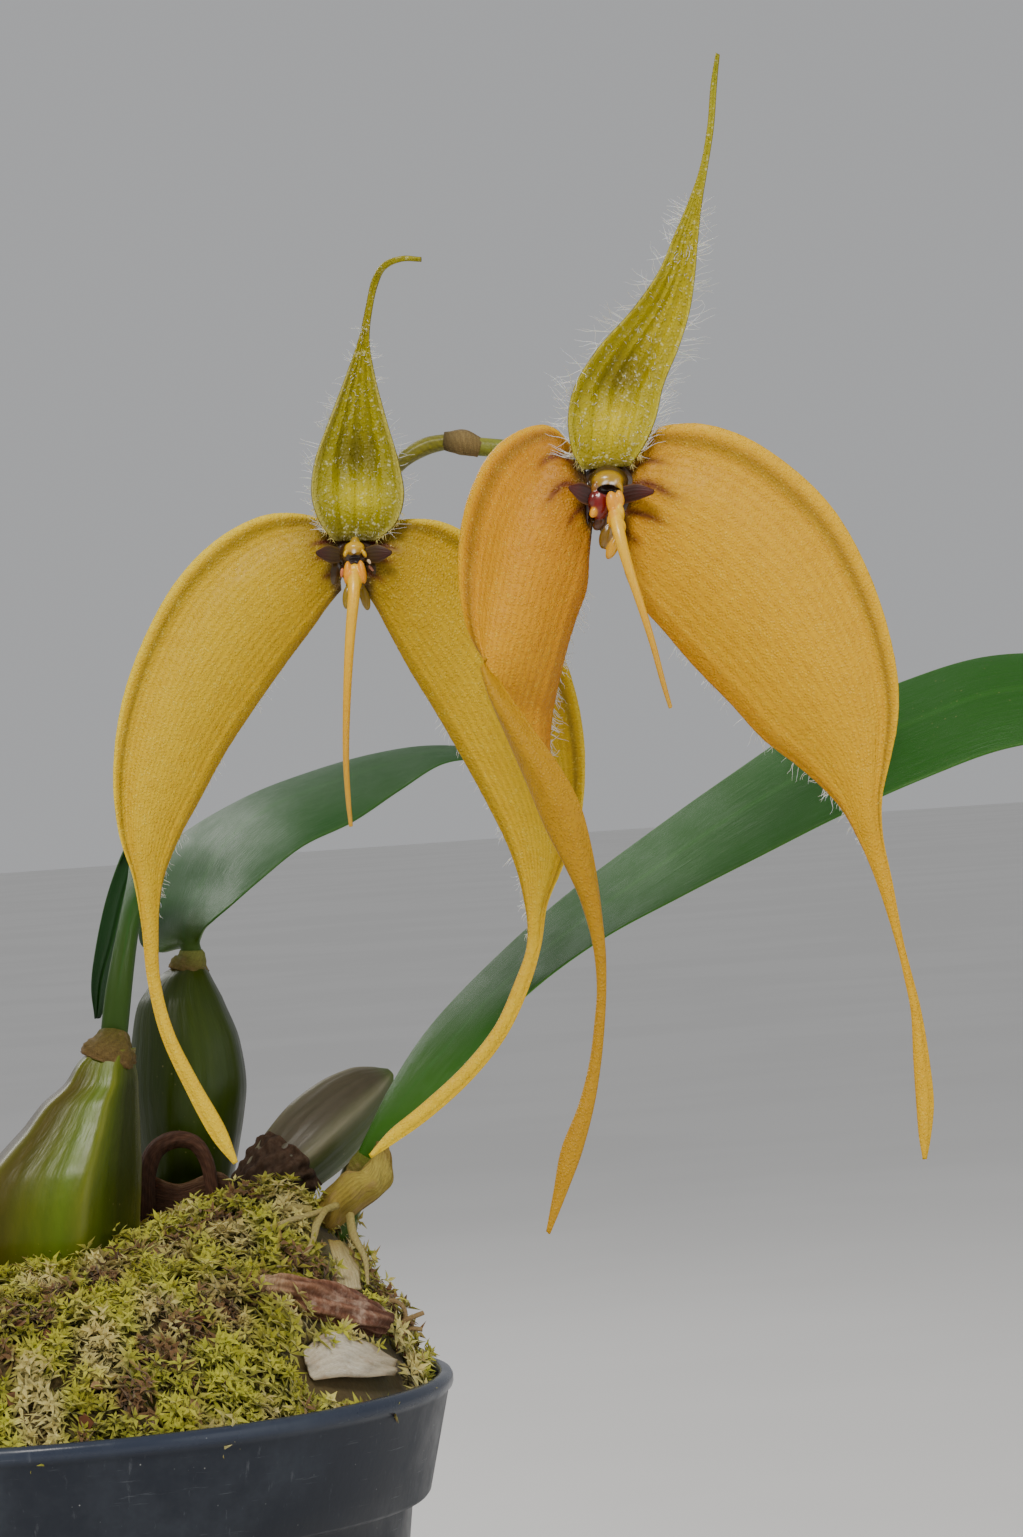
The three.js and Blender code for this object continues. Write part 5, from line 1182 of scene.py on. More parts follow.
LEAF_RIGHT_ROWS = [
    [[50.3, 2, 133.5], [52.3, 1.6, 133.4], [54.4, 2, 133.3]],
    [[53.3, 1.5, 138.9], [55.3, 0.7, 138.4], [57.2, 1.5, 137.9]],
    [[58.1, 4, 147], [60.7, 1, 145], [63.4, -1, 142.1]],
    [[64.7, 8, 155.7], [67.7, 3, 152.4], [70, 0, 149.1]],
    [[75.2, 13, 165.4], [78, 6, 162.3], [80.3, 1, 159.7]],
    [[88.2, 16, 175.5], [91.2, 8, 171.4], [93.7, 0, 168.6]],
    [[102.4, 17, 184.7], [105.5, 8, 180.2], [107.9, -1, 175.1]],
    [[117.2, 17, 193.8], [119.5, 8, 188.3], [121, -2, 180.7]],
    [[132.7, 17, 202.5], [134.7, 8, 195.6], [135.4, -3, 186.8]],
    [[147.9, 16, 208], [149.2, 7, 201.2], [149.5, -4, 192]],
    [[162.3, 14, 211.3], [162.8, 5, 205.1], [162.5, -5, 195.8]],
    [[176.2, 11, 210.6], [176.1, 2, 205], [175.3, -8, 196.8]],
    [[189.6, 6, 206.8], [189.1, -2, 202.3], [187.6, -10, 195.8]],
    [[202.2, -1, 199.1], [201.5, -6, 196.2], [199.5, -12, 191.7]],
    [[212.1, -8, 190.1], [211.2, -11, 188.6], [209.6, -14, 186.2]],
    [[217.5, -14, 182.8], [217, -14.5, 182.3], [216.5, -15, 181.8]],
]


LEAF_FOOT_THICK, LEAF_TIP_THICK, LEAF_VEINS = 2.6, 0.8, 21


def leaf_thickness(u):
    return LEAF_FOOT_THICK + (LEAF_TIP_THICK - LEAF_FOOT_THICK) * smoothstep(0.02, 0.3, u)


def leaf_relief(u, v, width):
    open_part = smoothstep(0.05, 0.25, u)
    groove = -0.5 * bump(v, 0.5, 0.035) * open_part
    veins = 0.03 * np.cos(2 * np.pi * LEAF_VEINS * v) * open_part
    wave = 0.12 * np.sin(15 * u + 4 * v) * open_part
    return groove + veins * smoothstep(0, 0.06, v) * smoothstep(1, 0.94, v) + wave * 0.5


def leaf_paint(steps, rib_tone, edge_tone, under_tone, stalk_tone):
    def paint(u, v, side, wide):
        veins = 0.5 + 0.5 * np.cos(2 * np.pi * LEAF_VEINS * v)
        colour = layered(
            shades(steps, u),
            (stalk_tone, smoothstep(0.3, 0.12, u)),
            # The paler midrib is partly its own colour and partly a painted highlight along the groove.
            (rib_tone, 0.7 * bump(v, 0.5, 0.022) * smoothstep(0.05, 0.2, u)),
            (rib_tone, 0.1 * veins * smoothstep(0.1, 0.3, u)),
            # The paler margins are partly their own colour and partly a painted highlight.
            (edge_tone, 0.5 * smoothstep(0.03, 0.0, np.minimum(v, 1 - v))),
        )
        return blend_colours(layered(colour, (under_tone, 0.7)), colour, side)
    return paint


def leaf(name, rows, along, across, paint):
    piece = blade(name + "_blade", rows, along, across, leaf_thickness, None, paint, relief=leaf_relief,
                  thin=0.3)
    return hand_over(piece, leaf_skin, "leaf_green", name)


leaf("leaf_left", LEAF_LEFT_ROWS, 110, 46, leaf_paint(
    [(0, "6c6814"), (0.2, "3c5a0c"), (0.5, "0c4206"), (1, "063404")], "2c641c", "4c7c34", "1c4c10", "4a4a06"))
leaf("leaf_back", LEAF_BACK_ROWS, 110, 46, leaf_paint(
    [(0, "5c6408"), (0.2, "164a08"), (0.5, "0e4608"), (1, "083804")], "306c20", "5c8840", "205010", "5e6210"))
leaf("leaf_right", LEAF_RIGHT_ROWS, 150, 52, leaf_paint(
    [(0, "4c6e08"), (0.15, "286408"), (0.35, "145404"), (0.6, "125806"), (1, "186408")],
    "3c8420", "5c9430", "285c10", "4c7808"))

# %% [markdown]
# ## Pseudobulbs
#
# The swollen stems that store water. Each is a loft of rings whose radius follows sharp ribs with hollows
# between them. The young ones are glossy green, the oldest is dull, wrinkled and mottled. Paint goes round
# them by angle: the middle face of the front one is bright yellow-green and its sides fall away to olive. On
# the front and back ones this is painted light as well as colour: the side towards the camera and the key
# lamp is painted brightest, and the sides darken as painted shade.

# %% The four pseudobulbs
BULB_FRONT_SECTIONS = [
    [0, -10, 118.5, 10], [0.1, -10, 122.6, 13.4], [0.4, -10, 127.5, 14.4], [1.3, -10, 133.2, 14.2],
    [2.8, -10, 137.6, 13.2], [5.1, -10, 141.9, 11.1], [6.9, -10, 145.1, 9.5], [8.8, -10, 149, 7.8],
    [10.8, -10, 151.8, 6], [11.9, -10, 155, 4.7], [13.2, -10, 157, 3.8],
]
BULB_BACK_SECTIONS = [
    [21, 27, 117.5, 4.4], [21.2, 27, 121.5, 6], [21.4, 27, 128, 7.4], [22.1, 27, 135.4, 8.6],
    [22.7, 27, 142.2, 9.6], [23.1, 27, 148.2, 10.1], [23.2, 27, 155.9, 9.2], [22.8, 27, 162.7, 7.2],
    [23.6, 27, 167, 4.4], [24.4, 27, 168.4, 2.8],
]
BULB_OLD_SECTIONS = [
    [31.6, 4.4, 127.4, 2.2], [33.6, 5, 129.8, 3.2], [36.1, 6, 132.1, 4.7], [39.9, 8, 135.2, 6],
    [44.7, 10.5, 139.1, 6.7], [49.8, 13, 142.9, 6.2], [53.8, 14.5, 145.8, 4.7],
    [56.4, 15.5, 147.6, 2.5], [57.7, 16, 148.6, 0.8],
]
BULB_NEW_SECTIONS = [
    [45.9, 2, 118.8, 1.8], [46.5, 2, 122, 2.4], [48.2, 2, 126, 2.6], [50, 2, 129.3, 2.5],
    [51.5, 2, 132, 2.1],
]


def ribbed(ribs, depth, phase, wrinkle=0.0, folds=23):
    def shape(angle, u):
        ridge = 1 + depth * (0.5 - np.abs(np.sin(ribs * (angle - phase) / 2)))
        crease = wrinkle * (np.sin(folds * angle + 5 * u) + 0.6 * np.sin(2.3 * folds * angle - 9 * u + 1))
        return ridge + crease * 4 * u * (1 - u)
    return shape


def bulb_paint(faces, rib_tone, ribs, phase, top_tone, foot_tone, ring_tone=None):
    def paint(u, angle):
        ridge = 1 - np.abs(np.sin(ribs * (angle - phase) / 2))
        # For the front and back pseudobulbs the tones round the bulb carry painted light: brightest towards
        # the camera and key lamp, darker round the sides as painted shade.
        colour = layered(
            shades(faces, (np.degrees(angle) + 360) % 360),
            (rib_tone, 0.7 * ridge ** 3),
            (foot_tone, 0.75 * smoothstep(0.22, 0.02, u)),
            (top_tone, 0.7 * smoothstep(0.78, 0.97, u)),
        )
        if ring_tone:
            colour = layered(colour, (ring_tone, 0.9 * bump(u, 0.975, 0.014)))
        streak = 0.5 + 0.5 * np.sin(37 * angle) * np.sin(61 * angle + 1)
        return colour * (0.86 + 0.2 * streak[:, None])
    return paint


def pseudobulb(name, sections, shape, upright, paint, material, slot, sides=100, steps=60):
    piece = stalk(name + "_body", [row[:3] for row in sections], [row[3] for row in sections], sides, steps,
                  shape, paint, upright)
    return hand_over(piece, material, slot, name)


pseudobulb("pseudobulb_front", BULB_FRONT_SECTIONS, ribbed(5, 0.16, -1.1, 0.0025), True, bulb_paint(
    [(0, "2e3606"), (60, "2c3006"), (180, "3c3008"), (235, "4a3e08"), (262, "5c6410"), (285, "5a7010"),
     (312, "465408"), (335, "30380a"), (360, "2e3606")],
    "747420", 5, -1.1, "646e14", "5a5c10", "8a7440"), bulb_skin, "bulb_green")
pseudobulb("pseudobulb_back", BULB_BACK_SECTIONS, ribbed(5, 0.08, -0.6, 0.002), True, bulb_paint(
    [(0, "283204"), (120, "242c04"), (230, "2a3608"), (280, "364608"), (320, "2c3a04"), (360, "283204")],
    "34400c", 5, -0.6, "3c4410", "241a0a", "6a5a2c"), bulb_skin, "bulb_dark_green")
pseudobulb("pseudobulb_old", BULB_OLD_SECTIONS, ribbed(4, 0.12, 0.4, 0.008, 17), False, bulb_paint(
    [(0, "4c5a20"), (50, "6a624a"), (110, "7e7660"), (180, "6a604a"), (270, "524834"), (320, "445018"),
     (360, "4c5a20")],
    "a29a80", 4, 0.4, "4c6414", "4a3a22"), old_bulb_skin, "bulb_grey_brown")
pseudobulb("pseudobulb_new", BULB_NEW_SECTIONS, ribbed(3, 0.05, 0, 0.002), False, bulb_paint(
    [(0, "3c6008"), (180, "2c4c06"), (360, "3c6008")], "688c1c", 3, 0, "3c7408", "7a6c30"),
    bulb_skin, "bulb_green", 48, 40)

# %% [markdown]
# Where a leaf joins its pseudobulb, the scar of an old sheath leaves a rough papery ring. A
# short stalk with a crumpled outline makes it, and hides the joint as it does on the plant.
# The oldest pseudobulb still wears the brown rags of its sheath.

# %% Rings at the joints and rags on the old pseudobulb
def crumpled_ring(count, depth):
    def shape(angle, u):
        fold = np.sin(count * angle + 3 * u) + 0.7 * np.sin(2.3 * count * angle - 14 * u + 1)
        return 1 + depth * fold + 0.5 * depth * np.sin(31 * u + 3 * angle)
    return shape


def ring_paint(low_tone, high_tone, fold_tone):
    def paint(u, angle):
        fold = 0.5 + 0.5 * np.sin(17 * angle + 12 * u) * np.sin(29 * u + 2 * angle)
        return layered(tone(low_tone), (high_tone, u), (fold_tone, 0.5 * fold))
    return paint


COLLARS = {
    "front": ([(12.3, -10, 155.2), (12.9, -10, 156.7), (13.4, -9.7, 158.2), (13.7, -9.2, 159.8)],
              [4.5, 4.4, 3.2, 2.3], ring_paint("7a6238", "5c5a18", "3a2810")),
    "back": ([(24.2, 27, 167.6), (24.5, 27, 168.7), (24.9, 27, 169.8), (25, 26.9, 171.2)],
             [3.5, 3.2, 2.5, 1.9], ring_paint("6a5428", "8a9448", "5c5a28")),
    "right": ([(51.2, 2, 131.4), (52, 1.9, 132.8), (52.8, 1.7, 134.2), (53.8, 1.4, 135.8)],
              [2.5, 2.6, 2.6, 2.2], ring_paint("9a8448", "6c7c20", "6a5428")),
}
collars = [
    stalk(f"bulb_collar_{label}", path, radii, 40, 26, crumpled_ring(9, 0.035), paint)
    for label, (path, radii, paint) in COLLARS.items()
]
for collar in collars:
    hand_over(collar, papery_skin, "dry_papery")
rags = stalk("old_bulb_rags", [(31, 4.2, 127), (34, 5, 130), (37, 6.2, 132.6), (40.2, 8.2, 135.4)],
             [3.4, 4.7, 5.7, 6.5], 90, 60, crumpled_ring(6, 0.07), ring_paint("3a281a", "5c4838", "1e120a"))
hand_over(rags, fibrous_skin, "dry_brown")

# %% [markdown]
# ## Flower stalks
#
# A thin green stalk, the peduncle, carries each flower. At its end a short dry sheath wraps the joint, and
# beyond it the grooved olive-brown ovary leads to the flower. The stalks are lofts along the same rails as
# the solid model, in much finer steps.

# %% Peduncles, joints and ovaries
LEFT_PEDUNCLE = [
    [45.6, 15, 112], [47.4, 17, 126], [53.9, 20, 139.7], [61.6, 22, 147.3], [71.7, 23, 158.1],
    [85.3, 23, 169.1], [102.1, 23, 179.2], [116.2, 22, 186.3], [129, 22, 194], [137, 21.5, 206],
    [139.5, 8, 211.5], [137.5, -8, 216], [131, -26, 224.5], [119, -40, 234.5], [106.5, -44, 243.4],
    [95.8, -44, 246.8], [84.9, -43, 248.2], [79.6, -43, 249],
]
RIGHT_PEDUNCLE = [
    [46.5, 20.5, 108], [49, 24, 124], [55.7, 28, 139.9], [62.4, 29, 147.5], [72.6, 30, 158.6],
    [86.2, 30, 169.8], [103.2, 29, 180.3], [117.4, 28, 188.3], [127, 28, 195.5], [131, 23, 205],
    [130.5, 8, 210.5], [128.5, -12, 216], [124, -32, 226], [120.2, -41.2, 230.4], [117.6, -45.5, 231.6],
]
LEFT_OVARY = [
    [75.2, -43, 250.1], [71.6, -43, 249.5], [67.5, -44, 247.2], [63.8, -46.5, 242],
    [60.8, -50, 236.5], [59.6, -54.2, 233],
]
RIGHT_OVARY = [
    [114.2, -50.4, 232.9], [109, -57, 234.7], [103.9, -64, 236.2], [100.3, -70, 237],
    [99.1, -74.2, 237],
]
LEFT_BRACT = [[79.2, -43, 249.1], [77.4, -43, 249.8], [75.6, -43, 250.1]]
RIGHT_BRACT = [[117.3, -46, 231.7], [115.9, -48, 232.3], [114.5, -50, 232.8]]


def lengthened(path, reach):
    """The same path, continued a little past both ends."""
    first, second, before, last = (np.array(path[k], float) for k in (0, 1, -2, -1))
    start = first + (first - second) / np.linalg.norm(first - second) * reach
    end = last + (last - before) / np.linalg.norm(last - before) * reach
    return [start, *path, end]


def speckled(steps, speck_tone, streaks=0.25):
    def paint(u, angle):
        noise = np.sin(31 * angle + 90 * u) * np.sin(53 * angle - 40 * u)
        return layered(shades(steps, u), (speck_tone, streaks * (0.5 + 0.5 * noise)))
    return paint


def grooved(count, depth):
    return lambda angle, u: 1 + depth * np.cos(count * angle)


def flower_stalk(name, path, radii, steps, paint, material, slot, shape=None):
    piece = stalk(name + "_stem", path, radii, 18, steps, shape, paint)
    return hand_over(piece, material, slot, name)


PEDUNCLE_TONES = [(0, "5c5a24"), (0.2, "6c7a24"), (0.8, "7c8a22"), (1, "8a8a2a")]
OVARY_TONES = [(0, "86801c"), (0.3, "888218"), (0.7, "7a701a"), (1, "5c4a12")]
BRACT_TONES = [(0, "8f7a48"), (0.5, "a08a58"), (1, "5e5230")]
BRACT_RADII = [1.52, 1.7, 2, 1.65, 1.35]
PEDUNCLE_RADIUS = 1.45


def bract_shape(angle, u):
    return 1 + 0.05 * np.sin(11 * angle + 5 * u)


for side, path in (("left", LEFT_PEDUNCLE), ("right", RIGHT_PEDUNCLE)):
    flower_stalk(f"peduncle_{side}", path, [PEDUNCLE_RADIUS] * len(path), 160,
                 speckled(PEDUNCLE_TONES, "4a3418"), stalk_skin, "stalk_green")
for side, path, radii in (("left", LEFT_OVARY, [1.15, 1.3, 1.15, 1, 1, 1.1]),
                          ("right", RIGHT_OVARY, [1.15, 1.3, 1.15, 1, 1.1])):
    flower_stalk(f"ovary_{side}", path, radii, 90, speckled(OVARY_TONES, "3c2c10", 0.4),
                 stalk_skin, "ovary_olive", grooved(6, 0.06))
for side, path in (("left", LEFT_BRACT), ("right", RIGHT_BRACT)):
    flower_stalk(f"floral_bract_{side}", lengthened(path, 1.1), BRACT_RADII, 40,
                 speckled(BRACT_TONES, "4a3a22", 0.5), papery_skin, "dry_papery", bract_shape)

# %% [markdown]
# ## The nursery pot
#
# A thin moulded plastic pot: a tapered body, a step, a deep collar and a rolled rim. Only the
# top of it was seen, so the rest follows pots of this kind. Turning one profile round the
# axis makes the whole wall, inside and out, and a Boolean modifier cuts the drain holes.

# %% The pot's profile and body
RIM_RADIUS, BASE_RADIUS, POT_HEIGHT, WALL = 65, 46, 100, 1.8
COLLAR_FOOT, BODY_TOP_RADIUS, BODY_TOP = 60, 57, 80
POT_SIDES = 128

outline = [
    (0, 0), (30, 0), (BASE_RADIUS - 1.5, 0), (BASE_RADIUS - 0.5, 0.4), (BASE_RADIUS, 1.5),
    (BODY_TOP_RADIUS, BODY_TOP - 0.8), (BODY_TOP_RADIUS + 0.5, BODY_TOP - 0.1), (COLLAR_FOOT - 0.4, BODY_TOP),
    (COLLAR_FOOT + 0.1, BODY_TOP + 0.6), (RIM_RADIUS - 0.9, POT_HEIGHT - 3.3),
    (RIM_RADIUS - 0.75, POT_HEIGHT - 2.9), (RIM_RADIUS - 0.2, POT_HEIGHT - 2.5),
    (RIM_RADIUS, POT_HEIGHT - 1.9), (RIM_RADIUS, POT_HEIGHT - 0.9),
    (RIM_RADIUS - 0.3, POT_HEIGHT - 0.3), (RIM_RADIUS - 0.9, POT_HEIGHT), (RIM_RADIUS - 1.7, POT_HEIGHT),
    (RIM_RADIUS - 2.3, POT_HEIGHT - 0.3), (RIM_RADIUS - 2.6, POT_HEIGHT - 0.9),
    (RIM_RADIUS - 2.6, POT_HEIGHT - 3),
    (COLLAR_FOOT - WALL, BODY_TOP + WALL), (BODY_TOP_RADIUS - WALL, BODY_TOP - WALL),
    (BASE_RADIUS - WALL - 0.6, 3.5), (BASE_RADIUS - WALL - 1.2, 3), (30, 3), (0, 3),
]


def fine_profile(corners, longest=4):
    fine = []
    for (r0, z0), (r1, z1) in zip(corners, corners[1:]):
        pieces = max(1, round(math.hypot(r1 - r0, z1 - z0) / longest))
        fine += [(r0 + (r1 - r0) * k / pieces, z0 + (z1 - z0) * k / pieces) for k in range(pieces)]
    return np.array(fine + [corners[-1]])


def turned(name, profile, sides):
    turn = np.linspace(0, 2 * np.pi, sides, endpoint=False)
    rings = profile[1:-1]
    points = np.stack([
        rings[:, :1] * np.cos(turn), rings[:, :1] * np.sin(turn), np.repeat(rings[:, 1:], sides, axis=1),
    ], axis=2).reshape(-1, 3)
    points = np.concatenate([points, [(0, 0, profile[0, 1]), (0, 0, profile[-1, 1])]])
    shade = blend_colours(tone("10151f"), tone("161c28"), smoothstep(60, 98, points[:, 2]))
    return piece_from(name, points, loft_faces(sides, len(rings)), shade)


pot = turned("nursery_pot_shell", fine_profile(outline), POT_SIDES)
print("pot shell:", triangles_of(pot), "triangles")

# %% Drain holes
DRAIN_HOLES, DRAIN_RADIUS, DRAIN_CIRCLE = 6, 4, 31

for k in range(DRAIN_HOLES):
    turn = 2 * math.pi * k / DRAIN_HOLES
    bpy.ops.mesh.primitive_cylinder_add(
        vertices=40, radius=DRAIN_RADIUS * MM, depth=14 * MM,
        location=(DRAIN_CIRCLE * MM * math.cos(turn), DRAIN_CIRCLE * MM * math.sin(turn), 1.5 * MM))
    drill = bpy.context.object
    cut = pot.modifiers.new("drain", "BOOLEAN")
    cut.object = drill
    cut.operation = "DIFFERENCE"
    bpy.context.view_layer.objects.active = pot
    bpy.ops.object.modifier_apply(modifier=cut.name)
    bpy.data.objects.remove(drill)
print("pot with drain holes:", triangles_of(pot), "triangles")

# %% [markdown]
# The plastic is blue-black and a little glossy. Handling has left fine pale scratches that run mostly
# sideways, dust has settled in cloudy patches, and the rim's edge is polished; its colour is also lightened
# to a paler blue there as a painted highlight. A stretched noise makes the scratches, a cloud noise the dust,
# and the height on the pot decides where each is strong. All of it is colour and roughness with a trace of
# bump.

# %% The pot's finish
plastic = Finish("worn_blue_plastic", roughness=0.4, specular=0.28, coat=0.05, coat_roughness=0.3)
height = plastic.node("ShaderNodeSeparateXYZ", {0: plastic.place}).outputs["Z"]
dust = plastic.noise(45, 5, 0.7)
specks = plastic.band(plastic.cells(520), 0.02, 0.09, 1.0, 0.0)
speck_places = plastic.band(plastic.noise(120, 2), 0.52, 0.62)
scratch = plastic.band(plastic.noise(1.0, 5, 0.7, plastic.stretched((90, 90, 1500))), 0.62, 0.72)
runs = plastic.band(plastic.noise(1.0, 5, 0.7, plastic.stretched((900, 900, 60))), 0.6, 0.74)
collar = plastic.band(height, 0.078, 0.083)
rim_band = plastic.band(height, 0.0965, 0.0985)
dusty = plastic.band(dust, 0.42, 0.8, 0.03, 0.3)
dust_share = plastic.times(dusty, plastic.band(collar, 0, 1, 0.6, 1.0))
colour = plastic.mix(dust_share, plastic.paint(), (0.1, 0.115, 0.13, 1))
speck_share = plastic.times(plastic.times(specks, speck_places), 0.75)
colour = plastic.mix(speck_share, colour, (0.5, 0.5, 0.47, 1))
colour = plastic.mix(plastic.times(scratch, 0.12), colour, (0.36, 0.38, 0.4, 1))
colour = plastic.mix(plastic.times(runs, 0.14), colour, (0.3, 0.31, 0.33, 1))
# Painted highlight: the rim's bead is lightened to a paler blue.
colour = plastic.mix(plastic.times(rim_band, 0.3), colour, (0.07, 0.09, 0.14, 1))
rough = plastic.band(dust, 0.35, 0.75, 0.34, 0.62)
polish = plastic.times(rim_band, 0.14)
rough = plastic.node("ShaderNodeMath", {0: rough, 1: polish}, operation="SUBTRACT").outputs["Value"]
plastic.raise_by(plastic.noise(900, 3), 0.00008, 0.4)
plastic.raise_by(scratch, 0.00004, 0.3)
hand_over(pot, plastic.done(colour, rough), "pot_plastic", "nursery_pot")

# %% [markdown]
# ## The bed of moss
#
# Live sphagnum fills the pot and mounds over the rim. Under its sprigs lies a dark mat that
# one formula of height describes: a flat dome, a crest on the right where the long leaf
# comes up, and 120 soft tufts. The same formula later tells the sprigs where to stand.

# %% The height of the moss
BED_RADIUS, BED_EDGE, CREST = 61.4, 96.2, 27


def little_numbers(seed):
    """A small generator of numbers between 0 and 1, the same in every run."""
    state = seed & 0xFFFFFFFF
    while True:
        state = (state + 0x6D2B79F5) & 0xFFFFFFFF
        t = ((state ^ (state >> 15)) * (state | 1)) & 0xFFFFFFFF
        t ^= (t + (((t ^ (t >> 7)) * (t | 61)) & 0xFFFFFFFF)) & 0xFFFFFFFF
        yield ((t ^ (t >> 14)) & 0xFFFFFFFF) / 4294967296


def moss_tufts(count=120):
    step = little_numbers(7)
    tufts = []
    for _ in range(count):
        reach, turn = BED_RADIUS * math.sqrt(next(step)), 2 * math.pi * next(step)
        rise, radius = 3.4 * (next(step) - 0.45), 4.8 * (0.6 + 0.7 * next(step))
        tufts.append((reach * math.cos(turn), reach * math.sin(turn), rise, radius))
    return tufts


TUFTS = moss_tufts()


def moss_height(x, y):
    x, y = np.asarray(x, float), np.asarray(y, float)
    reach = np.minimum(np.hypot(x, y) / BED_RADIUS, 1)
    swell = 13.5 * np.exp(-((x - 43) ** 2 + (y - 3) ** 2) / (2 * 13 * 13))
    height = BED_EDGE + (CREST + swell) * (1 - reach ** 4.5)
    for tx, ty, rise, radius in TUFTS:
        height = height + rise * np.exp(-((x - tx) ** 2 + (y - ty) ** 2) / radius ** 2) * (1 - reach ** 8)
    return height


print("moss stands", round(float(moss_height(43, 3))), "mm high at its crest")

# %% The mat under the sprigs
MAT_RINGS, MAT_SIDES, MAT_RADIUS, MAT_SINK = 60, 150, 60.9, 0.8
INSIDE = [(43.6, 3.6), (54.6, 78.8), (57.6, 82.4), (61.2, 95.2)]


def moss_mat():
    turn = np.linspace(0, 2 * np.pi, MAT_SIDES, endpoint=False)
    rings = [np.stack([r * np.cos(turn), r * np.sin(turn), np.full(MAT_SIDES, z)], axis=1) for r, z in INSIDE]
    for k in range(MAT_RINGS, 0, -1):
        radius = MAT_RADIUS * (k / MAT_RINGS)
        x, y = radius * np.cos(turn), radius * np.sin(turn)
        rough = 0.35 * np.sin(1.9 * x + 0.7 * y) * np.sin(1.7 * y - 0.8 * x) + rng.normal(0, 0.16, MAT_SIDES)
        height = moss_height(x, y) - MAT_SINK + rough * (1 - (k / MAT_RINGS) ** 8)
        rings.append(np.stack([x, y, height], axis=1))
    middle = [(0, 0, INSIDE[0][1]), (0, 0, float(moss_height(0, 0)) - MAT_SINK)]
    points = np.concatenate([*rings, middle])
    cloud = 0.5 + 0.5 * np.sin(0.21 * points[:, 0] + 1) * np.sin(0.17 * points[:, 1] - 2)
    colours = blend_colours(tone("4a4416"), tone("5c4c24"), smoothstep(0.3, 0.7, cloud))
    return piece_from("moss_mat", points, loft_faces(MAT_SIDES, len(rings)), colours)


hand_over(moss_mat(), moss_skin, "sphagnum_moss", "sphagnum_bed")

# %% [markdown]
# Each sprig of sphagnum ends in a star of tiny pointed leaves. Thousands of them make the
# moss, so one sprig has only a few dozen faces: leaves of four faces each, in three tiers
# that droop below and stand up in the middle. Four different sprigs are enough once each
# copy is turned, leaned and sized on its own.

# %% A few sprigs to copy
def tiny_leaf(base, out, up, length, width):
    """A pointed leaf as a thin closed wedge of four faces."""
    side = np.cross(out, up)
    side = side / np.linalg.norm(side)
    normal = np.cross(side, out)
    middle = base + out * length * 0.4 + normal * width * 0.25
    tip = base + out * length - normal * length * 0.15
    points = [base, middle + side * width / 2, middle - side * width / 2, tip]
    faces = [(0, 1, 2), (1, 3, 2), (0, 3, 1), (0, 2, 3)]
    return points, faces


def sprig(name, seed, tiers, height, spread, leaf_length, leaf_width):
    local = np.random.default_rng(seed)
    points, faces, self_shade_lightness = [], [], []
    up = np.array([0, 0, 1.0])
    for tier in range(tiers):
        share = tier / max(tiers - 1, 1)
        count = 6 if tier < tiers - 1 else 4
        for k in range(count):
            turn = 2 * math.pi * (k / count) + tier * 0.9 + local.uniform(-0.35, 0.35)
            lift = -0.35 + 1.45 * share + local.uniform(-0.2, 0.2)
            out = np.array([math.cos(turn), math.sin(turn), lift * spread])
            out = out / np.linalg.norm(out)
            long = leaf_length * (1.1 - 0.45 * share) * local.uniform(0.8, 1.2)
            new_points, new_faces = tiny_leaf(up * height * share, out, up, long, leaf_width)
            faces += [tuple(len(points) + index for index in face) for face in new_faces]
            points += new_points
            # Painted shade: each little leaf is darker at its base, and the lower tiers are darker than the
            # upper.
            self_shade_lightness += [0.25 + 0.5 * share, 0.6 + 0.35 * share, 0.6 + 0.35 * share, 1.0]
    mesh = bpy.data.meshes.new(name)
    mesh.from_pydata([list(np.asarray(point) * MM) for point in points], [], faces)
    shade = mesh.attributes.new("self_shade_lightness", "FLOAT", "POINT")
    shade.data.foreach_set("value", np.array(self_shade_lightness, float))
    return placed(name, mesh)


sprig_shapes = [
    sprig("sprig_star", 1, 3, 1.4, 1.0, 2.0, 0.7),
    sprig("sprig_open", 2, 3, 2.0, 0.7, 2.5, 0.6),
    sprig("sprig_bud", 3, 3, 1.2, 1.5, 1.6, 0.75),
    sprig("sprig_loose", 4, 3, 2.6, 0.5, 2.3, 0.5),
]
print("faces in one sprig:", [len(shape.data.polygons) for shape in sprig_shapes])

# %% [markdown]
# Geometry Nodes set the sprigs out. The points come as a plain mesh with no faces, made from
# the height formula, and each carries its slope. The tree puts a sprig on each point, turns
# it by a random angle, leans it out along the slope and picks one of the four shapes. It
# ends by making the copies real and giving them the moss finish.

# %% A tree that sets out copies
def new_tree(name, inputs):
    """An empty tree with named inputs, what adds nodes to it, and the inputs' sockets."""
    tree = bpy.data.node_groups.new(name, "GeometryNodeTree")
    for label, kind, value in inputs:
        socket = tree.interface.new_socket(label, in_out="INPUT", socket_type="NodeSocket" + kind)
        if value is not None:
            socket.default_value = value
    tree.interface.new_socket("Result", in_out="OUTPUT", socket_type="NodeSocketGeometry")

    def node(kind, values=None, **settings):
        return add_node(tree, kind, values, **settings)

    return tree, node, node("NodeGroupInput").outputs


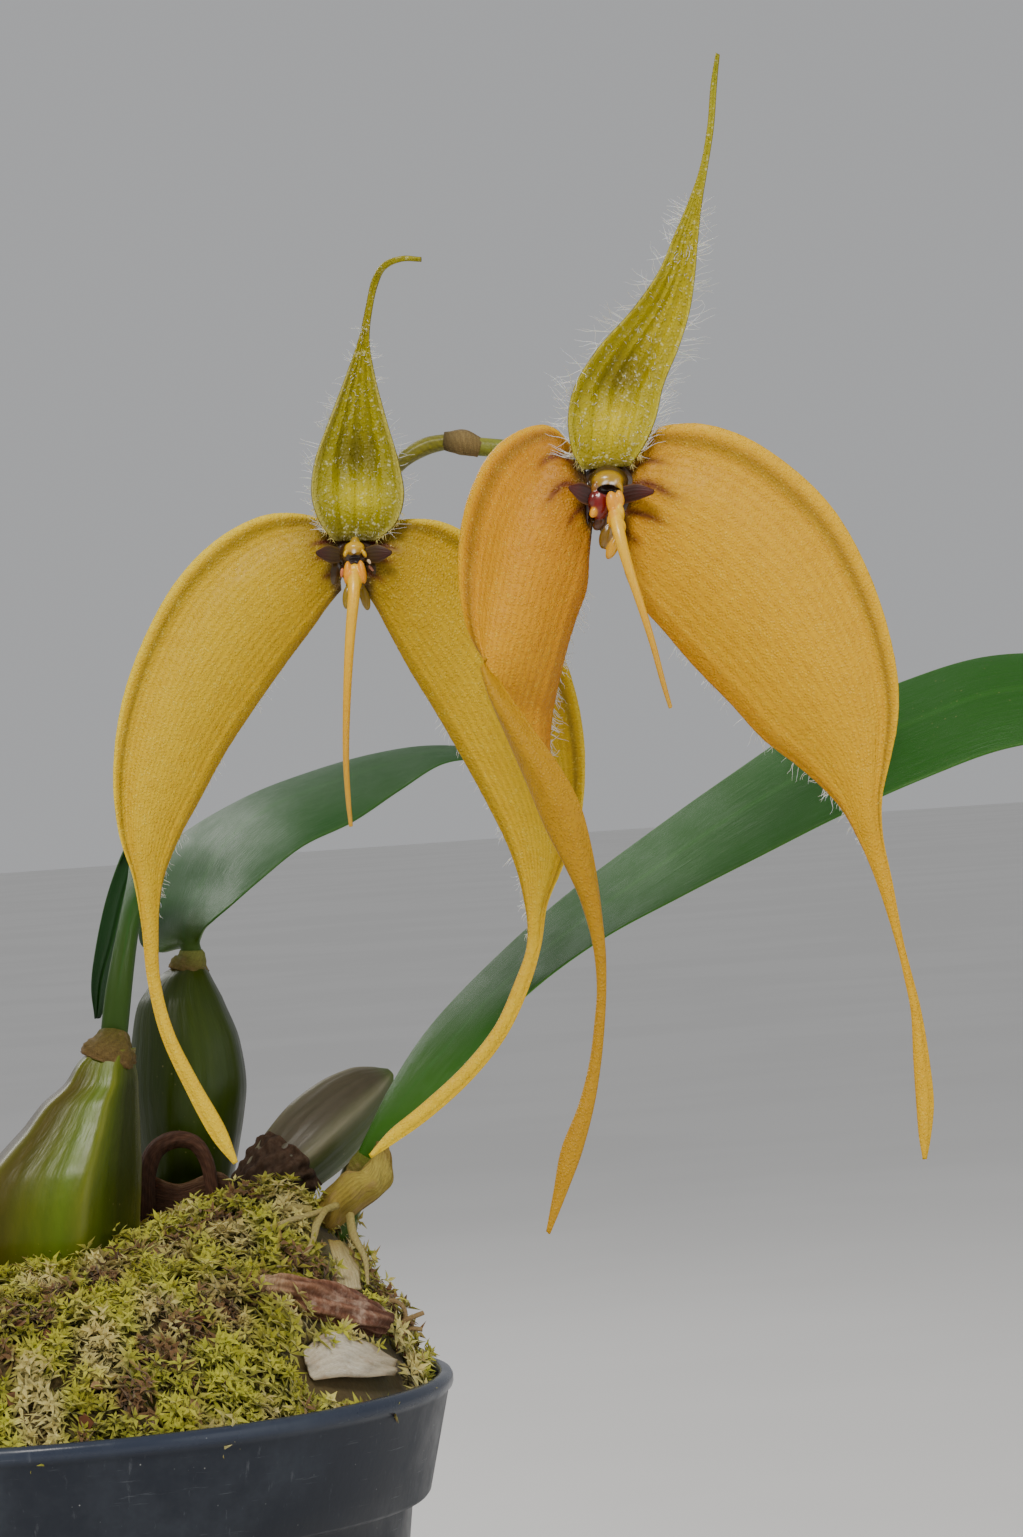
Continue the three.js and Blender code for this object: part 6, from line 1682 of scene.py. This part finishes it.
def copies_tree(name, material):
    tree, node, start = new_tree(name, [
        ("Points", "Geometry", None), ("Shapes", "Collection", None), ("Smallest", "Float", 0.7),
        ("Largest", "Float", 1.3), ("Seed", "Int", 1),
    ])
    shapes = node("GeometryNodeCollectionInfo", {
        "Separate Children": True, "Reset Children": True, "Collection": start["Shapes"],
    }, transform_space="RELATIVE")
    slope = node("GeometryNodeInputNamedAttribute", {"Name": "slope"}, data_type="FLOAT_VECTOR")
    lean = node("FunctionNodeAlignRotationToVector", {"Vector": slope}, axis="Z")
    turn = node("FunctionNodeRandomValue", {
        "Min": (-0.8, -0.8, -3.1416), "Max": (0.8, 0.8, 3.1416), "Seed": start["Seed"],
    }, data_type="FLOAT_VECTOR")
    local = node("FunctionNodeEulerToRotation", {"Euler": turn})
    spin = node("FunctionNodeRotateRotation", {"Rotation": lean, "Rotate By": local}, rotation_space="LOCAL")
    size = node("FunctionNodeRandomValue", {
        2: start["Smallest"], 3: start["Largest"], "Seed": start["Seed"],
    }, data_type="FLOAT")
    copies = node("GeometryNodeInstanceOnPoints", {
        "Pick Instance": True, "Points": node("GeometryNodeMeshToPoints", {"Mesh": start["Points"]}),
        "Instance": shapes, "Rotation": spin, "Scale": size.outputs[1],
    })
    real = node("GeometryNodeRealizeInstances", {"Geometry": copies})
    finish = node("GeometryNodeSetMaterial", {"Geometry": real, "Material": material})
    node("NodeGroupOutput", {"Result": finish})
    return tree


def grown(name, tree, points, attributes, values):
    """Runs a tree on bare points that carry attributes, and makes the result a plain mesh."""
    mesh = bpy.data.meshes.new(name + "_points")
    mesh.from_pydata((points * MM).tolist(), [], [])
    for label, numbers in attributes.items():
        kind, field = ("FLOAT_VECTOR", "vector") if numbers.ndim == 2 else ("FLOAT", "value")
        mesh.attributes.new(label, kind, "POINT").data.foreach_set(field, numbers.ravel())
    source = placed(name + "_points", mesh)
    grow = source.modifiers.new("grow", "NODES")
    grow.node_group = tree
    for item in tree.interface.items_tree:
        if item.name in values:
            grow[item.identifier] = values[item.name]
    return placed(name, plain_mesh(source))


def shelf_of(name, shapes):
    """Moves a few shapes from the scene's own collection to one that a tree can pick from."""
    shelf = bpy.data.collections.new(name)
    bpy.context.scene.collection.children.link(shelf)
    for shape in shapes:
        shelf.objects.link(shape)
        bpy.context.scene.collection.objects.unlink(shape)
    return shelf


def clear_shelf(shelf):
    for shape in list(shelf.objects):
        bpy.data.objects.remove(shape)
    bpy.data.collections.remove(shelf)


sprig_tree = copies_tree("sprigs_on_points", moss_skin)
sprig_shelf = shelf_of("sprig_shelf", sprig_shapes)
print("sprig tree has", len(sprig_tree.nodes), "nodes")

# %% Where the sprigs stand
FRONT_SPRIGS, BACK_SPRIGS, SPRIG_REACH = 2700, 1400, 60.8
BULB_FEET = [(-17, -20, 15), (2, 6, 12), (43, 5, 5)]
BARK_SECTIONS = [
    [35.4, -27.6, 118.4, 1.6], [37.6, -26.8, 117.6, 2.7], [42.6, -23.8, 115.6, 3.1],
    [47.4, -20.4, 113.4, 3], [51.8, -17, 111.3, 2.9], [54.6, -14.6, 109.8, 2.2],
]
DEAD_LEAF_ROWS = [
    [[42.2, -34, 108.4], [42.6, -36.2, 106.4], [43.6, -37.6, 103.9]],
    [[46, -29.4, 110.4], [46.8, -32.6, 107.6], [47.6, -34.4, 103.8]],
    [[50.6, -25, 108.6], [51.2, -27.8, 105.8], [51.8, -29.4, 102.9]],
    [[56, -17.4, 104.4], [56.2, -19.4, 103.2], [56.2, -21, 102]],
]
HANGING_SHEATH_ROWS = [
    [[45, -5.2, 122.7], [46.6, -7.2, 123.2], [48.3, -4.4, 122.4]],
    [[45.3, -8, 120.6], [47.6, -10, 120.6], [49.8, -6.5, 120.6]],
    [[45.8, -11.4, 118], [48.4, -12.8, 118.2], [51, -9.6, 118]],
    [[46.6, -14.2, 115.4], [49, -15.2, 115.6], [51.4, -12.4, 115.2]],
]
OPEN_LITTER = [
    [row[:3] for row in BARK_SECTIONS],
    [row[1] for row in DEAD_LEAF_ROWS],
    [row[1] for row in HANGING_SHEATH_ROWS],
]
LITTER_REACH = [2.8, 2.6, 3.0]
TUFT_SIZE, BROWN_TUFTS = 3.1, 0.93
TUFT_MIX = np.array([12.99, 78.23, 37.7])


def on_litter(x, y, z):
    for path, reach in zip(OPEN_LITTER, LITTER_REACH):
        line = rail(path, np.linspace(0, 1, 16))
        if np.min(np.hypot(line[:, 0] - x, line[:, 1] - y)) < reach and np.max(line[:, 2]) > z - 3:
            return True
    return False


def sprig_places(count, half, seed):
    local = np.random.default_rng(seed)
    places = []
    while len(places) < count:
        radius, turn = SPRIG_REACH * math.sqrt(local.random()), 2 * math.pi * local.random()
        x, y = radius * math.cos(turn), radius * math.sin(turn)
        in_front = y < 0
        if in_front != (half == "front"):
            continue
        if any(math.hypot(x - bx, y - by) < reach for bx, by, reach in BULB_FEET):
            continue
        if on_litter(x, y, float(moss_height(x, y))):
            continue
        places.append((x, y))
    spots = np.array(places)
    x, y = spots.T
    z = moss_height(x, y)
    slope_x = (moss_height(x + 0.5, y) - moss_height(x - 0.5, y))
    slope_y = (moss_height(x, y + 0.5) - moss_height(x, y - 0.5))
    slope = np.stack([-slope_x, -slope_y, np.ones(count)], axis=1)
    slope[:, 2] = np.maximum(slope[:, 2], 0.35 * np.hypot(slope_x, slope_y))
    lift = local.uniform(-0.9, 0.9, count)
    return np.stack([x, y, z + lift], axis=1), slope / np.linalg.norm(slope, axis=1, keepdims=True)


def moss_colour(points):
    x, y, z = points.T
    patch = 0.5 + 0.5 * np.sin(0.33 * x + 0.9) * np.sin(0.29 * y + 0.11 * x - 0.6)
    fine = 0.5 + 0.5 * np.sin(1.3 * x - 0.4) * np.sin(1.5 * y + 2 * z)
    green = blend_colours(tone("a4a818"), tone("d6d050"), fine)
    straw = blend_colours(tone("c8b460"), tone("ecdf98"), fine)
    return blend_colours(green, straw, smoothstep(0.45, 0.85, patch))


def moss_sprigs(name, count, half, seed):
    points, slope = sprig_places(count, half, seed)
    piece = grown(name, sprig_tree, points, {"slope": slope}, {
        "Shapes": sprig_shelf, "Smallest": 0.6, "Largest": 1.5, "Seed": seed,
    })
    corners = points_of(piece.data) / MM
    light = np.ones(len(corners))
    piece.data.attributes["self_shade_lightness"].data.foreach_get("value", light)
    wobble = 0.5 + 0.5 * np.sin(np.round(corners / TUFT_SIZE) @ TUFT_MIX)
    above = corners[:, 2] - moss_height(corners[:, 0], corners[:, 1])
    # Painted shade: sprig points that sink below the mat's height are darkened.
    hollow_shade = 0.45 + 0.55 * smoothstep(-0.6, 1.8, above)
    fresh = moss_colour(corners) * ((0.3 + 0.6 * light + 0.35 * (wobble - 0.5)) * hollow_shade)[:, None]
    brown = tone("7a5a38") * (0.4 + 0.6 * light)[:, None]
    paint_points(piece.data, np.where((wobble > BROWN_TUFTS)[:, None], brown, fresh))
    return hand_over(piece, moss_skin, "sphagnum_moss")


moss_sprigs("moss_sprigs_front", FRONT_SPRIGS, "front", 5)
moss_sprigs("moss_sprigs_back", BACK_SPRIGS, "back", 6)
clear_shelf(sprig_shelf)

# %% [markdown]
# ## Dry things on the moss
#
# Old sheaths, a scrap of dead leaf, a chip of bark and fine roots lie between the sprigs.
# They are thin curled blades and bent stalks again, with crumpled relief and torn ends, and
# a little finer than the solids that hold their places.

# %% Dry blades
PAPERY_BRACT_ROWS = [
    [[43.8, -3, 127], [45.7, -6.5, 125.5], [47.4, -2, 124.3]],
    [[46.1, -2, 131], [48.4, -6.5, 128.9], [50.3, 0, 126.2]],
    [[49.4, -2, 133.6], [51.7, -6, 131.4], [54.6, -1, 128.9]],
    [[52.4, -3, 133.6], [54.4, -5, 133], [56.9, -2, 131]],
    [[54, -3, 135.8], [55.6, -4, 135.8], [57.4, -2.5, 134.4]],
    [[55, -3, 138.2], [55.9, -3.5, 138.5], [56.6, -3, 138]],
]
BASAL_SHEATH_ROWS = [
    [[12.9, 22, 122], [13.6, 21, 127], [14.6, 20.4, 133]],
    [[15.6, 16.8, 121.4], [15.4, 15.6, 127.4], [15.6, 15.4, 134.6]],
    [[20.6, 14.8, 121.4], [20.6, 13.9, 127.4], [20.8, 14.6, 132.4]],
    [[26.4, 16.8, 121.4], [27, 15.8, 127], [27.4, 15.6, 134]],
    [[29.4, 21.6, 121.4], [30.6, 20.6, 126], [31, 19.8, 130.6]],
]


DRY_THICKNESS = 0.45


def crumpled(folds, depth, seed):
    local = np.random.default_rng(seed)
    ranges = ((4, 26), (3, 18), (0, 6.28), (0.3, 1))
    waves = [[local.uniform(low, high) for low, high in ranges] for _ in range(7)]

    def lift(u, v, width):
        crease = sum(size * np.sin(a * u + b * v + c) for a, b, c, size in waves) / 3
        fibre = 0.25 * np.sin(2 * np.pi * folds * v + 3 * np.sin(5 * u))
        return depth * (crease + fibre)
    return lift


def dry_paint(steps, fibre_tone, edge_tone, count):
    def paint(u, v, side, wide):
        fibres = (0.5 + 0.5 * np.sin(2 * np.pi * count * v + 3 * np.sin(5 * u))) ** 2
        rough_edge = smoothstep(0.1, 0.0, np.minimum(v, 1 - v)) + smoothstep(0.95, 1.0, u)
        edge_share = np.clip(0.6 * rough_edge, 0, 1)
        return layered(shades(steps, u), (fibre_tone, 0.45 * fibres), (edge_tone, edge_share))
    return paint


def dry_blade(name, rows, lift, paint, material, slot):
    piece = blade(name + "_blade", rows, 60, 30, DRY_THICKNESS, lift, paint, thin=0.5)
    return hand_over(piece, material, slot, name)


dry_blade("papery_bract", PAPERY_BRACT_ROWS, crumpled(9, 0.5, 21), dry_paint(
    [(0, "8a7030"), (0.3, "a8963c"), (0.7, "c4b458"), (1, "9a8440")], "6e5c20", "5c4418", 11),
    papery_skin, "dry_papery")
dry_blade("hanging_sheath", HANGING_SHEATH_ROWS, crumpled(7, 0.2, 22), dry_paint(
    [(0, "a8964c"), (0.3, "c8ba84"), (1, "dccfa4")], "94824c", "7a6434", 10), papery_skin, "dry_pale")
dry_blade("dead_leaf_scrap", DEAD_LEAF_ROWS, crumpled(5, 0.3, 23), dry_paint(
    [(0, "dcd2ba"), (0.5, "e6dfcb"), (1, "cfc2a4")], "bfb090", "9a8560", 7), papery_skin, "dry_pale")
dry_blade("basal_sheath", BASAL_SHEATH_ROWS, crumpled(12, 0.22, 24), dry_paint(
    [(0, "3c281c"), (0.5, "5a4030"), (1, "7a5c44")], "2c1c12", "8c7258", 17), fibrous_skin, "dry_brown")

# %% The old stalk, the bark and the roots
OLD_STALK = [
    [15.7, 9, 118.5], [15.4, 10, 124.6], [15.4, 11, 130.4], [16, 12, 135.3], [17.8, 12.5, 138.7],
    [20.9, 13, 140], [24.1, 13, 139.2], [25.9, 13, 136.2], [26.6, 12.5, 131.2], [26.9, 12, 123],
]
ROOTLET_PATHS = [
    [[54.8, -7, 104.4], [54.6, -7.4, 108.6], [54.4, -7.6, 111.2], [56, -7.4, 112.6], [57.8, -7, 111.2],
      [58, -6.6, 108]],
    [[56.4, -7, 106], [57.6, -7.2, 108.9], [59.2, -7, 109.6], [61, -6.6, 110.2]],
    [[56.6, -6.6, 105.6], [58.2, -6.2, 107.6], [60.6, -6, 107.4]],
]
RHIZOME = [
    [-8, -18, 112], [0, -10, 115.2], [8, 3, 115.4], [14, 16, 115], [19.5, 24.6, 114.2],
    [25, 26, 115.2], [30, 20.5, 117.8], [33, 12, 120.2], [36.5, 5.5, 121], [42, 2.6, 118.6],
    [47.5, 2.4, 115.4], [52, 5, 112.8],
]


def fibrous(count, depth):
    def shape(angle, u):
        return 1 + depth * (np.sin(count * angle + 4 * u) + 0.5 * np.sin(2.7 * count * angle - 11 * u))
    return shape


def bark_shape(angle, u):
    slab = 1 + 0.16 * np.sin(3 * angle + 7 * u) + 0.1 * np.sin(5 * angle + 20 * u)
    plates = 0.05 * np.sign(np.sin(11 * angle + 3 * u)) * np.abs(np.sin(11 * angle + 3 * u)) ** 0.4
    return slab + plates + 0.03 * np.sin(29 * angle + 37 * u)


def bark_tones(u, angle):
    colour = shades([(0, "c9b08c"), (0.16, "c0a07c"), (0.3, "8f6248"), (0.7, "7c5240"), (1, "5e3c2c")], u)
    plates = 0.5 + 0.5 * np.sin(11 * angle + 3 * u)
    high = smoothstep(0.75, 1.0, plates)
    return layered(colour, ("4a2e20", 0.6 * (1 - plates) ** 2), ("b08c72", 0.4 * high))


OLD_STALK_RADII = [1.5, 1.7, 1.6, 1.5, 1.4, 1.4, 1.3, 1.2, 1.1, 1.1]
old_stalk = stalk("old_flower_stalk_stem", OLD_STALK, OLD_STALK_RADII, 26, 130,
                  fibrous(6, 0.07), speckled([(0, "4c3222"), (0.5, "5e4030"), (1, "6e4c3a")], "2a1a12", 0.6))
hand_over(old_stalk, fibrous_skin, "dry_brown", "old_flower_stalk")
bark = stalk("bark_chip_slab", [row[:3] for row in BARK_SECTIONS], [row[3] for row in BARK_SECTIONS], 70, 90,
             bark_shape, bark_tones)
hand_over(bark, bark_skin, "bark_chip", "bark_chip")
roots = [
    stalk(f"root_{k}", path, [0.4] * len(path), 8, 40, fibrous(2, 0.12),
          speckled([(0, "9a7c50"), (1, "b8a070")], "5c4426", 0.5))
    for k, path in enumerate(ROOTLET_PATHS)
]
hand_over(merge("dry_rootlets_tangle", roots), papery_skin, "dry_papery", "dry_rootlets")
creeper = stalk("rhizome_stem", RHIZOME, [2.7] * len(RHIZOME), 30, 150, fibrous(5, 0.06),
                speckled([(0, "5a4630"), (1, "4c3a26")], "281a10", 0.6))
hand_over(creeper, fibrous_skin, "rhizome_brown", "rhizome")

# %% [markdown]
# A few pale threads, the veins that stay when a sheath rots, run over the moss beside the
# papery bract, and small brown flakes of bark lie everywhere. The flakes use the same tree
# of copies as the sprigs, with another shelf of shapes.

# %% Threads and flakes
THREADS = [
    [(48, -6.5, 128.6), (44, -10, 127.9), (40, -12.6, 127.2), (36, -14, 126.2)],
    [(46, -8.6, 128.2), (44.6, -11.6, 126), (44, -14.4, 123.8), (42.4, -17.4, 121.6)],
    [(50, -6, 127), (50.6, -9, 123.6), (52.2, -11, 120), (52.4, -13, 116)],
    [(44, -9.4, 128.4), (41, -9.6, 129), (37.6, -9.4, 128.6), (34.6, -10.6, 127.6)],
]
threads = [
    stalk(f"thread_{k}", path, [0.75, 0.55, 0.45, 0.25], 8, 40, fibrous(2, 0.2),
          speckled([(0, "b4a860"), (1, "cfc48a")], "7a6830", 0.5))
    for k, path in enumerate(THREADS)
]
hand_over(merge("straw_threads", threads), papery_skin, "dry_papery")


def flake(name, points_mm):
    top = [(x, y, 0.25) for x, y in points_mm]
    low = [(0.8 * x, 0.8 * y, -0.15) for x, y in points_mm]
    count = len(points_mm)
    faces = [tuple(range(count)), tuple(reversed(range(count, 2 * count)))]
    faces += [(k, k + count, (k + 1) % count + count, (k + 1) % count) for k in range(count)]
    mesh = bpy.data.meshes.new(name)
    mesh.from_pydata([(x * MM, y * MM, z * MM) for x, y, z in top + low], [], faces)
    return placed(name, mesh)


flake_tree = copies_tree("flakes_on_points", bark_skin)
flake_shelf = shelf_of("flake_shelf", [
    flake("flake_long", [(-2.2, -0.5), (1.4, -0.7), (2.4, 0.1), (0.8, 0.6), (-1.8, 0.5)]),
    flake("flake_round", [(-1.1, -0.8), (0.9, -0.9), (1.4, 0.3), (0.2, 1.0), (-1.2, 0.5)]),
])
FLAKE_LIFT, FLAKE_PATCH = 1.1, 5
halves = [sprig_places(90, "front", 61), sprig_places(50, "back", 62)]
spots, slopes = (np.concatenate([half[k] for half in halves]) for k in range(2))
spots[:, 2] += FLAKE_LIFT
bark_flakes = grown("bark_flakes", flake_tree, spots, {"slope": slopes}, {
    "Shapes": flake_shelf, "Smallest": 0.5, "Largest": 1.3, "Seed": 9,
})
patch = np.sin(np.round(points_of(bark_flakes.data) / MM / FLAKE_PATCH) @ TUFT_MIX)
paint_points(bark_flakes.data, blend_colours(tone("6a4228"), tone("b09068"), smoothstep(-0.4, 0.9, patch)))
hand_over(bark_flakes, bark_skin, "bark_chip")
clear_shelf(flake_shelf)

# %% [markdown]
# ## Hairs
#
# White glassy hairs stand along both margins of the hooded sepals and curl behind the inner
# margins of the yellow ones. Geometry Nodes grow them all: each point of a bare mesh carries
# a direction and a length, and the tree puts a short curve there, bends it with noise that
# grows towards its tip, and sweeps a three-sided profile along it. Blender's hair curves
# would be easier to comb, but they don't survive as a plain mesh.

# %% A tree that grows hairs
def hair_tree(name, material):
    tree, node, start = new_tree(name, [
        ("Points", "Geometry", None), ("Thickness", "Float", 0.00006), ("Curl", "Float", 0.0012),
        ("Curl Scale", "Float", 500.0), ("Steps", "Int", 7), ("Seed", "Int", 1),
    ])

    def calc(operation, first, second):
        return node("ShaderNodeMath", {0: first, 1: second}, operation=operation)

    line = node("GeometryNodeCurvePrimitiveLine", {"End": (0, 0, 1)})
    fine = node("GeometryNodeResampleCurve", {"Curve": line, "Count": start["Steps"]})
    outward = node("GeometryNodeInputNamedAttribute", {"Name": "outward"}, data_type="FLOAT_VECTOR")
    long = node("GeometryNodeInputNamedAttribute", {"Name": "long"}, data_type="FLOAT")
    standing = node("GeometryNodeInstanceOnPoints", {
        "Points": node("GeometryNodeMeshToPoints", {"Mesh": start["Points"]}),
        "Instance": fine, "Scale": long,
        "Rotation": node("FunctionNodeAlignRotationToVector", {"Vector": outward}, axis="Z"),
    })
    real = node("GeometryNodeRealizeInstances", {"Geometry": standing})
    along = node("GeometryNodeSplineParameter").outputs["Factor"]
    noise = node("ShaderNodeTexNoise", {
        "Detail": 1.0, "Scale": start["Curl Scale"], "W": start["Seed"],
    }, noise_dimensions="4D")
    colour = noise.outputs["Color"]
    centred = node("ShaderNodeVectorMath", {0: colour, 1: (0.5, 0.5, 0.5)}, operation="SUBTRACT")
    reach = calc("MULTIPLY", calc("POWER", along, 1.3), start["Curl"])
    bend = node("ShaderNodeVectorMath", {0: centred, "Scale": reach}, operation="SCALE")
    bent = node("GeometryNodeSetPosition", {"Geometry": real, "Offset": bend})
    taper = calc("SUBTRACT", 1.0, calc("MULTIPLY", along, 0.72))
    profile = node("GeometryNodeCurvePrimitiveCircle", {"Resolution": 3, "Radius": 1.0}, mode="RADIUS")
    sweep = node("GeometryNodeCurveToMesh", {
        "Fill Caps": True, "Curve": bent, "Profile Curve": profile,
        "Scale": calc("MULTIPLY", taper, start["Thickness"]),
    })
    whole = node("GeometryNodeRealizeInstances", {"Geometry": sweep})
    finish = node("GeometryNodeSetMaterial", {"Geometry": whole, "Material": material})
    node("NodeGroupOutput", {"Result": finish})
    return tree


white_hairs = hair_tree("white_hairs", white_hair)
straw_hairs = hair_tree("straw_hairs", straw_hair)


def grow_hairs(name, tree, material, slot, roots, thickness, curl, curl_scale, seed):
    places, outward, long = (np.concatenate([group[k] for group in roots]) for k in range(3))
    hairs = grown(name, tree, places, {"outward": outward, "long": long * MM}, {
        "Thickness": thickness * MM, "Curl": curl * MM, "Curl Scale": curl_scale, "Seed": seed,
    })
    return hand_over(hairs, material, slot)


print("hair tree has", len(white_hairs.nodes), "nodes")

# %% [markdown]
# The roots of the hairs follow the same rails as the blades. Each root looks outwards from
# the blade's middle, tipped a little towards the blade's own tip, and every hair gets its
# own length and lean, so that the fringe looks grown and not combed.

# %% Roots along a margin
ROOT_LEAN, FACE_LIFT = 0.45, 0.55


def margin_roots(rows, place, edge, count, start, end, long, seed, forward=0.35, depth=0.0):
    local = np.random.default_rng(seed)
    u = np.sort(local.uniform(start, end, count))
    border = [row[edge] for row in rows]
    margin, middle = rail(border, u), rail([row[1] for row in rows], u)
    ahead = rail(border, np.minimum(u + 0.01, 1)) - rail(border, u - 0.01)
    out = margin - middle
    out = out / np.maximum(np.linalg.norm(out, axis=1, keepdims=True), 1e-6)
    ahead = ahead / np.maximum(np.linalg.norm(ahead, axis=1, keepdims=True), 1e-6)
    aim = out + forward * ahead + local.normal(0, ROOT_LEAN, (count, 3)) + np.array([0, depth, 0])
    aim = aim / np.linalg.norm(aim, axis=1, keepdims=True)
    share = np.interp(u, [start, (start + end) / 2, end], [0.8, 1.0, 0.55])
    length = long * share * local.uniform(0.45, 1.15, count)
    return margin + np.array(place), aim, length


def face_roots(rows, place, count, start, end, v_range, long, seed):
    """Short hairs scattered over a blade's front."""
    local = np.random.default_rng(seed)
    u, v = local.uniform(start, end, count), local.uniform(*v_range, count)
    outer, middle, inner = (rail([row[k] for row in rows], u) for k in range(3))
    spot = sheet_point(outer, middle, inner, v[:, None]) + np.array([0, -FACE_LIFT, 0])
    aim = np.array([0, -1.0, 0.2]) + local.normal(0, 0.5, (count, 3))
    aim = aim / np.linalg.norm(aim, axis=1, keepdims=True)
    return spot + np.array(place), aim, long * local.uniform(0.5, 1.2, count)


left_crown = [
    margin_roots(LEFT_DORSAL_ROWS, LEFT_PLACE, 0, 75, 0.03, 0.58, 3.0, 31),
    margin_roots(LEFT_DORSAL_ROWS, LEFT_PLACE, 2, 60, 0.03, 0.55, 2.8, 32),
    face_roots(LEFT_DORSAL_ROWS, LEFT_PLACE, 150, 0.02, 0.6, (0.05, 0.95), 0.5, 33),
]
grow_hairs("left_flower_crown_hairs", white_hairs, white_hair, "sepal_olive", left_crown, 0.06, 1.7, 420, 1)
right_crown = [
    margin_roots(RIGHT_DORSAL_ROWS, RIGHT_PLACE, 0, 120, 0.05, 0.66, 5.0, 34),
    margin_roots(RIGHT_DORSAL_ROWS, RIGHT_PLACE, 2, 105, 0.05, 0.66, 4.6, 35),
    face_roots(RIGHT_DORSAL_ROWS, RIGHT_PLACE, 190, 0.02, 0.6, (0.05, 0.95), 0.6, 36),
]
grow_hairs("right_flower_crown_hairs", white_hairs, white_hair, "sepal_olive", right_crown, 0.07, 2.4, 380, 2)

# %% Hairs behind the yellow sepals
sepal_fringe = [
    margin_roots(LEFT_FLOWER_LEFT_ROWS, LEFT_PLACE, 2, 80, 0.2, 0.62, 1.9, 41, depth=0.5),
    margin_roots(LEFT_FLOWER_RIGHT_ROWS, LEFT_PLACE, 2, 70, 0.2, 0.62, 1.8, 42, depth=0.5),
    margin_roots(RIGHT_FLOWER_LEFT_ROWS, RIGHT_PLACE, 2, 150, 0.1, 0.5, 3.4, 43, depth=0.6),
    margin_roots(RIGHT_FLOWER_RIGHT_ROWS, RIGHT_PLACE, 2, 110, 0.1, 0.58, 2.8, 44, depth=0.6),
]
grow_hairs("sepal_fringe_hairs", white_hairs, white_hair, "sepal_gold", sepal_fringe, 0.06, 2.4, 520, 3)

# %% The yellow fringe over each column
hood_fringe = [
    margin_roots(RIGHT_DORSAL_ROWS, RIGHT_PLACE, 0, 26, 0.0, 0.1, 1.6, 51, forward=-1.2, depth=-0.8),
    margin_roots(RIGHT_DORSAL_ROWS, RIGHT_PLACE, 2, 26, 0.0, 0.1, 1.6, 52, forward=-1.2, depth=-0.8),
    margin_roots(LEFT_DORSAL_ROWS, LEFT_PLACE, 0, 34, 0.0, 0.14, 1.3, 53, forward=-1.2, depth=-0.8),
    margin_roots(LEFT_DORSAL_ROWS, LEFT_PLACE, 2, 34, 0.0, 0.14, 1.3, 54, forward=-1.2, depth=-0.8),
]
grow_hairs("hood_fringe_hairs", straw_hairs, straw_hair, "sepal_olive", hood_fringe, 0.06, 1.0, 420, 4)

# %% [markdown]
# ## Last look
#
# The floor gets a plain pale finish, warm and very slightly uneven, so that it reads as a
# surface without asking for attention. Then the sizes are compared: fine pieces may stand a
# little proud of the solid model, but the plant as a whole keeps its size.

paper = Finish("studio_floor", roughness=0.8, specular=0.2)
floor_tint = paper.mix(paper.band(paper.noise(3, 3), 0.4, 0.6), (0.8, 0.79, 0.77, 1), (0.83, 0.82, 0.8, 1))
floor.data.materials.append(paper.done(floor_tint))

look_low, look_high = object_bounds()
for axis, name in enumerate("XYZ"):
    spare_low = 1000 * (look_low[axis] - cad_low[axis])
    spare_high = 1000 * (look_high[axis] - cad_high[axis])
    print(f"{name}: the plant starts {spare_low:.1f} mm and ends {spare_high:.1f} mm from the model's box")
print("triangles in the new pieces:", added_triangles)
